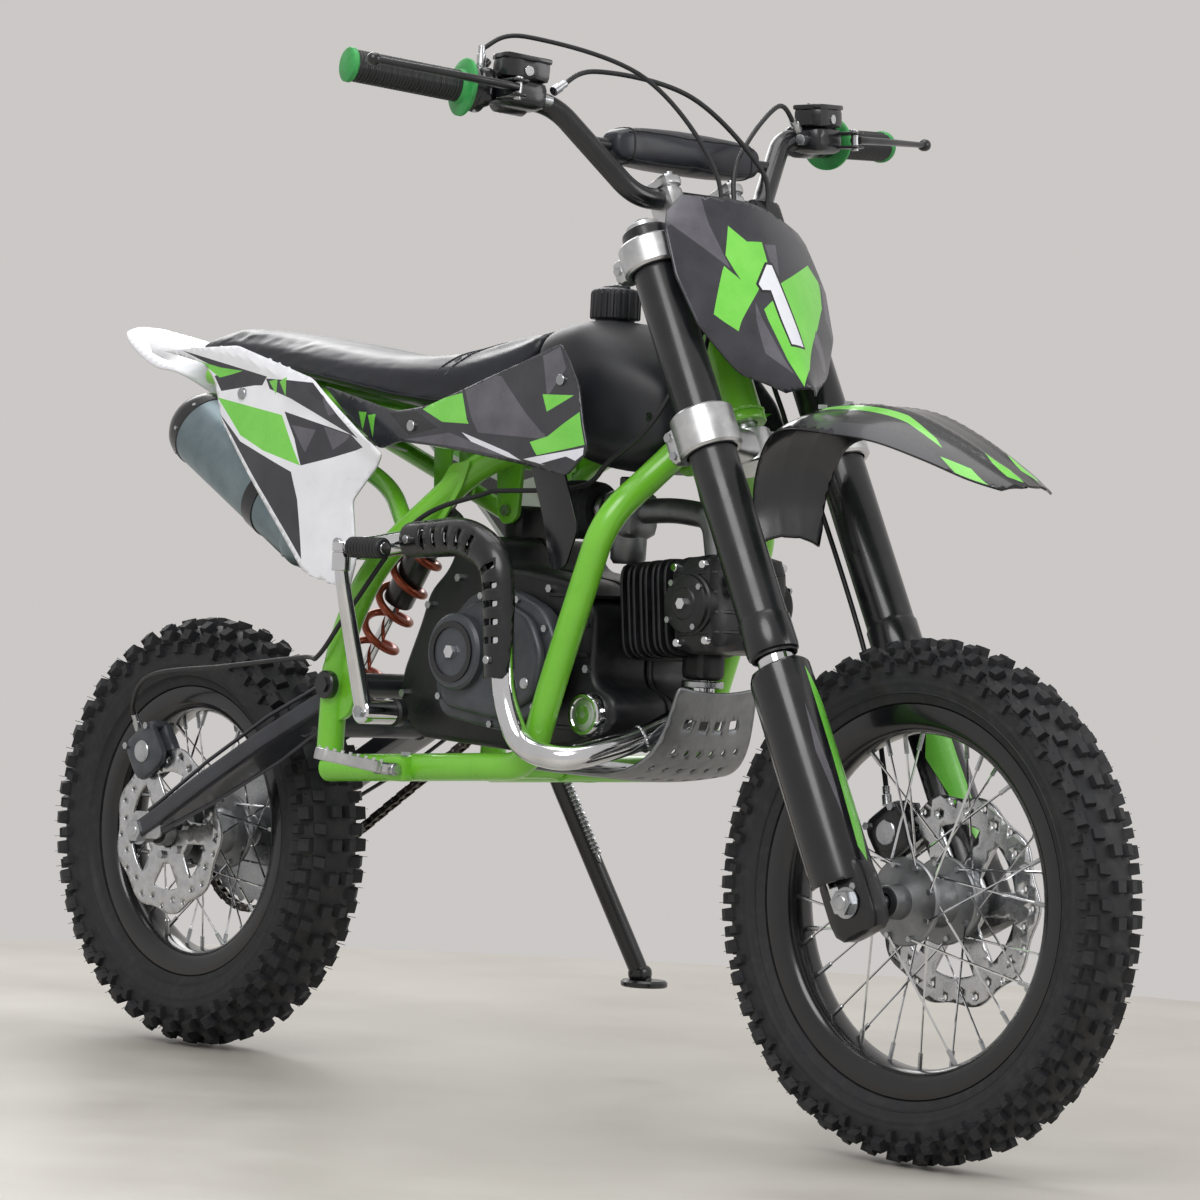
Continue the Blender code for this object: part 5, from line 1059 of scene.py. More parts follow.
# ---------------------------------------------------------------- engine and exhaust
def make_engine():
    """The horizontal engine: split cases, covers with their screws, finned barrel and head with round
    inspection covers, carburettor with its bowl and foam filter."""
    case = soft([(0.412, 0.405), (0.44, 0.375), (0.6, 0.368), (0.69, 0.378), (0.738, 0.398), (0.742, 0.428),
        (0.706, 0.444), (0.706, 0.52), (0.66, 0.548), (0.56, 0.56), (0.545, 0.59), (0.495, 0.59),
        (0.48, 0.556), (0.45, 0.53), (0.44, 0.5), (0.412, 0.44)], 0.014)
    grown = case + (case - case.mean(0)) * 0.012
    shapes = [(slab(case, -0.08, -0.001, 0.007), ENGINE), (slab(case, 0.001, 0.08, 0.007), ENGINE),
        (slab(grown, -0.0028, 0.0028, 0.0012), ENGINE)]
    shapes.append((lump(P(0.52, 0, 0.604), (0.015, 0.029, 0.02), None, 7), ENGINE))
    fly = [(0.0, 0.029), (0.02, 0.029), (0.0215, 0.0275), (0.04, 0.0275), (0.054, 0.0255), (0.06, 0.02),
        (0.062, 0.01), (0.062, -0.01), (0, -0.01)]
    shapes.append((turned(fly, P(0.575, 0.079, 0.462), SIDE, 72), GREY))
    a = around(6) + 0.3
    shapes.append((hexes(P(0.575 + 0.0565 * np.cos(a), 0.0985, 0.462 + 0.0565 * np.sin(a)), SIDE, 0.004,
        0.006), STEEL))
    shapes.append((turned([(0, 0.0105), (0.012, 0.0105), (0.015, 0.008), (0.015, 0)], P(0.432, -0.0975, 0.4),
        -SIDE, 28), ENGINE))
    cover_loop = np.array([(0.42, 0.42), (0.6, 0.38), (0.7, 0.458), (0.69, 0.505), (0.64, 0.538),
        (0.5, 0.545), (0.455, 0.515)])
    shapes.append((hexes(P(cover_loop[:, 0], -0.0795, cover_loop[:, 1]), -SIDE, 0.0044, 0.0052), STEEL))
    ring_cap = [(0, 0.0145), (0.01, 0.0145), (0.0108, 0.0134), (0.016, 0.0134), (0.0172, 0.0146),
        (0.0205, 0.0146), (0.023, 0.011), (0.023, 0), (0, 0)]
    shapes.append((turned(ring_cap, P(0.708, -0.0785, 0.412), -SIDE, 56), CHROME))
    shapes.append((turned([(0, 0.0016), (0.0152, 0.0012), (0.0158, 0)], P(0.708, -0.0915, 0.412), -SIDE, 40),
        BRIGHT))
    for z in (0.395, 0.47, 0.5, 0.53):
        shapes.append((slab(soft([(0.64, z), (0.7, z), (0.7, z + 0.004), (0.64, z + 0.004)], 0.001, 2),
            -0.083, 0.083, 0.0008), ENGINE))
    piece("crankcase_cast", shapes, "frame", "crankcase", angle=35)

    cover = soft([(0.5, 0.4), (0.6, 0.388), (0.668, 0.42), (0.68, 0.47), (0.655, 0.515), (0.6, 0.536),
        (0.54, 0.53), (0.5, 0.49), (0.488, 0.44)], 0.018)
    raised = cover * 0.84 + cover.mean(0) * 0.16
    shapes = [(slab(cover, -0.102, -0.0803, 0.006), GREY), (slab(raised, -0.112, -0.099, 0.007), GREY)]
    dome = [(0, 0.014), (0.007, 0.014), (0.0078, 0.0128), (0.026, 0.0128), (0.0275, 0.0112), (0.03, 0.0112),
        (0.0318, 0.0128), (0.037, 0.012), (0.04, 0.009), (0.04, 0), (0, 0)]
    shapes.append((turned(dome, P(0.54, -0.111, 0.468), -SIDE, 64), GREY))
    shapes.append((turned([(0.0255, 0.0136), (0.0255, 0.015), (0.0318, 0.015), (0.0322, 0.011),
        (0.0255, 0.011)], P(0.54, -0.111, 0.468), -SIDE, 56, True), ENAMEL))
    shapes.append((hexes([P(0.54, -0.1235, 0.468)], -SIDE, 0.0072, 0.005), CHROME))
    shapes.append((turned([(0, 0.006), (0.0052, 0.006), (0.006, 0.005), (0.006, 0)], P(0.64, -0.1075, 0.44),
        -SIDE, 24), STEEL))
    middle = cover.mean(0)
    for k in range(0, len(cover), 5):
        p = middle + (cover[k] - middle) * 0.93
        shapes.append((hexes([P(p[0], -0.1005, p[1])], -SIDE, 0.004, 0.005), STEEL))
    piece("side_cover_cast", shapes, "frame", "right_engine_cover", angle=35)

    slope = math.radians(6)
    ahead, lift = np.array((math.cos(slope), 0, math.sin(slope))), np.array(
        (-math.sin(slope), 0, math.cos(slope)))
    turn = np.stack((ahead, SIDE, lift), -1)
    root = P(0.712, 0, 0.518)
    shapes = [(rod(root, root + ahead * 0.085, 0.0395, 40), ENGINE)]
    a = around(64)
    c, s = np.cos(a), np.sin(a)
    grow = (np.abs(c) ** 7 + np.abs(s) ** 7) ** (-1 / 7)
    for i in range(8):
        at = root + ahead * (0.006 + 0.0088 * i)
        half_y, half_z = 0.056 - 0.0012 * (i % 2), 0.05 - 0.001 * (i % 2)
        rows = [at + ahead * x + SIDE * (c * grow * half_y * g)[:, None] + lift * (s * grow * half_z * g)[:,
            None] for x, g in ((0, 0.5), (0, 0.985), (0.0008, 1.0), (0.0026, 1.0), (0.0034, 0.985),
            (0.0034, 0.5))]
        shapes.append((skin(np.stack(rows), wrap_v=True, caps=True), ENGINE))
    shapes.append((lump(root + ahead * 0.108, (0.031, 0.056, 0.049), turn, 9, 18, 40), ENGINE))
    for z in (-0.03, -0.01, 0.01, 0.03):
        shapes.append((lump(root + ahead * 0.108 + lift * z, (0.0325, 0.0575, 0.0024), turn, 6), ENGINE))
    cap = [(0, 0.013), (0.015, 0.013), (0.0165, 0.0115), (0.026, 0.0115), (0.029, 0.0095), (0.03, 0.006),
        (0.032, 0.0045), (0.032, -0.006), (0, -0.006)]
    for way in (1, -1):
        hub_at = root + ahead * 0.106 + SIDE * way * 0.0535
        shapes.append((turned(cap, hub_at, SIDE * way, 56), ENGINE))
        shapes.append((hexes([hub_at + SIDE * way * 0.0125], SIDE * way, 0.006, 0.0045), CHROME))
        b = np.array((0.6, 2.2, 3.7, 5.2))
        ring_at = hub_at + (ahead * np.cos(b)[:, None] + lift * np.sin(b)[:, None]) * 0.0272
        shapes.append((hexes(ring_at + SIDE * way * 0.01, SIDE * way, 0.0034, 0.003), STEEL))
        for z in (-0.038, 0.038):
            for x in (0.088, 0.128):
                shapes.append((rod(root + ahead * x + lift * z + SIDE * way * 0.0535,
                    root + ahead * x + lift * z + SIDE * way * 0.06, 0.0042, 18), CHROME))
    shapes.append((lump(P(0.785, 0, 0.467), (0.017, 0.017, 0.015), None, 6), ENGINE))
    plug = root + ahead * 0.126 - SIDE * 0.03 + lift * 0.012
    shapes.append((rod(plug, plug + ahead * 0.02 - SIDE * 0.004, 0.006, 18), STEEL))
    shapes.append((hose(curve([plug + ahead * 0.014, plug + ahead * 0.026,
        plug + ahead * 0.028 + lift * 0.016], 10), 0.0062, 16), RUBBER))
    piece("finned_cylinder", shapes, "frame", "cylinder", angle=35)

    inlet = bent([root + ahead * 0.092 + lift * 0.049, P(0.79, 0, 0.618), P(0.735, 0, 0.624),
        P(0.69, 0, 0.622)], 0.02, 8)
    shapes = [(hose(inlet, 0.013, 26), CAST), (lump(P(0.668, 0, 0.618), (0.024, 0.022, 0.025), None, 5),
        CAST), (turned([(0, -0.031), (0.015, -0.031), (0.0185, -0.026), (0.019, 0), (0.02, 0.001),
        (0.02, 0.004), (0, 0.004)], P(0.668, 0, 0.598), UP, 36), CAST),
        (rod(P(0.668, 0, 0.64), P(0.668, 0, 0.657), 0.012, 28), ENAMEL),
        (rod(P(0.62, 0, 0.622), P(0.65, 0, 0.622), 0.0165, 28), RUBBER)]
    h = np.linspace(0, 1, 40)
    bag = np.stack((np.concatenate(([0], 0.0262 + 0.004 * np.sin(h * math.pi) ** 0.4 + 0.0008 * np.sin(
        h * 50), [0])), np.concatenate(([0], h * 0.066, [0.066]))), -1)
    # Oiled open-cell foam of the air filter: dark, rough and porous.
    foam = finish("oiled_filter_foam", "1B1C20", "2B2D31", (0.75, 0.9), grain=1.6, depth=0.5, cloud=10,
        specks=0.3)
    shapes.append((turned(bag, P(0.562, 0, 0.622), AHEAD, 40), foam))
    shapes.append((turned([(0.0166, 0), (0.0182, 0.0006), (0.0182, 0.0074), (0.0166, 0.008)],
        P(0.632, 0, 0.622), AHEAD, 32, True), STEEL))
    for way in (1, -1):
        shapes.append((hexes([P(0.69, way * 0.015, 0.628)], AHEAD, 0.004, 0.0045), STEEL))
        shapes.append((rod(P(0.664, way * 0.02, 0.612), P(0.664, way * 0.0255, 0.612), 0.0042, 18), STEEL))
    piece("carburettor_cast", shapes, "frame", "carburettor", angle=35)


def make_exhaust():
    """The chromed header, a circle carried along its bent route, the slotted shield wrapped half round
    it, and the silencer: a sleeve between a spun front cone and a black end cap."""
    route = along([(0.785, 0, 0.4517), (0.785, 0, 0.425), (0.764, -0.062, 0.39), (0.735, -0.14, 0.366),
        (0.68, -0.152, 0.376), (0.652, -0.152, 0.43), (0.648, -0.152, 0.5), (0.64, -0.152, 0.565),
        (0.59, -0.152, 0.588), (0.5, -0.152, 0.58), (0.43, -0.145, 0.572), (0.36, -0.138, 0.568),
        (0.325, -0.11, 0.566)])
    pipe = bent(route, 0.03, 10)
    shapes = [(hose(pipe, 0.0125, 28), CHROME), (turned(
        [(0.0126, 0), (0.0205, 0), (0.0215, 0.001), (0.0215, 0.006), (0.0205, 0.007), (0.0126, 0.007)],
        P(0.785, 0, 0.4445), UP, 36, True), STEEL), (weld(P(0.764, -0.062, 0.3905), unit(route[3] - route[1]),
        0.0126), STEEL)]
    piece("header_pipe_bent", shapes, "frame", "header_pipe", angle=40)

    spine = bent(along([(0.652, -0.152, 0.445), (0.648, -0.152, 0.5), (0.64, -0.152, 0.565),
        (0.59, -0.152, 0.588), (0.505, -0.152, 0.5805)]), 0.03, 10)
    run = np.concatenate(([0], np.cumsum(np.linalg.norm(np.diff(spine, axis=0), axis=1))))
    heading = unit(np.gradient(spine, axis=0))
    out = np.cross(heading, -SIDE)

    def shield(u, v):
        """Half a tube 20 mm in radius round the pipe: u along it, v round from its outer side."""
        middle = np.stack([np.interp(u, run, spine[:, k]) for k in range(3)], -1)
        above = unit(np.stack([np.interp(u, run, out[:, k]) for k in range(3)], -1))
        a = np.asarray(v)[:, None] / 0.0205
        return middle - SIDE * 0.0205 * np.cos(a) + above * 0.0205 * np.sin(a)
    length = run[-1]
    outline = soft([(0.0, -0.022), (length * 0.3, -0.031), (length * 0.6, -0.031), (length, -0.024),
        (length, 0.024), (length * 0.6, 0.031), (length * 0.3, 0.031), (0.0, 0.022)], 0.01)
    slots = [soft([(u - 0.0034, -0.0115), (u + 0.0034, -0.0115), (u + 0.0034, 0.0115), (u - 0.0034, 0.0115)],
        0.0034, 4) for u in np.arange(0.038, length - 0.03, 0.0185) if abs(u - length * 0.5) > 0.006]
    flat = cut_sheet(outline, shield, FACET, holes=slots, base=ENAMEL)
    piece("header_shield", flat, "frame", wall=SHEET_WALL, angle=35)
    studs = []
    for u in (0.018, length - 0.014):
        middle = np.array([np.interp(u, run, spine[:, k]) for k in range(3)])
        studs.append((rod(middle - SIDE * 0.012, middle - SIDE * 0.025, 0.0044, 20), STEEL))
    piece("header_shield_bolts", studs, "frame")

    slope = math.radians(29.4)
    ahead = np.array((math.cos(slope), 0, -math.sin(slope)))
    back = P(0.066, -0.1, 0.709)
    cap = [(0.0, 0.034), (0.0135, 0.034), (0.014, 0.003), (0.0155, 0.0), (0.025, 0.001), (0.036, 0.006),
        (0.0405, 0.013), (0.0424, 0.02), (0.0428, 0.03), (0.0418, 0.031)]
    sleeve = [(0.0418, 0.03), (0.0418, 0.246), (0.0412, 0.2475)]
    cone = [(0.0414, 0.244), (0.042, 0.245), (0.042, 0.252), (0.04, 0.255), (0.031, 0.269), (0.02, 0.275),
        (0.0, 0.275)]
    band = [(0.0419, 0.168), (0.0432, 0.1685), (0.0432, 0.1875), (0.0419, 0.188)]
    shapes = [(turned(cap, back, ahead, 72), ENAMEL), (turned(sleeve, back, ahead, 72), SLEEVE),
        (turned(cone, back, ahead, 72), SLEEVE), (turned(band, back, ahead, 72, True), ENAMEL)]
    first, second = square_to(ahead)
    b = around(8)
    round_at = (first * np.cos(b)[:, None] + second * np.sin(b)[:, None])
    for h in (0.0255, 0.2485):
        starts = back + ahead * h + round_at * 0.0415
        shapes.append((bars(starts, starts + round_at * 0.0022, 0.0022, 10), STEEL))
    bracket = back + ahead * 0.178 + UP * 0.04 + SIDE * 0.01
    shapes.append((lump(bracket, (0.009, 0.01, 0.009), None, 5), ENAMEL))
    shapes.append((rod(bracket - SIDE * 0.009, bracket - SIDE * 0.015, 0.005, 20), STEEL))
    piece("silencer_sleeved", shapes, "frame", "silencer", angle=35)


def make_skid_plate():
    """A perforated sheet bent up at the front: staggered rows of drilled holes and four short slots."""
    rows = np.array([(0.56, 0.092, 0.35), (0.69, 0.092, 0.347), (0.75, 0.08, 0.35), (0.788, 0.066, 0.378),
        (0.808, 0.056, 0.44)])
    line = curve(rows, 90)
    run = np.concatenate(([0], np.cumsum(np.hypot(*np.diff(line[:, ::2], axis=0).T))))

    def place(u, v):
        x, half, z = (np.interp(u, run, line[:, i]) for i in range(3))
        w = v / 0.09
        return P(x, half * w, z + 0.006 * w ** 2)
    length = run[-1]
    outline = soft([(0, -0.09), (length, -0.09), (length, 0.09), (0, 0.09)], 0.008)
    t = around(14)
    holes = [np.stack((u + 0.004 * np.cos(t), v + 0.004 * np.sin(t)), -1)
        for i, u in enumerate(np.arange(0.022, length - 0.06, 0.024))
        for v in np.arange(-0.066 + (i % 2) * 0.012, 0.07, 0.024)]
    for v in (-0.048, -0.016, 0.016, 0.048):
        holes.append(soft([(length - 0.04, v - 0.009), (length - 0.03, v - 0.009), (length - 0.03, v + 0.009),
            (length - 0.04, v + 0.009)], 0.003))
    flat = cut_sheet(outline, place, 0.009, holes=holes, base=CAST)
    piece("skid_plate_perforated", flat, "frame", "skid_plate", wall=0.0028, offset=0.0,
        angle=35)


# ---------------------------------------------------------------- seat and padding
SEAT_SPINE = ((0.006, 0.036, 0.7905, 0.7985), (0.014, 0.052, 0.787, 0.802), (0.03, 0.064, 0.783, 0.806),
    (0.09, 0.078, 0.772, 0.808), (0.2, 0.09, 0.757, 0.796), (0.32, 0.1, 0.738, 0.78),
    (0.41, 0.102, 0.722, 0.776), (0.48, 0.094, 0.716, 0.782), (0.545, 0.078, 0.74, 0.8),
    (0.575, 0.066, 0.765, 0.811), (0.583, 0.06, 0.777, 0.811))


def loft(spine, crown, power, count=60, round_=56, shrink=0.0):
    """Sections along a spine: |y/half|^p + |z/height|^p = 1 with a crowned top, every value following
    a smooth curve through the rows (forward, half width, low, high)."""
    x, half, low, high = curve(np.array(spine), count).T[:, :, None]
    half, low, high = half - shrink, low + shrink * 0.4, high - shrink
    a = around(round_)[None, :]
    c, s = np.cos(a), np.sin(a)
    y = half * np.sign(c) * np.abs(c) ** power
    z = (low + high) / 2 + (high - low) / 2 * np.sign(s) * np.abs(s) ** power
    z = z + np.where(s > 0, crown * (1 - (y / half) ** 2), 0)
    return P(x + 0 * y, y, z)


def swell(made, voxel, pressure, most, floor=None):
    """Fill a closed cover with air: even voxels, cloth blown up for twenty frames without weight, each
    point kept within most of where it began, the underside held to its base, then one subdivision."""
    even = made.modifiers.new("even", "REMESH")
    even.mode, even.voxel_size = "VOXEL", voxel
    bake(made)
    start = read(made)
    cloth = made.modifiers.new("cover", "CLOTH")
    cloth.settings.quality = 5
    cloth.settings.effector_weights.gravity = 0
    cloth.settings.use_pressure = True
    cloth.settings.uniform_pressure_force = pressure
    for step in range(1, 21):
        bpy.context.scene.frame_set(step)
    shown = made.evaluated_get(bpy.context.evaluated_depsgraph_get())
    blown = np.empty(len(shown.data.vertices) * 3)
    shown.data.vertices.foreach_get("co", blown)
    made.modifiers.remove(cloth)
    bpy.context.scene.frame_set(1)
    move = blown.reshape(-1, 3) - start
    far = np.linalg.norm(move, axis=1, keepdims=True)
    move *= np.minimum(1, most / np.maximum(far, 1e-9))
    if floor is not None:
        normal = np.empty(len(start) * 3)
        made.data.vertices.foreach_get("normal", normal)
        move *= np.clip(1 + 1.6 * np.minimum(0, normal.reshape(-1, 3)[:, 2:]), 0, 1)
    made.data.vertices.foreach_set("co", (start + move).ravel())
    made.data.update()
    smooth = made.modifiers.new("smooth", "SUBSURF")
    smooth.levels = smooth.render_levels = 1
    bake(made)
    made.data.shade_smooth()


def read(made):
    """The places of a mesh's points as rows."""
    co = np.empty(len(made.data.vertices) * 3)
    made.data.vertices.foreach_get("co", co)
    return co.reshape(-1, 3)


def bake(made):
    """Apply an object's modifiers to its mesh, keeping its materials."""
    bpy.context.view_layer.update()
    mesh = bpy.data.meshes.new_from_object(made.evaluated_get(bpy.context.evaluated_depsgraph_get()))
    kept = list(made.data.materials)
    made.modifiers.clear()
    made.data = mesh
    mesh.materials.clear()
    for film in kept:
        mesh.materials.append(film)


def on_skin(made, points, lift=0.0):
    """Points moved to the nearest place on a piece, then lift along its normal there."""
    out = []
    for p in points:
        _, place, normal, _ = made.closest_point_on_mesh(p.tolist())
        out.append(np.array(place) + np.array(normal) * lift)
    return np.array(out)


def make_seat():
    """The saddle: a lofted cover blown up over its foam, with a raised seam round its front panel, a
    piped edge along its base and stitches beside the seams."""
    shell = skin(loft(SEAT_SPINE, 0.004, 0.62, 90, 64, 0.0022), wrap_v=True, caps=True)
    seat = piece("seat_cover", [(shell, VINYL)], "", "seat")
    swell(seat, 0.0048, 4.0, 0.005, floor=True)
    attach(seat, "frame")
    seams = []
    t = np.linspace(0, 1, 46)
    for way in (1, -1):
        x = 0.03 + (0.565 - 0.03) * t
        rows = curve(np.array(SEAT_SPINE), 200)
        half, low, high = (np.interp(x, rows[:, 0], rows[:, i]) for i in (1, 2, 3))
        edge = on_skin(seat, P(x, way * (half + 0.004), low + (high - low) * 0.16), 0.0002)
        seams.append((hose(edge, 0.0014, 8), RUBBER))

    def seam_line(x0, reach, count, lift):
        """A line over the seat that bows 35 mm forward at its middle, laid on the cover."""
        y = np.linspace(-reach, reach, count)
        return on_skin(seat, P(x0 + 0.035 * (1 - (y / 0.098) ** 2), y,
            0.85 - 0.09 * (np.abs(y) / 0.098) ** 6), lift)
    for x0 in (0.455, 0.47):
        seams.append((hose(seam_line(x0, 0.098, 44, 0.0002), 0.0009, 8), VINYL))
    line = seam_line(0.4625, 0.09, 61, 0.0006)
    # Bonded sewing thread: charcoal and dull.
    thread = finish("charcoal_thread", "3A3C42", "4A4C53", (0.6, 0.7), grain=0.4, depth=0.02, cloud=5)
    seams.append((bars(line[:-1:2], line[1::2], 0.0005, 5), thread))
    piece("seat_seams", seams, "frame")


def make_bar_pad():
    """The bar's rolled pad: a rounded cover on foam, its two end cuffs and the strap round it."""
    brace = bar_point(0.135)
    centre = np.array((brace[0], 0, brace[2] + 0.001))
    pad = piece("bar_pad_cover", [(lump(centre, (0.0215, 0.1045, 0.0205), None, 4.2, 30, 60), VINYL)], "",
        "crossbar_pad")
    swell(pad, 0.0042, 4.0, 0.0032)
    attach(pad, "steering")
    a = around(48)
    seams = []
    for y in (-0.088, 0.088):
        loop = on_skin(pad, centre + np.stack((0.04 * np.cos(a), np.full(a.shape, y), 0.04 * np.sin(a)), -1),
            0.0001)
        path = np.vstack((loop, loop[:1]))
        seams.append((hose(path, 0.001, 8), RUBBER))
    y = np.linspace(-0.096, 0.096, 50)
    for z in (0.03, -0.03):
        line = on_skin(pad, centre + np.stack((np.full(y.shape, 0.03), y, np.full(y.shape, z * 0.8)), -1),
            0.0001)
        seams.append((hose(line, 0.0009, 8), RUBBER))
    piece("bar_pad_seams", seams, "steering")


# ---------------------------------------------------------------- tank and bodywork
def make_tank():
    """The tank's bulged lofted shell, its filler neck, and a cap with finger ribs."""
    spine = ((0.588, 0.05, 0.715, 0.786), (0.594, 0.066, 0.706, 0.797), (0.606, 0.08, 0.694, 0.806),
        (0.65, 0.088, 0.672, 0.811), (0.69, 0.087, 0.662, 0.799), (0.73, 0.074, 0.662, 0.778),
        (0.76, 0.058, 0.678, 0.758), (0.77, 0.044, 0.694, 0.744))
    shapes = [(skin(loft(spine, 0.007, 0.52, 60, 72), wrap_v=True, caps=True), TANK)]
    brim = P(0.632, 0, 0.826)
    neck = [(0.0195, 0.0), (0.0205, -0.001), (0.0205, -0.012), (0.025, -0.018), (0.03, -0.024), (0.0, -0.03)]
    shapes.append((turned([(0, 0)] + neck, brim, UP, 48), TANK))
    for way in (1, -1):
        shapes.append((hexes([P(0.752, way * 0.056, 0.716)], SIDE * way, 0.005, 0.008), STEEL))
    piece("tank_shell", shapes, "frame", "fuel_tank", angle=40)
    h = np.array((-0.006, -0.006, -0.0046, 0.0195, 0.0225, 0.0245, 0.0265, 0.027, 0.027))
    r = np.array((0.0213, 0.0255, 0.0265, 0.0265, 0.0258, 0.024, 0.018, 0.011, 0.0))
    a = around(144)
    groove = 0.0011 * (np.cos(a * 24) > 0.2)
    deep = np.array((0, 1, 1, 1, 0.6, 0, 0, 0, 0.0))
    rr = r[:, None] - deep[:, None] * groove[None, :]
    points = brim + np.stack((rr * np.cos(a), rr * np.sin(a), h[:, None] + 0 * rr), -1)
    bar = lump(brim + UP * 0.0268, (0.019, 0.0042, 0.003), None, 4)
    vent = rod(brim + UP * 0.026, brim + UP * 0.031, 0.0034, 16)
    piece("filler_cap_ribbed", [(skin(points, wrap_v=True), TANK), (bar, TANK), (vent, STEEL)], "fuel_cap",
        "fuel_cap", angle=35)


def leaned(way, hinge, y, lean, splay, bulge):
    """place(forward, up) for a panel that leans and splays about its hinge point, standing proud of
    its plane by bulge(forward, up)."""
    a, b = way * math.radians(lean), way * math.radians(splay)
    across, along_ = np.array((math.cos(b), math.sin(b), 0)), np.array(
        (math.sin(a) * math.sin(b), -math.sin(a) * math.cos(b), math.cos(a)))
    out = np.cross(along_, across) * way
    out = out if out[1] * way > 0 else -out
    middle = P(hinge[0], way * y, hinge[1])

    def place(u, v):
        u, v = np.asarray(u, float), np.asarray(v, float)
        return (middle + across * (u - hinge[0])[:, None] + along_ * (v - hinge[1])[:, None] + out * bulge(u,
            v)[:, None])
    return place


def make_shrouds():
    """Tank shrouds: creased along a ridge that stands up to 10 mm proud, with facets of printed film."""
    def bulge(x, z):
        ridge = np.interp(x, (0.302, 0.44, 0.54, 0.66, 0.76), (0.735, 0.7, 0.705, 0.712, 0.7))
        tall = np.interp(x, (0.302, 0.42, 0.6, 0.74), (0.001, 0.006, 0.01, 0.003))
        low = 0.004 * np.exp(-((x - 0.66) / 0.05) ** 2 - ((z - 0.672) / 0.012) ** 2)
        return tall * np.clip(1 - np.abs(z - ridge) / 0.055, 0, 1) + low
    outline = soft([(0.302, 0.745), (0.441, 0.716), (0.496, 0.722), (0.607, 0.758), (0.695, 0.786),
        (0.733, 0.742), (0.76, 0.677), (0.73, 0.651), (0.663, 0.661), (0.53, 0.678), (0.452, 0.684),
        (0.418, 0.676), (0.354, 0.712)], 0.007, 3)
    films = [([(0.487, 0.718), (0.512, 0.7285), (0.549, 0.735), (0.572, 0.702), (0.527, 0.704)], LIME_FILM),
        ([(0.553, 0.737), (0.598, 0.7535), (0.631, 0.749), (0.697, 0.687), (0.588, 0.693)], GREY_FILM),
        ([(0.603, 0.756), (0.662, 0.772), (0.69, 0.692)], DARK_FILM),
        ([(0.668, 0.773), (0.694, 0.782), (0.708, 0.76), (0.688, 0.73)], GREY_FILM),
        ([(0.68, 0.733), (0.728, 0.732), (0.692, 0.715)], LIME_FILM),
        ([(0.671, 0.684), (0.697, 0.69), (0.741, 0.715), (0.755, 0.682), (0.685, 0.6705)], LIME_FILM),
        ([(0.664, 0.6665), (0.754, 0.679), (0.754, 0.672), (0.725, 0.656)], WHITE_FILM),
        ([(0.69, 0.6625), (0.728, 0.67), (0.745, 0.665), (0.728, 0.6535)], DARK_FILM),
        ([(0.56, 0.6935), (0.64, 0.673), (0.66, 0.665), (0.59, 0.676)], WHITE_FILM),
        ([(0.374, 0.716), (0.384, 0.695), (0.389, 0.715)], LIME_FILM),
        ([(0.392, 0.712), (0.404, 0.688), (0.406, 0.713)], LIME_FILM),
        ([(0.43, 0.714), (0.478, 0.716), (0.52, 0.698), (0.47, 0.69)], BLACK),
        ([(0.462, 0.686), (0.54, 0.693), (0.64, 0.668), (0.56, 0.678)], GREY_FILM)]
    for side, way in SIDES:
        place = leaned(way, (0.62, 0.72), 0.136, 6, 4, bulge)
        flat = cut_sheet(outline, place, FACET, films, base=DARK_FILM)
        piece(f"tank_shroud_{side}", flat, "frame", f"shroud_{side}", wall=PANEL_WALL,
            angle=16)
        at = place(np.array((0.705, 0.475)), np.array((0.748, 0.7)))
        heads = [(rod(p - SIDE * way * 0.001, p + SIDE * way * 0.0032, 0.0058, 20), STEEL) for p in at]
        lower = soft([(0.64, 0.668), (0.69, 0.662), (0.716, 0.6), (0.7, 0.56), (0.678, 0.556), (0.664, 0.61)],
            0.008)
        scoop = slab(lower, way * 0.118 - 0.0015 if way > 0 else -0.1195, way * 0.118 + 0.0015
            if way > 0 else -0.1165, 0.0006)
        piece(f"shroud_bolts_{side}", heads, "frame")
        piece(f"shroud_scoop_{side}", [(scoop, BLACK)], "frame")


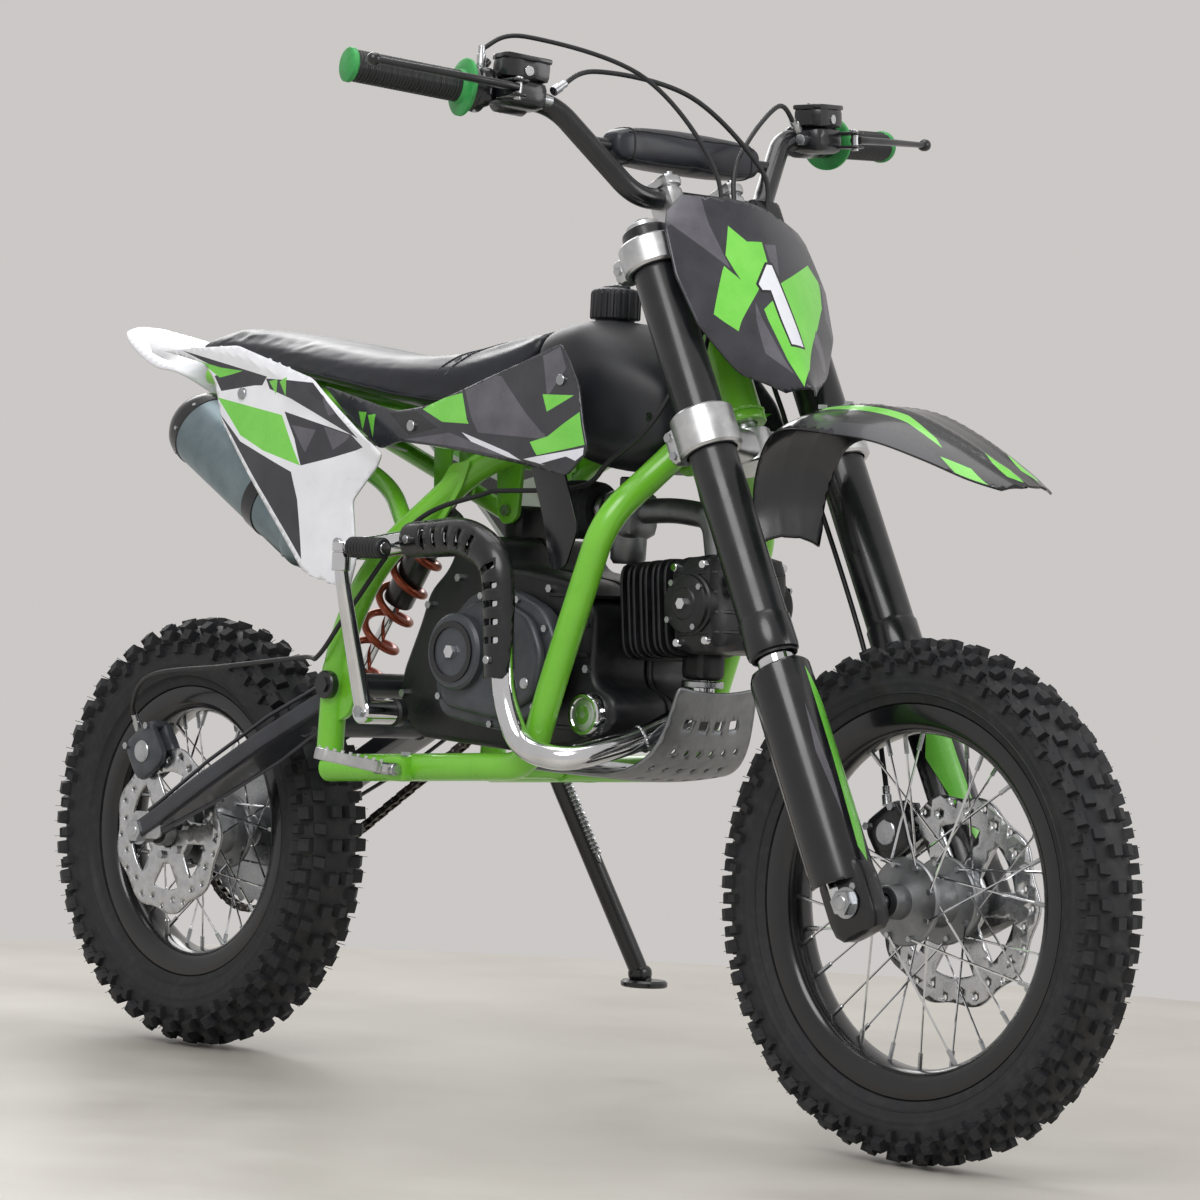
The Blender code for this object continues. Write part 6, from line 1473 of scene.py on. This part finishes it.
def make_side_panels():
    """Number panels: a white moulding with a raised blade along its top and facets of film."""
    def bulge(x, z):
        blade = 0.006 * np.clip(1 - np.abs(z - np.interp(x, (0.056, 0.2, 0.33, 0.45),
            (0.795, 0.775, 0.735, 0.672))) / 0.02, 0, 1)
        belly = 0.007 * np.exp(-((x - 0.3) / 0.09) ** 2 - ((z - 0.66) / 0.07) ** 2)
        fold = 0.008 * np.clip((x - 0.34) / 0.07, 0, 1) * np.clip((0.668 - z) / 0.05, 0, 1)
        return blade + belly - fold * 0.5
    outline = soft([(0.056, 0.783), (0.187, 0.788), (0.322, 0.751), (0.35, 0.733), (0.453, 0.669),
        (0.427, 0.643), (0.407, 0.621), (0.424, 0.558), (0.419, 0.526), (0.347, 0.543), (0.267, 0.619),
        (0.214, 0.667), (0.174, 0.705), (0.152, 0.749), (0.13, 0.769)], 0.006, 3)
    films = [([(0.092, 0.783), (0.246, 0.753), (0.236, 0.744), (0.205, 0.747), (0.151, 0.764)], DARK_FILM),
        ([(0.15, 0.755), (0.166, 0.738), (0.222, 0.744), (0.236, 0.744), (0.18, 0.76)], DARK_FILM),
        ([(0.118, 0.772), (0.16, 0.764), (0.2, 0.76), (0.16, 0.753)], LIME_FILM),
        ([(0.244, 0.751), (0.325, 0.746), (0.412, 0.686), (0.383, 0.696), (0.29, 0.729), (0.25, 0.74)],
        DARK_FILM), ([(0.283, 0.715), (0.4, 0.69), (0.42, 0.677), (0.37, 0.665), (0.326, 0.656),
        (0.309, 0.685)], DARK_FILM), ([(0.161, 0.731), (0.28, 0.711), (0.325, 0.656), (0.258, 0.672),
        (0.212, 0.689)], LIME_FILM), ([(0.168, 0.714), (0.214, 0.682), (0.312, 0.649), (0.326, 0.62),
        (0.342, 0.556), (0.274, 0.62), (0.21, 0.676)], DARK_FILM),
        ([(0.25, 0.748), (0.262, 0.734), (0.266, 0.75)], LIME_FILM),
        ([(0.27, 0.747), (0.28, 0.732), (0.283, 0.752)], LIME_FILM),
        ([(0.3, 0.7), (0.34, 0.695), (0.33, 0.67)], GREY_FILM),
        ([(0.352, 0.699), (0.398, 0.689), (0.372, 0.674)], GREY_FILM),
        ([(0.345, 0.733), (0.372, 0.712), (0.36, 0.71)], GREY_FILM)]
    for side, way in SIDES:
        place = leaned(way, (0.25, 0.6), 0.16, 7, 0, bulge)
        flat = cut_sheet(outline, place, FACET, films, base=WHITE)
        piece(f"number_panel_{side}", flat, "frame", f"side_panel_{side}", wall=PANEL_WALL,
            angle=16)
        at = place(np.array((0.395, 0.205)), np.array((0.575, 0.735)))
        piece(f"number_panel_bolts_{side}", [(rod(p - SIDE * way * 0.001, p + SIDE * way * 0.0034, 0.0062,
            20), STEEL) for p in at], "frame")


def make_rear_fender():
    """The tail: a white tongue that widens behind the seat and narrows to its tip."""
    spine = ((0.27, 0.688, 0.04, 0.004), (0.18, 0.706, 0.04, 0.004), (0.1, 0.722, 0.04, 0.004),
        (0.035, 0.742, 0.04, 0.004), (0.014, 0.776, 0.084, 0.012), (-0.03, 0.796, 0.084, 0.024),
        (-0.08, 0.808, 0.072, 0.018), (-0.12, 0.816, 0.056, 0.01), (-0.145, 0.821, 0.036, 0.004))
    place, length = fender_surface(spine, 0.06)
    outline = [(0.0, -0.06), (length - 0.008, -0.06), (length, -0.035), (length, 0.035),
        (length - 0.008, 0.06), (0.0, 0.06)]
    films = []
    for shape, film in (([(length - 0.14, -0.05), (length - 0.11, -0.03), (length - 0.045, -0.04),
            (length - 0.09, -0.052)], GREY_FILM), ([(length - 0.1, -0.02), (length - 0.06, -0.028),
            (length - 0.02, -0.03), (length - 0.06, -0.016)], LIME_FILM)):
        films += [(shape, film), (mirrored(shape), film)]
    flat = cut_sheet(outline, place, 0.0065, films, base=WHITE)
    piece("rear_fender_moulded", flat, "frame", "rear_fender", wall=SHEET_WALL, angle=35)


# ---------------------------------------------------------------- swingarm, chain and shock
def make_swingarm():
    """Box arms that taper to the axle and bow out in depth at their middle, with raised edges, capped
    axle ends, chain adjusters, and the pivot and brace tubes."""
    pivot, end = P(0.355, 0, 0.425), P(-0.012, 0, 0.238)
    run = end - pivot
    shapes = []
    t = np.linspace(-0.012, 1.012, 60)
    for way in (1, -1):
        line = pivot + run * t[:, None] + SIDE * way * 0.088
        deep = np.interp(t, (-0.012, 0.02, 0.12, 0.34, 0.62, 0.86, 1.0, 1.012),
            (0.015, 0.02, 0.025, 0.03, 0.027, 0.019, 0.0165, 0.013))
        wide = np.interp(t, (-0.012, 0.01, 0.99, 1.012), (0.008, 0.0102, 0.0102, 0.008))
        shapes.append((beam(line, wide, deep, 9, 40, SIDE), SLATE))
        for lift in (1, -1):
            rail = line[6:-6] + np.cross(unit(run), SIDE) * (
                deep[6:-6, None] - 0.0035) * lift + SIDE * way * 0.0095
            shapes.append((hose(rail, 0.0022, 10), SLATE))
        tail = end - unit(run) * 0.03
        shapes.append((lump(tail + SIDE * way * 0.0992, (0.026, 0.0022, 0.015), None, 6), STEEL))
        screw = end + unit(run) * 0.001 + SIDE * way * 0.088
        shapes.append((rod(screw - unit(run) * 0.002, screw + unit(run) * 0.016, 0.0034, 14), STEEL))
        shapes.append((hexes([screw + unit(run) * 0.004], unit(run), 0.0066, 0.0046), STEEL))
    shapes.append((rod(pivot - SIDE * 0.098, pivot + SIDE * 0.098, 0.0135, 36), SLATE))
    brace = P(0.268, 0, 0.38)
    shapes.append((rod(brace - SIDE * 0.09, brace + SIDE * 0.09, 0.015, 36), SLATE))
    ear = soft([(0.262, 0.375), (0.282, 0.388), (0.24, 0.412), (0.228, 0.41), (0.222, 0.398), (0.228, 0.388)],
        0.005)
    for way in (1, -1):
        shapes.append((slab(ear, way * 0.019 - 0.002, way * 0.019 + 0.002, 0.0006), SLATE))
        shapes.append((weld(brace + SIDE * way * 0.0778, SIDE, 0.0152), SLATE))
    shapes.append((rod(P(0.232, -0.0245, 0.4), P(0.232, 0.0245, 0.4), 0.005, 20), STEEL))
    piece("box_swingarm", shapes, "swingarm", "swingarm", angle=35)
    for name, body, centre, half, nut_r, long in (
            ("rear_spindle", "swingarm", REAR_AXLE, 0.109, 0.013, 0.0105),
            ("front_spindle", "fork_sliders", FRONT_AXLE, 0.121, 0.0125, 0.01)):
        shapes = [(rod(centre - SIDE * half, centre + SIDE * half, 0.0074, 24, 0.001), STEEL)]
        for way in (1, -1):
            shapes.append((hexes([centre + SIDE * way * (half - long)], SIDE * way, nut_r, long - 0.0012),
                STEEL))
            shapes.append((turned([(0.0076, 0), (nut_r + 0.0025, 0), (nut_r + 0.0025, 0.0014),
                (0.0076, 0.0014)], centre + SIDE * way * (half - long - 0.0006), SIDE * way, 36, True),
                STEEL))
        piece(name, shapes, body, "rear_axle" if body == "swingarm" else "front_axle", angle=35)


def make_calipers():
    """Brake calipers: two rounded halves bridged over the disc, piston covers, pins and hose bolt."""
    tilt = math.radians(35)
    turn = np.stack((np.array((math.cos(tilt), 0, math.sin(tilt))), SIDE,
        np.array((-math.sin(tilt), 0, math.cos(tilt)))), -1)
    for name, node, body, at, y, disc_y, half in (
            ("front_caliper_cast", "front_caliper", "fork_sliders", FRONT_AXLE + np.array((-0.084, 0, 0.06)),
            0.051, 0.048, (0.025, 0.0185, 0.025)), ("rear_caliper_cast", "rear_caliper", "swingarm",
            REAR_AXLE + np.array((-0.036, 0, 0.088)), -0.054, -0.056, (0.028, 0.0175, 0.027))):
        metal = GREY if body == "swingarm" else ENAMEL
        middle = at + SIDE * y
        shapes = []
        for way in (1, -1):
            outer = y + way * half[1]
            gap = disc_y + way * 0.003
            shapes.append((lump(at + SIDE * (outer + gap) / 2, (half[0], abs(outer - gap) / 2, half[2]), turn,
                4.5), metal))
            face = at + SIDE * outer
            shapes.append((rod(face - SIDE * way * 0.002, face + SIDE * way * 0.002, 0.0125, 36, 0.001),
                STEEL))
            for c in (-1, 1):
                corner = face + turn[:, 0] * c * (half[0] - 0.0062) + turn[:,
                    2] * (half[2] - 0.0062) - SIDE * way * 0.0022
                shapes.append((hexes([corner], SIDE * way, 0.0042, 0.0044), STEEL))
        shapes.append((lump(middle + turn[:, 2] * (half[2] * 0.78),
            (half[0] * 0.94, half[1] * 0.9, half[2] * 0.22), turn, 5), metal))
        piece(name, shapes, body, node, angle=40)


def make_chain():
    """A roller chain round both sprockets. The loop is two arcs joined by their common tangents; link
    plates stand on it a pitch apart, each an eight-point long oval, and rollers sit between them."""
    front, back = P(0.425, 0.066, 0.445), REAR_AXLE + SIDE * 0.066
    r_front, r_back = 0.025 + 0.0072, 0.083 + 0.0072
    span = front - back
    far = np.hypot(span[0], span[2])
    lift, tip = math.atan2(span[2], span[0]), math.asin((r_back - r_front) / far)
    top, bottom = lift + math.pi / 2 - tip, lift - math.pi / 2 + tip
    a = np.linspace(bottom, top, 60)
    b = np.linspace(top, bottom + math.tau, 120)
    loop = np.vstack((np.stack((front[0] + r_front * np.cos(a), front[2] + r_front * np.sin(a)), -1),
        np.stack((back[0] + r_back * np.cos(b), back[2] + r_back * np.sin(b)), -1)))
    loop = np.vstack((loop, loop[:1]))
    run = np.concatenate(([0], np.cumsum(np.hypot(*np.diff(loop, axis=0).T))))
    count = int(round(run[-1] / 0.0127)) // 2 * 2
    pins = np.arange(count) * run[-1] / count
    at = np.stack((np.interp(pins, run, loop[:, 0]), np.interp(pins, run, loop[:, 1])), -1)
    nxt = np.roll(at, -1, 0)
    ahead = unit(nxt - at)
    above = np.stack((-ahead[:, 1], ahead[:, 0]), -1)
    t = around(12)
    oval_u = np.cos(t) * 0.0044 + np.sign(np.cos(t)) * np.linalg.norm(nxt - at, axis=1).mean() / 2
    oval_v = np.sin(t) * 0.0046 * (1 - 0.22 * (np.abs(np.cos(t)) < 0.3))
    middle = (at + nxt) / 2
    flat = middle[:, None] + ahead[:, None] * oval_u[None, :, None] + above[:, None] * oval_v[None, :, None]
    shapes = []
    for way in (1, -1):
        inset = np.where(np.arange(count) % 2 == 0, 0.003, 0.0042)[:, None]
        rows = [np.stack((flat[..., 0], 0.066 + way * (inset + off) + 0 * flat[..., 0], flat[..., 1]), -1)
            for off in (0, 0.0011)]
        points = np.stack(rows, 1)
        k = np.arange(12)
        walls = np.stack((k, (k + 1) % 12, (k + 1) % 12 + 12, k + 12), -1)
        base = np.arange(count)[:, None] * 24
        faces = (walls[None] + base[..., None]).reshape(-1,
            4).tolist() + (k[None] + base).tolist() + (k[None] + 12 + base).tolist()
        shapes.append(((points.reshape(-1, 3), faces), CHAIN))
    centres = np.stack((at[:, 0], np.full(count, 0.066), at[:, 1]), -1)
    shapes.append((bars(centres - SIDE * 0.0032, centres + SIDE * 0.0032, 0.0036, 8), CHAIN))
    shapes.append((bars(centres - SIDE * 0.0058, centres + SIDE * 0.0058, 0.0017, 6), STEEL))
    piece("roller_chain", shapes, "swingarm", "chain", angle=35)


def make_shock():
    """The coil-over shock: damper body with its threaded collar, chromed rod, and the red coil, a
    circle carried along a helix whose pitch closes up at both ends."""
    top, low = P(0.395, 0, 0.64), P(0.232, 0, 0.4)
    down = unit(low - top)
    long = np.linalg.norm(low - top)
    eye = [(0.0057, -0.0138), (0.0105, -0.0138), (0.0115, -0.0125), (0.0115, 0.0125), (0.0105, 0.0138),
        (0.0057, 0.0138)]
    h = np.linspace(0.047, 0.078, 32)
    thread = np.stack((0.0172 + 0.0007 * (np.arange(32) % 2), h), -1)
    damper = [(0, 0.024), (0.015, 0.024), (0.017, 0.027), (0.017, 0.03), (0.0265, 0.0305), (0.0272, 0.032),
        (0.0272, 0.044), (0.0262, 0.046), (0.0172, 0.0465)]
    shapes = [(turned(eye, top, SIDE, 36, True), ENAMEL),
        (rod(top + down * 0.006, top + down * 0.03, 0.01, 28), ENAMEL),
        (turned(np.vstack((damper, thread, [(0.017, 0.079), (0.017, 0.148), (0.016, 0.15), (0.0062, 0.15),
        (0.0062, 0.112), (0, 0.112)])), top, down, 44), ENAMEL)]
    piece("shock_damper", shapes, "shock_body", "shock_body", angle=30)
    foot = [(0, 0.02), (0.0262, 0.0202), (0.027, 0.0216), (0.027, 0.03), (0.0258, 0.0312), (0.012, 0.032),
        (0.01, 0.04), (0, 0.04)]
    shapes = [(turned(eye, low, SIDE, 36, True), STEEL),
        (rod(low - down * 0.006, low - down * 0.03, 0.0098, 28), STEEL),
        (turned(foot, low, -down, 44), STEEL), (rod(low - down * 0.03, top + down * 0.15, 0.0058, 24),
        CHROME)]
    piece("shock_rod", shapes, "shock_shaft", "shock_shaft", angle=30)
    wire, coil, turns = 0.0042, 0.0225, 7
    n = turns * 40
    t = np.arange(n + 1) / 40
    share = np.clip((t - 0.8) / (turns - 1.6), 0, 1)
    start, end = 0.0463 + wire, long - 0.0313 - wire
    across = np.cross(SIDE, down)
    a = math.tau * t
    path = top + down * (start + (end - start) * share)[:,
        None] + (SIDE * np.cos(a)[:, None] + across * np.sin(a)[:, None]) * coil
    spring = piece("coil_spring", [(hose(path, wire, 14), COPPER)], "", "shock_spring", angle=60)
    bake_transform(spring)


# ---------------------------------------------------------------- foot controls and stand
def make_feet():
    """Toothed footpegs, the chromed kick lever with its ribbed pedal, and the side stand."""
    for side, way in SIDES:
        root, tip = P(0.478, way * 0.152, 0.343), P(0.444, way * 0.215, 0.356)
        run = tip - root
        out = unit(run)
        fore = unit(np.cross(out, UP)) * -way
        above = np.cross(fore, out) * way
        above = above if above[2] > 0 else -above
        shapes = [(rod(root - AHEAD * 0.016, root + AHEAD * 0.016, 0.0065, 28), STEEL),
            (hexes([root + AHEAD * 0.015], AHEAD, 0.0052, 0.004), STEEL)]
        long = np.linalg.norm(run)
        frame_loop = [root + out * long * a + fore * b
            for a, b in ((0.1, 0.016), (0.98, 0.018), (1.02, 0.01), (1.02, -0.01), (0.98, -0.018),
            (0.1, -0.016))]
        ring_path = bent(np.array(frame_loop + frame_loop[:1]), 0.008, 5)
        shapes.append((beam(ring_path, 0.0016, 0.0062, 5, 12, above), BRIGHT))
        teeth = []
        for b in (-0.017, 0.017):
            for a in np.linspace(0.14, 0.96, 8):
                teeth.append(root + out * long * a + fore * b + above * 0.005)
        shapes.append((bars(np.array(teeth), np.array(teeth) + above * 0.0036, 0.0017, 4), BRIGHT))
        for a in (0.34, 0.6, 0.84):
            base = root + out * long * a
            shapes.append((beam(np.array([base - fore * 0.0165, base, base + fore * 0.0165]), 0.0014, 0.0052,
                5, 12, above), BRIGHT))
        shapes.append((lump(root + out * long * 0.06, (0.0125, 0.008, 0.0062),
            np.stack((fore, out, above), -1), 5), BRIGHT))
        piece(f"toothed_footpeg_{side}", shapes, f"footpeg_{side}", f"footpeg_{side}",
            angle=35)

    shaft, head = P(0.432, -0.14, 0.4), P(0.438, -0.192, 0.566)
    arm = curve([shaft + SIDE * -0.006, P(0.43, -0.16, 0.455), P(0.437, -0.184, 0.52), head - UP * 0.016], 40)
    shapes = [(rod(P(0.432, -0.1083, 0.4), shaft - SIDE * 0.012, 0.013, 36, 0.0016), CHROME),
        (beam(arm, np.linspace(0.0075, 0.0055, 40), np.linspace(0.0095, 0.007, 40), 3.5, 24, AHEAD), CHROME),
        (rod(head - UP * 0.02, head, 0.0098, 32, 0.0012), CHROME),
        (hexes([shaft + SIDE * -0.0118], -SIDE, 0.007, 0.0034), STEEL),
        (rod(shaft + UP * 0.013 + AHEAD * 0.004 - SIDE * 0.004,
        shaft + UP * 0.0165 + AHEAD * 0.004 - SIDE * 0.004, 0.0036, 16), STEEL)]
    piece("kick_lever_chromed", shapes, "kick_arm", "kick_arm", angle=35)
    start, end = head + np.array((0.004, 0, 0.0053)), head + np.array((0.072, -0.004, 0.0053))
    way = unit(end - start)
    h = np.linspace(0.014, 0.066, 79)
    ribs = np.stack((0.0098 + 0.0012 * (np.abs(np.sin((h - 0.014) / 0.0052 * math.pi)) > 0.35), h), -1)
    shapes = [(turned([(0, 0.0003), (0.009, 0.0003), (0.01, 0.0013), (0.01, 0.0093), (0.009, 0.0103),
        (0, 0.0103)], head, UP, 32), CHROME), (rod(start, start + way * 0.018, 0.0052, 24), CHROME),
        (turned(np.vstack(([(0, 0.014)], ribs, [(0.009, 0.0675), (0, 0.0685)])), start, way, 36), RUBBER),
        (rod(start + way * 0.068, start + way * 0.07, 0.0062, 24), CHROME)]
    piece("kick_pedal_ribbed", shapes, "kick_pedal", "kick_pedal", angle=35)

    root, foot = P(0.416, 0.148, 0.34), P(0.47, 0.248, 0.108)
    hinge = unit(np.array((0, 0.918, 0.396)))
    run = unit(foot - root)
    leg = root + (foot - root) * np.linspace(0, 1, 24)[:, None]
    shapes = [(turned([(0, -0.006), (0.0118, -0.006), (0.013, -0.0048), (0.013, 0.0108), (0.0118, 0.012),
        (0, 0.012)], root, hinge, 36), ENAMEL), (hexes([root + hinge * 0.0118], hinge, 0.0078, 0.0048),
        STEEL), (hose(leg, np.interp(np.linspace(0, 1, 24), (0, 0.08, 0.92, 1),
        (0.01, 0.0105, 0.0105, 0.0098)), 24), ENAMEL),
        (turned([(0, -0.004), (0.0245, -0.004), (0.026, -0.0026), (0.026, 0.0014), (0.0235, 0.0036),
        (0.011, 0.0042), (0, 0.0042)], foot, UP, 44), ENAMEL),
        (lump(foot - run * 0.012, (0.012, 0.0125, 0.01), None, 2.6), ENAMEL)]
    n = 220
    t = np.linspace(0, 1, n)
    a = math.tau * 17 * t
    first, second = square_to(run)
    anchor = root + run * 0.012 - hinge * 0.002 + AHEAD * 0.015
    coil = anchor + run * (0.088 * t)[:, None] + (
        first * np.cos(a)[:, None] + second * np.sin(a)[:, None]) * 0.0042
    shapes.append((hose(coil, 0.0009, 6), STEEL))
    shapes.append((hose(curve([anchor + run * 0.086, anchor + run * 0.096,
        root + run * 0.112 + AHEAD * 0.008], 10), 0.001, 6), STEEL))
    piece("stand_leg", shapes, "side_stand", "side_stand", angle=35)


# ---------------------------------------------------------------- hoses and cable
FRONT_HOSE = ((0.712, -0.176, 1.034), (0.712, -0.12, 1.06), (0.748, -0.02, 1.044), (0.786, 0.048, 0.976),
    (0.792, 0.055, 0.928), (0.808, 0.053, 0.893), (0.812, 0.054, 0.862), (0.803, 0.054, 0.785),
    (0.811, 0.074, 0.724), (0.833, 0.076, 0.679), (0.857, 0.078, 0.645), (0.936, 0.078, 0.485),
    (0.985, 0.058, 0.378), (0.999, 0.051, 0.341))
THROTTLE = ((0.65, -0.238, 1.078), (0.696, -0.2, 1.086), (0.75, -0.09, 1.056), (0.797, -0.03, 0.968),
    (0.8085, -0.03, 0.885), (0.806, -0.036, 0.8), (0.788, -0.05, 0.712), (0.715, -0.03, 0.668),
    (0.676, 0.0, 0.648))
REAR_HOSE = ((0.712, 0.176, 1.034), (0.735, 0.12, 1.05), (0.778, 0.02, 0.976), (0.818, -0.018, 0.89),
    (0.816, -0.056, 0.8), (0.79, -0.09, 0.712), (0.735, -0.098, 0.668), (0.69, -0.096, 0.642),
    (0.56, -0.096, 0.636), (0.47, -0.118, 0.602), (0.396, -0.138, 0.51), (0.35, -0.142, 0.456),
    (0.3, -0.122, 0.452), (0.15, -0.106, 0.436), (0.0, -0.09, 0.42), (-0.058, -0.07, 0.386),
    (-0.062, -0.057, 0.356))


def line(name, route, radius, owners, between, start, end, node=(), sleeves=(True, True)):
    """A held hose or cable: a circle carried along the smooth curve through its points, a crimped metal
    sleeve at its ends. The hose rides on no body; start and end are not used."""
    path = curve(along(route), 12 * len(route))
    made = piece(name, [(hose(path, radius, 14), RUBBER)], "", node, angle=60)
    tuple(P(*start))
    tuple(P(*end))
    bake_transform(made)
    for label, wanted, owner, a, b in zip(("start", "end"), sleeves, owners, (path[0], path[-1]),
            (path[4], path[-5])):
        if wanted:
            way = unit(b - a)
            profile = [(0, 0), (radius * 1.9, 0), (radius * 1.9, 0.01), (radius * 1.45, 0.011),
                (radius * 1.45, 0.019), (0, 0.019)]
            piece(f"{name}_{label}_fitting", [(turned(profile, a - way * 0.001, way, 24), STEEL)], owner)


def make_lines():
    """The front brake hose, the throttle cable from its housing, and the two runs of the rear hose."""
    up = bar_axes(-1)[2]
    house = bar_point(-0.247) + AHEAD * MIDDLE
    throttle = (tuple(house + up * 0.0265), tuple(house + up * 0.044 + SIDE * 0.004)) + THROTTLE[1:]
    line("front_brake_line", FRONT_HOSE, 0.0026, ("steering", "fork_sliders"), ("steering", "fork_sliders"),
        (0.803, 0.054, 0.785), (0.857, 0.078, 0.645), "front_brake_hose")
    line("throttle_line", throttle, 0.0024, ("steering", "frame"), ("steering", "frame"),
        (0.797, -0.03, 0.968), (0.788, -0.05, 0.712), "throttle_cable")
    line("rear_brake_line_upper", REAR_HOSE[:9], 0.0026, ("steering", "frame"), ("steering", "frame"),
        (0.79, 0.0, 0.96), (0.79, -0.09, 0.712), "rear_brake_hose", (True, False))
    line("rear_brake_line_lower", REAR_HOSE[8:], 0.0026, ("frame", "swingarm"), ("frame", "swingarm"),
        (0.396, -0.138, 0.51), (0.15, -0.106, 0.436), (), (False, True))


BUILDS = (make_wheels, make_fork, make_clamps, make_bar, make_grips, make_brakes, make_plate,
    make_front_fender, make_frame, make_engine, make_exhaust, make_skid_plate, make_seat, make_bar_pad,
    make_tank, make_shrouds, make_side_panels, make_rear_fender, make_swingarm, make_calipers, make_chain,
    make_shock, make_feet, make_lines)


def main():
    """Studio, finishes for the CAD nodes, then every made piece in turn."""
    make_studio()
    make_floor()
    finish_nodes()
    for build in BUILDS:
        build()


main()
